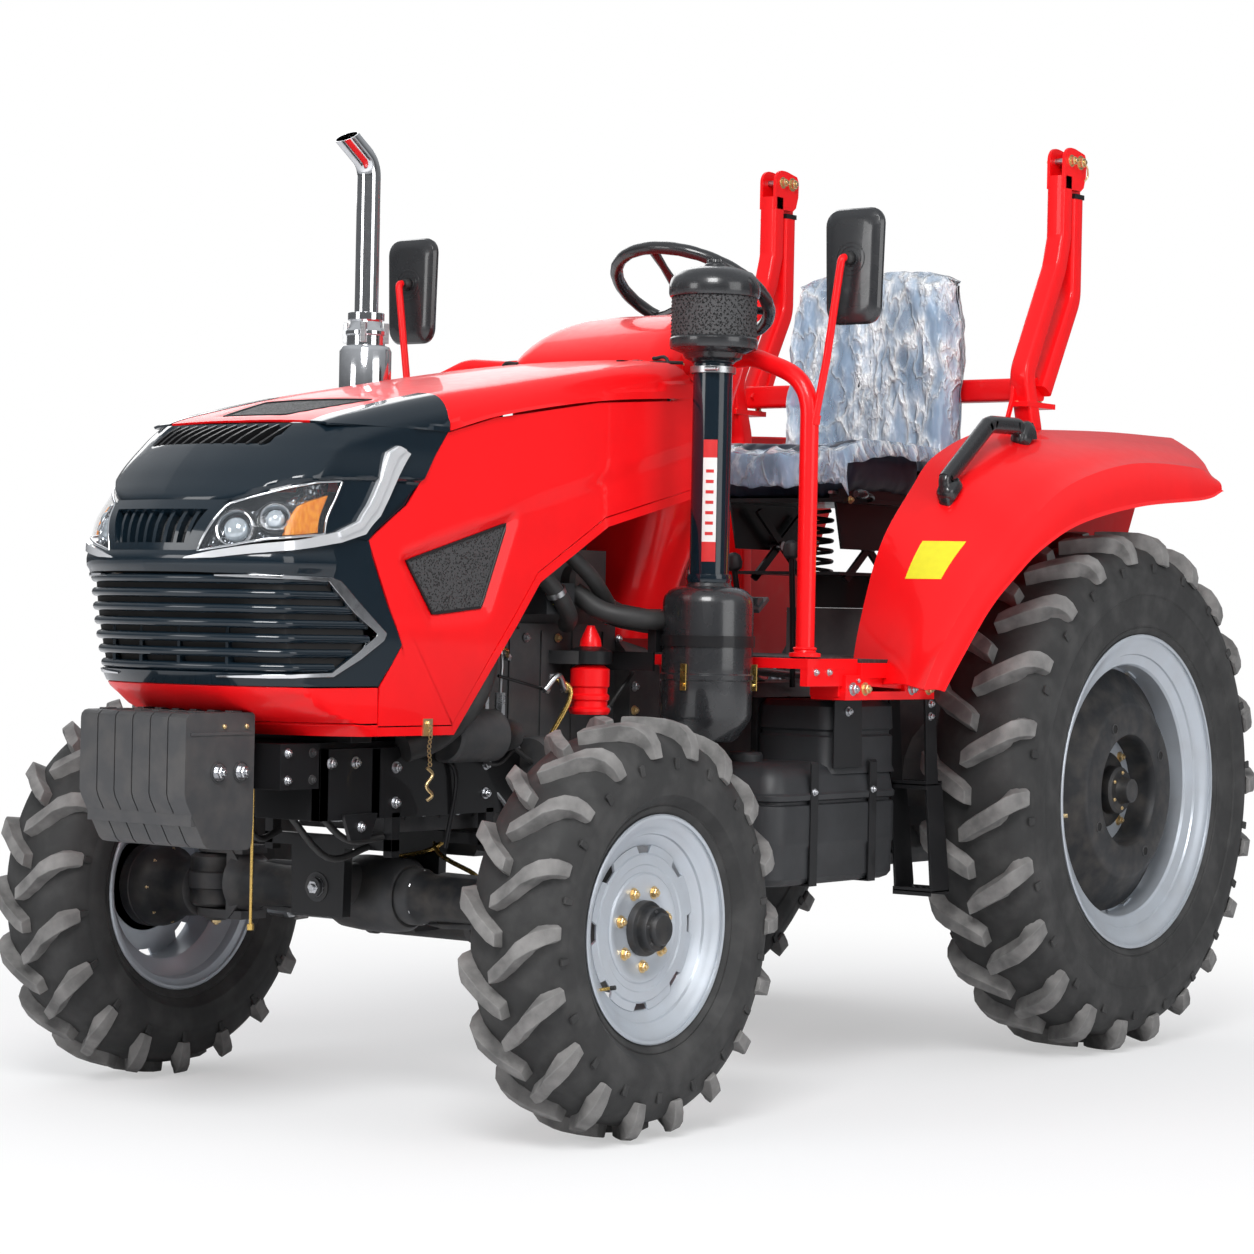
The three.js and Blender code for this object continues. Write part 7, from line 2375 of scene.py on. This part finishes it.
def studio_world(scene, look):
    """Even light; a white background; and for gloss a band that darkens towards the horizon."""
    scene.world = bpy.data.worlds.new("studio")
    air = Air(scene.world)
    rays = lambda kind: air.node("ShaderNodeLightPath", out=kind)
    way = air.node("ShaderNodeTexCoord", out="Generated")
    height = air.node("ShaderNodeSeparateXYZ", None, {0: way}, out="Z")
    band = air.node("ShaderNodeMapRange", None, {"Value": height, "From Min": 0.02, "From Max": 0.6,
                                                 "To Min": 0.08, "To Max": 0.62})
    sky = air.node("ShaderNodeBackground", None, {"Color": (0.95, 0.97, 1.0, 1), "Strength": look.sky})
    gloss = air.node("ShaderNodeBackground", None, {"Color": (0.93, 0.96, 1.0, 1), "Strength": band})
    white = air.node("ShaderNodeBackground", None, {"Color": (1, 1, 1, 1), "Strength": 1.0})
    lit = air.node("ShaderNodeMixShader", None, {0: rays("Is Glossy Ray"), 1: sky, 2: gloss})
    seen = air.node("ShaderNodeMixShader", None, {0: rays("Is Camera Ray"), 1: lit, 2: white})
    seen = air.node("ShaderNodeMixShader", None, {0: rays("Is Transmission Ray"), 1: seen, 2: white})
    output = air.tree.nodes.new("ShaderNodeOutputWorld")
    air.feed(output.inputs[0], seen)


def studio_floor(look):
    """A wide pale sheet that keeps the shadow near the wheels and fades to white further out."""
    bpy.ops.mesh.primitive_plane_add(size=160, location=(0, 0, 0))
    ground = bpy.context.active_object
    ground.name = "studio_floor"
    f = Finish("studio_floor")
    f.set(base_color=f.mix(f.noise(0.8, 2.0), look.floor, shade(look.floor, 1.02)),
          roughness=0.8 + 0.1 * f.noise(3.0),
          specular_ior_level=0.1)
    output = f.tree.nodes["Material Output"]
    spot = f.node("ShaderNodeTexCoord", out="Object")
    away = f.node("ShaderNodeVectorMath", {"operation": "LENGTH"}, {0: spot}, out="Value")
    far = f.node("ShaderNodeMapRange", {"interpolation_type": "SMOOTHSTEP"},
                 {"Value": away, "From Min": 0.9, "From Max": 3.6, "To Min": 0.45, "To Max": 1.0})
    glow = f.node("ShaderNodeEmission", None, {"Color": (1, 1, 1, 1), "Strength": 1.0})
    seen = f.node("ShaderNodeLightPath", out="Is Camera Ray")
    f.feed(output.inputs[0], f.node("ShaderNodeMixShader", None,
                                    {0: far * seen, 1: Wire(f, f.shader.outputs[0]), 2: glow}))
    ground.data.materials.append(f.material)


def stage(context):
    scene = context.scene
    look = scene.tractor_stage
    studio_floor(look)
    studio_world(scene, look)
    for name, place, size, power in (("key", (3.6, -6.0, 6.0), 3.0, look.key),
                                     ("fill", (7.5, -0.5, 2.8), 4.0, look.fill),
                                     ("rim", (-5.0, 3.5, 4.5), 4.0, look.fill * 0.8),
                                     ("nose", (-2.0, -7.5, 2.6), 2.5, look.fill * 0.7)):
        lamp = bpy.data.lights.new(name, "AREA")
        lamp.energy = power
        lamp.size = size
        obj = bpy.data.objects.new(name, lamp)
        scene.collection.objects.link(obj)
        obj.location = place
        obj.rotation_euler = (Vector((0, 0, 0.9)) - Vector(place)).to_track_quat("-Z", "Y").to_euler()
    camera = bpy.data.cameras.new("view")
    camera.lens = look.lens
    camera.sensor_width = 36
    camera.shift_x, camera.shift_y = -0.0208, 0.0074
    camera.clip_end = 200
    obj = bpy.data.objects.new("view", camera)
    scene.collection.objects.link(obj)
    azimuth, elevation, roll = (radians(a) for a in (look.azimuth, look.elevation, look.roll))
    back = Vector((sin(azimuth) * cos(elevation), -cos(azimuth) * cos(elevation), sin(elevation)))
    right = Vector((cos(azimuth), sin(azimuth), 0))
    up = back.cross(right)
    turned_right = right * cos(roll) + up * sin(roll)
    turned_up = back.cross(turned_right)
    target = Vector((-0.0115, -0.09, 0.9648))
    place = Matrix((turned_right, turned_up, back)).transposed().to_4x4()
    place.translation = target + back * look.distance
    obj.matrix_world = place
    scene.camera = obj
    scene.view_settings.view_transform = "Standard"


# ---- settings, operators and panel ----

def colour(name, description, default):
    return bpy.props.FloatVectorProperty(name=name, description=description, default=default, size=3, min=0,
                                         max=1,
                                         subtype="COLOR")


def size(name, description, default):
    return bpy.props.FloatProperty(name=name, description=description, default=default, min=0, unit="LENGTH")


class TractorColours(bpy.types.PropertyGroup):
    """Colours of the tractor's finishes."""
    # Darkened, the red also paints shade on the fenders' inner walls and brackets.
    red_paint: colour("Red paint", "Hood, fenders, rails and roll-over bar", (0.90, 0.004, 0.007))
    # The gloss black's blue tint is painted reflection of the sky.
    gloss_black: colour("Gloss black", "Nose, grille and intake pipe", (0.006, 0.013, 0.020))
    satin_black: colour("Satin black", "Frame, steps and brackets", (0.011, 0.011, 0.012))
    casting: colour("Castings", "Painted castings and weights", (0.010, 0.011, 0.013))
    plastic: colour("Black plastic", "Tank, mirrors, handles and caps", (0.019, 0.020, 0.022))
    rubber: colour("Rubber", "Tyre carcass", (0.022, 0.022, 0.022))
    # Lightened, it also colours the lug tips: partly dust, partly painted highlight.
    rubber_dust: colour("Tyre dust", "Dust on the lugs", (0.25, 0.243, 0.236))
    dust: colour("Dust", "Dust on painted parts", (0.26, 0.22, 0.18))
    silver: colour("Wheel silver", "Wheel rims", (0.50, 0.54, 0.59))
    chrome: colour("Chrome", "Exhaust and nose trim", (0.80, 0.81, 0.83))
    gold: colour("Yellow zinc", "Passivated bolts", (0.80, 0.56, 0.24))
    seat: colour("Seat", "Seat vinyl", (0.012, 0.017, 0.03))
    label_yellow: colour("Label", "Blank labels", (0.86, 0.80, 0.02))


class TractorFrontTyres(bpy.types.PropertyGroup):
    """Tread of the front tyres."""
    lugs: bpy.props.IntProperty(name="Lugs", description="Lugs on each side of a tyre", default=18, min=6)
    lug_depth: size("Lug depth", "From the carcass to the top of a lug", 0.026)
    lug_width: size("Lug width", "Across the top of a lug", 0.030)


class TractorRearTyres(bpy.types.PropertyGroup):
    """Tread of the rear tyres."""
    lugs: bpy.props.IntProperty(name="Lugs", description="Lugs on each side of a tyre", default=22, min=6)
    lug_depth: size("Lug depth", "From the carcass to the top of a lug", 0.032)
    lug_width: size("Lug width", "Across the top of a lug", 0.038)


class TractorHood(bpy.types.PropertyGroup):
    """Details of the hood."""
    bars: bpy.props.IntProperty(name="Grille bars", description="Level bars across the lower grille",
                                default=7, min=3)


class TractorSeat(bpy.types.PropertyGroup):
    """Details of the seat."""
    swell: size("Swell", "How far the foam stands out of its cut shape", 0.014)


class TractorStage(bpy.types.PropertyGroup):
    """Floor, lamps and camera."""
    floor: colour("Floor", "Colour of the studio floor", (0.86, 0.86, 0.87))
    sky: bpy.props.FloatProperty(name="Sky", description="Strength of the even light", default=0.55, min=0)
    key: bpy.props.FloatProperty(name="Key lamp", description="Power of the main lamp", default=480, min=0,
                                 unit="POWER")
    fill: bpy.props.FloatProperty(name="Fill lamps", description="Power of the other lamps", default=130,
                                  min=0, unit="POWER")
    lens: bpy.props.FloatProperty(name="Lens", description="Focal length in millimetres", default=93.97,
                                  min=1)
    azimuth: bpy.props.FloatProperty(name="Azimuth",
                                     description="Camera's turn round the tractor, in degrees", default=36.78)
    elevation: bpy.props.FloatProperty(name="Elevation",
                                       description="Camera's height above level, in degrees", default=0.33)
    roll: bpy.props.FloatProperty(name="Roll", description="Camera's roll, in degrees", default=1.17)
    distance: size("Distance", "From the camera to the tractor's middle", 7.4816)


def both_sides(maker, context):
    for name, side in SIDES:
        maker(context, name, side)


def build_tyres(context):
    front, rear = context.scene.tractor_front_tyres, context.scene.tractor_rear_tyres
    for name, _ in SIDES:
        tyre("front_tyre_" + name, "front_wheel_" + name, *FRONT_TYRE, front)
        tyre("rear_tyre_" + name, "rear_wheel_" + name, *REAR_TYRE, rear)


def build_wheels(context):
    both_sides(front_wheel, context)
    both_sides(rear_wheel, context)


def build_running_gear(context):
    front_axle(context)
    front_frame(context)
    front_weights(context)


def build_engine(context):
    engine(context)
    radiator(context)
    drive_line(context)


def build_hood(context):
    hood_top(context)
    both_sides(hood_side, context)
    nose_frame(context)
    chin(context)
    grille(context, context.scene.tractor_hood.bars)
    both_sides(headlamp, context)


def build_station(context):
    cowl(context)
    floor(context)
    both_sides(steps, context)
    tank(context)


def build_fenders(context):
    both_sides(fender, context)
    both_sides(handrail, context)


def build_pipes(context):
    air_cleaner(context)
    exhaust(context)


def operator(idname, label, doc, build):
    def execute(self, context):
        build(context)
        return {"FINISHED"}
    name = "TRACTOR_OT_" + idname
    return type(name, (bpy.types.Operator,), {"bl_idname": "tractor." + idname, "bl_label": label,
                                              "__doc__": doc,
                                              "bl_options": {"REGISTER", "UNDO"}, "execute": execute})


STEPS = [operator(*row) for row in (
    ("stage", "Stage", "Make the floor, the lamps and the camera", stage),
    ("tyres", "Tyres", "Make the four traction tyres", build_tyres),
    ("wheels", "Wheels", "Make the rims, hubs, wheel weights and their bolts", build_wheels),
    ("running_gear", "Running gear", "Make the front axle, steering, frame and weights", build_running_gear),
    ("engine", "Engine", "Make the engine, radiator and drive line", build_engine),
    ("hood", "Hood", "Make the hood's panels, nose, grille and lamps", build_hood),
    ("station", "Driving station", "Make the cowl, steering wheel, floor, steps and tanks", build_station),
    ("fenders", "Fenders and rails", "Make the fenders, handles, rails and mirrors", build_fenders),
    ("seat", "Seat", "Make the seat, its pads and its packing film", seat),
    ("pipes", "Air cleaner and exhaust", "Make the air cleaner and the exhaust", build_pipes),
    ("rops", "Roll-over bar", "Make the two posts and the folded hoop", rops),
    ("hitch", "Hitch", "Make the links, arms and rods at the rear", hitch),
)]


class TRACTOR_PT_parts(bpy.types.Panel):
    """Lists the operators that make the tractor."""
    bl_idname = "TRACTOR_PT_parts"
    bl_label = "Farm tractor"
    bl_space_type = "VIEW_3D"
    bl_region_type = "UI"
    bl_category = "Farm tractor"

    def draw(self, context):
        column = self.layout.column()
        for step in STEPS:
            column.operator(step.bl_idname)


GROUPS = {"tractor_colours": TractorColours, "tractor_front_tyres": TractorFrontTyres,
          "tractor_rear_tyres": TractorRearTyres, "tractor_hood": TractorHood, "tractor_seat": TractorSeat,
          "tractor_stage": TractorStage}
CLASSES = [*GROUPS.values(), *STEPS, TRACTOR_PT_parts]


def register():
    for made in CLASSES:
        bpy.utils.register_class(made)
    for name, group in GROUPS.items():
        setattr(bpy.types.Scene, name, bpy.props.PointerProperty(type=group))


def unregister():
    for name in GROUPS:
        delattr(bpy.types.Scene, name)
    for made in reversed(CLASSES):
        bpy.utils.unregister_class(made)


def main():
    register()
    for step in STEPS:
        group, name = step.bl_idname.split(".")
        getattr(getattr(bpy.ops, group), name)()


if __name__ == "__main__":
    main()
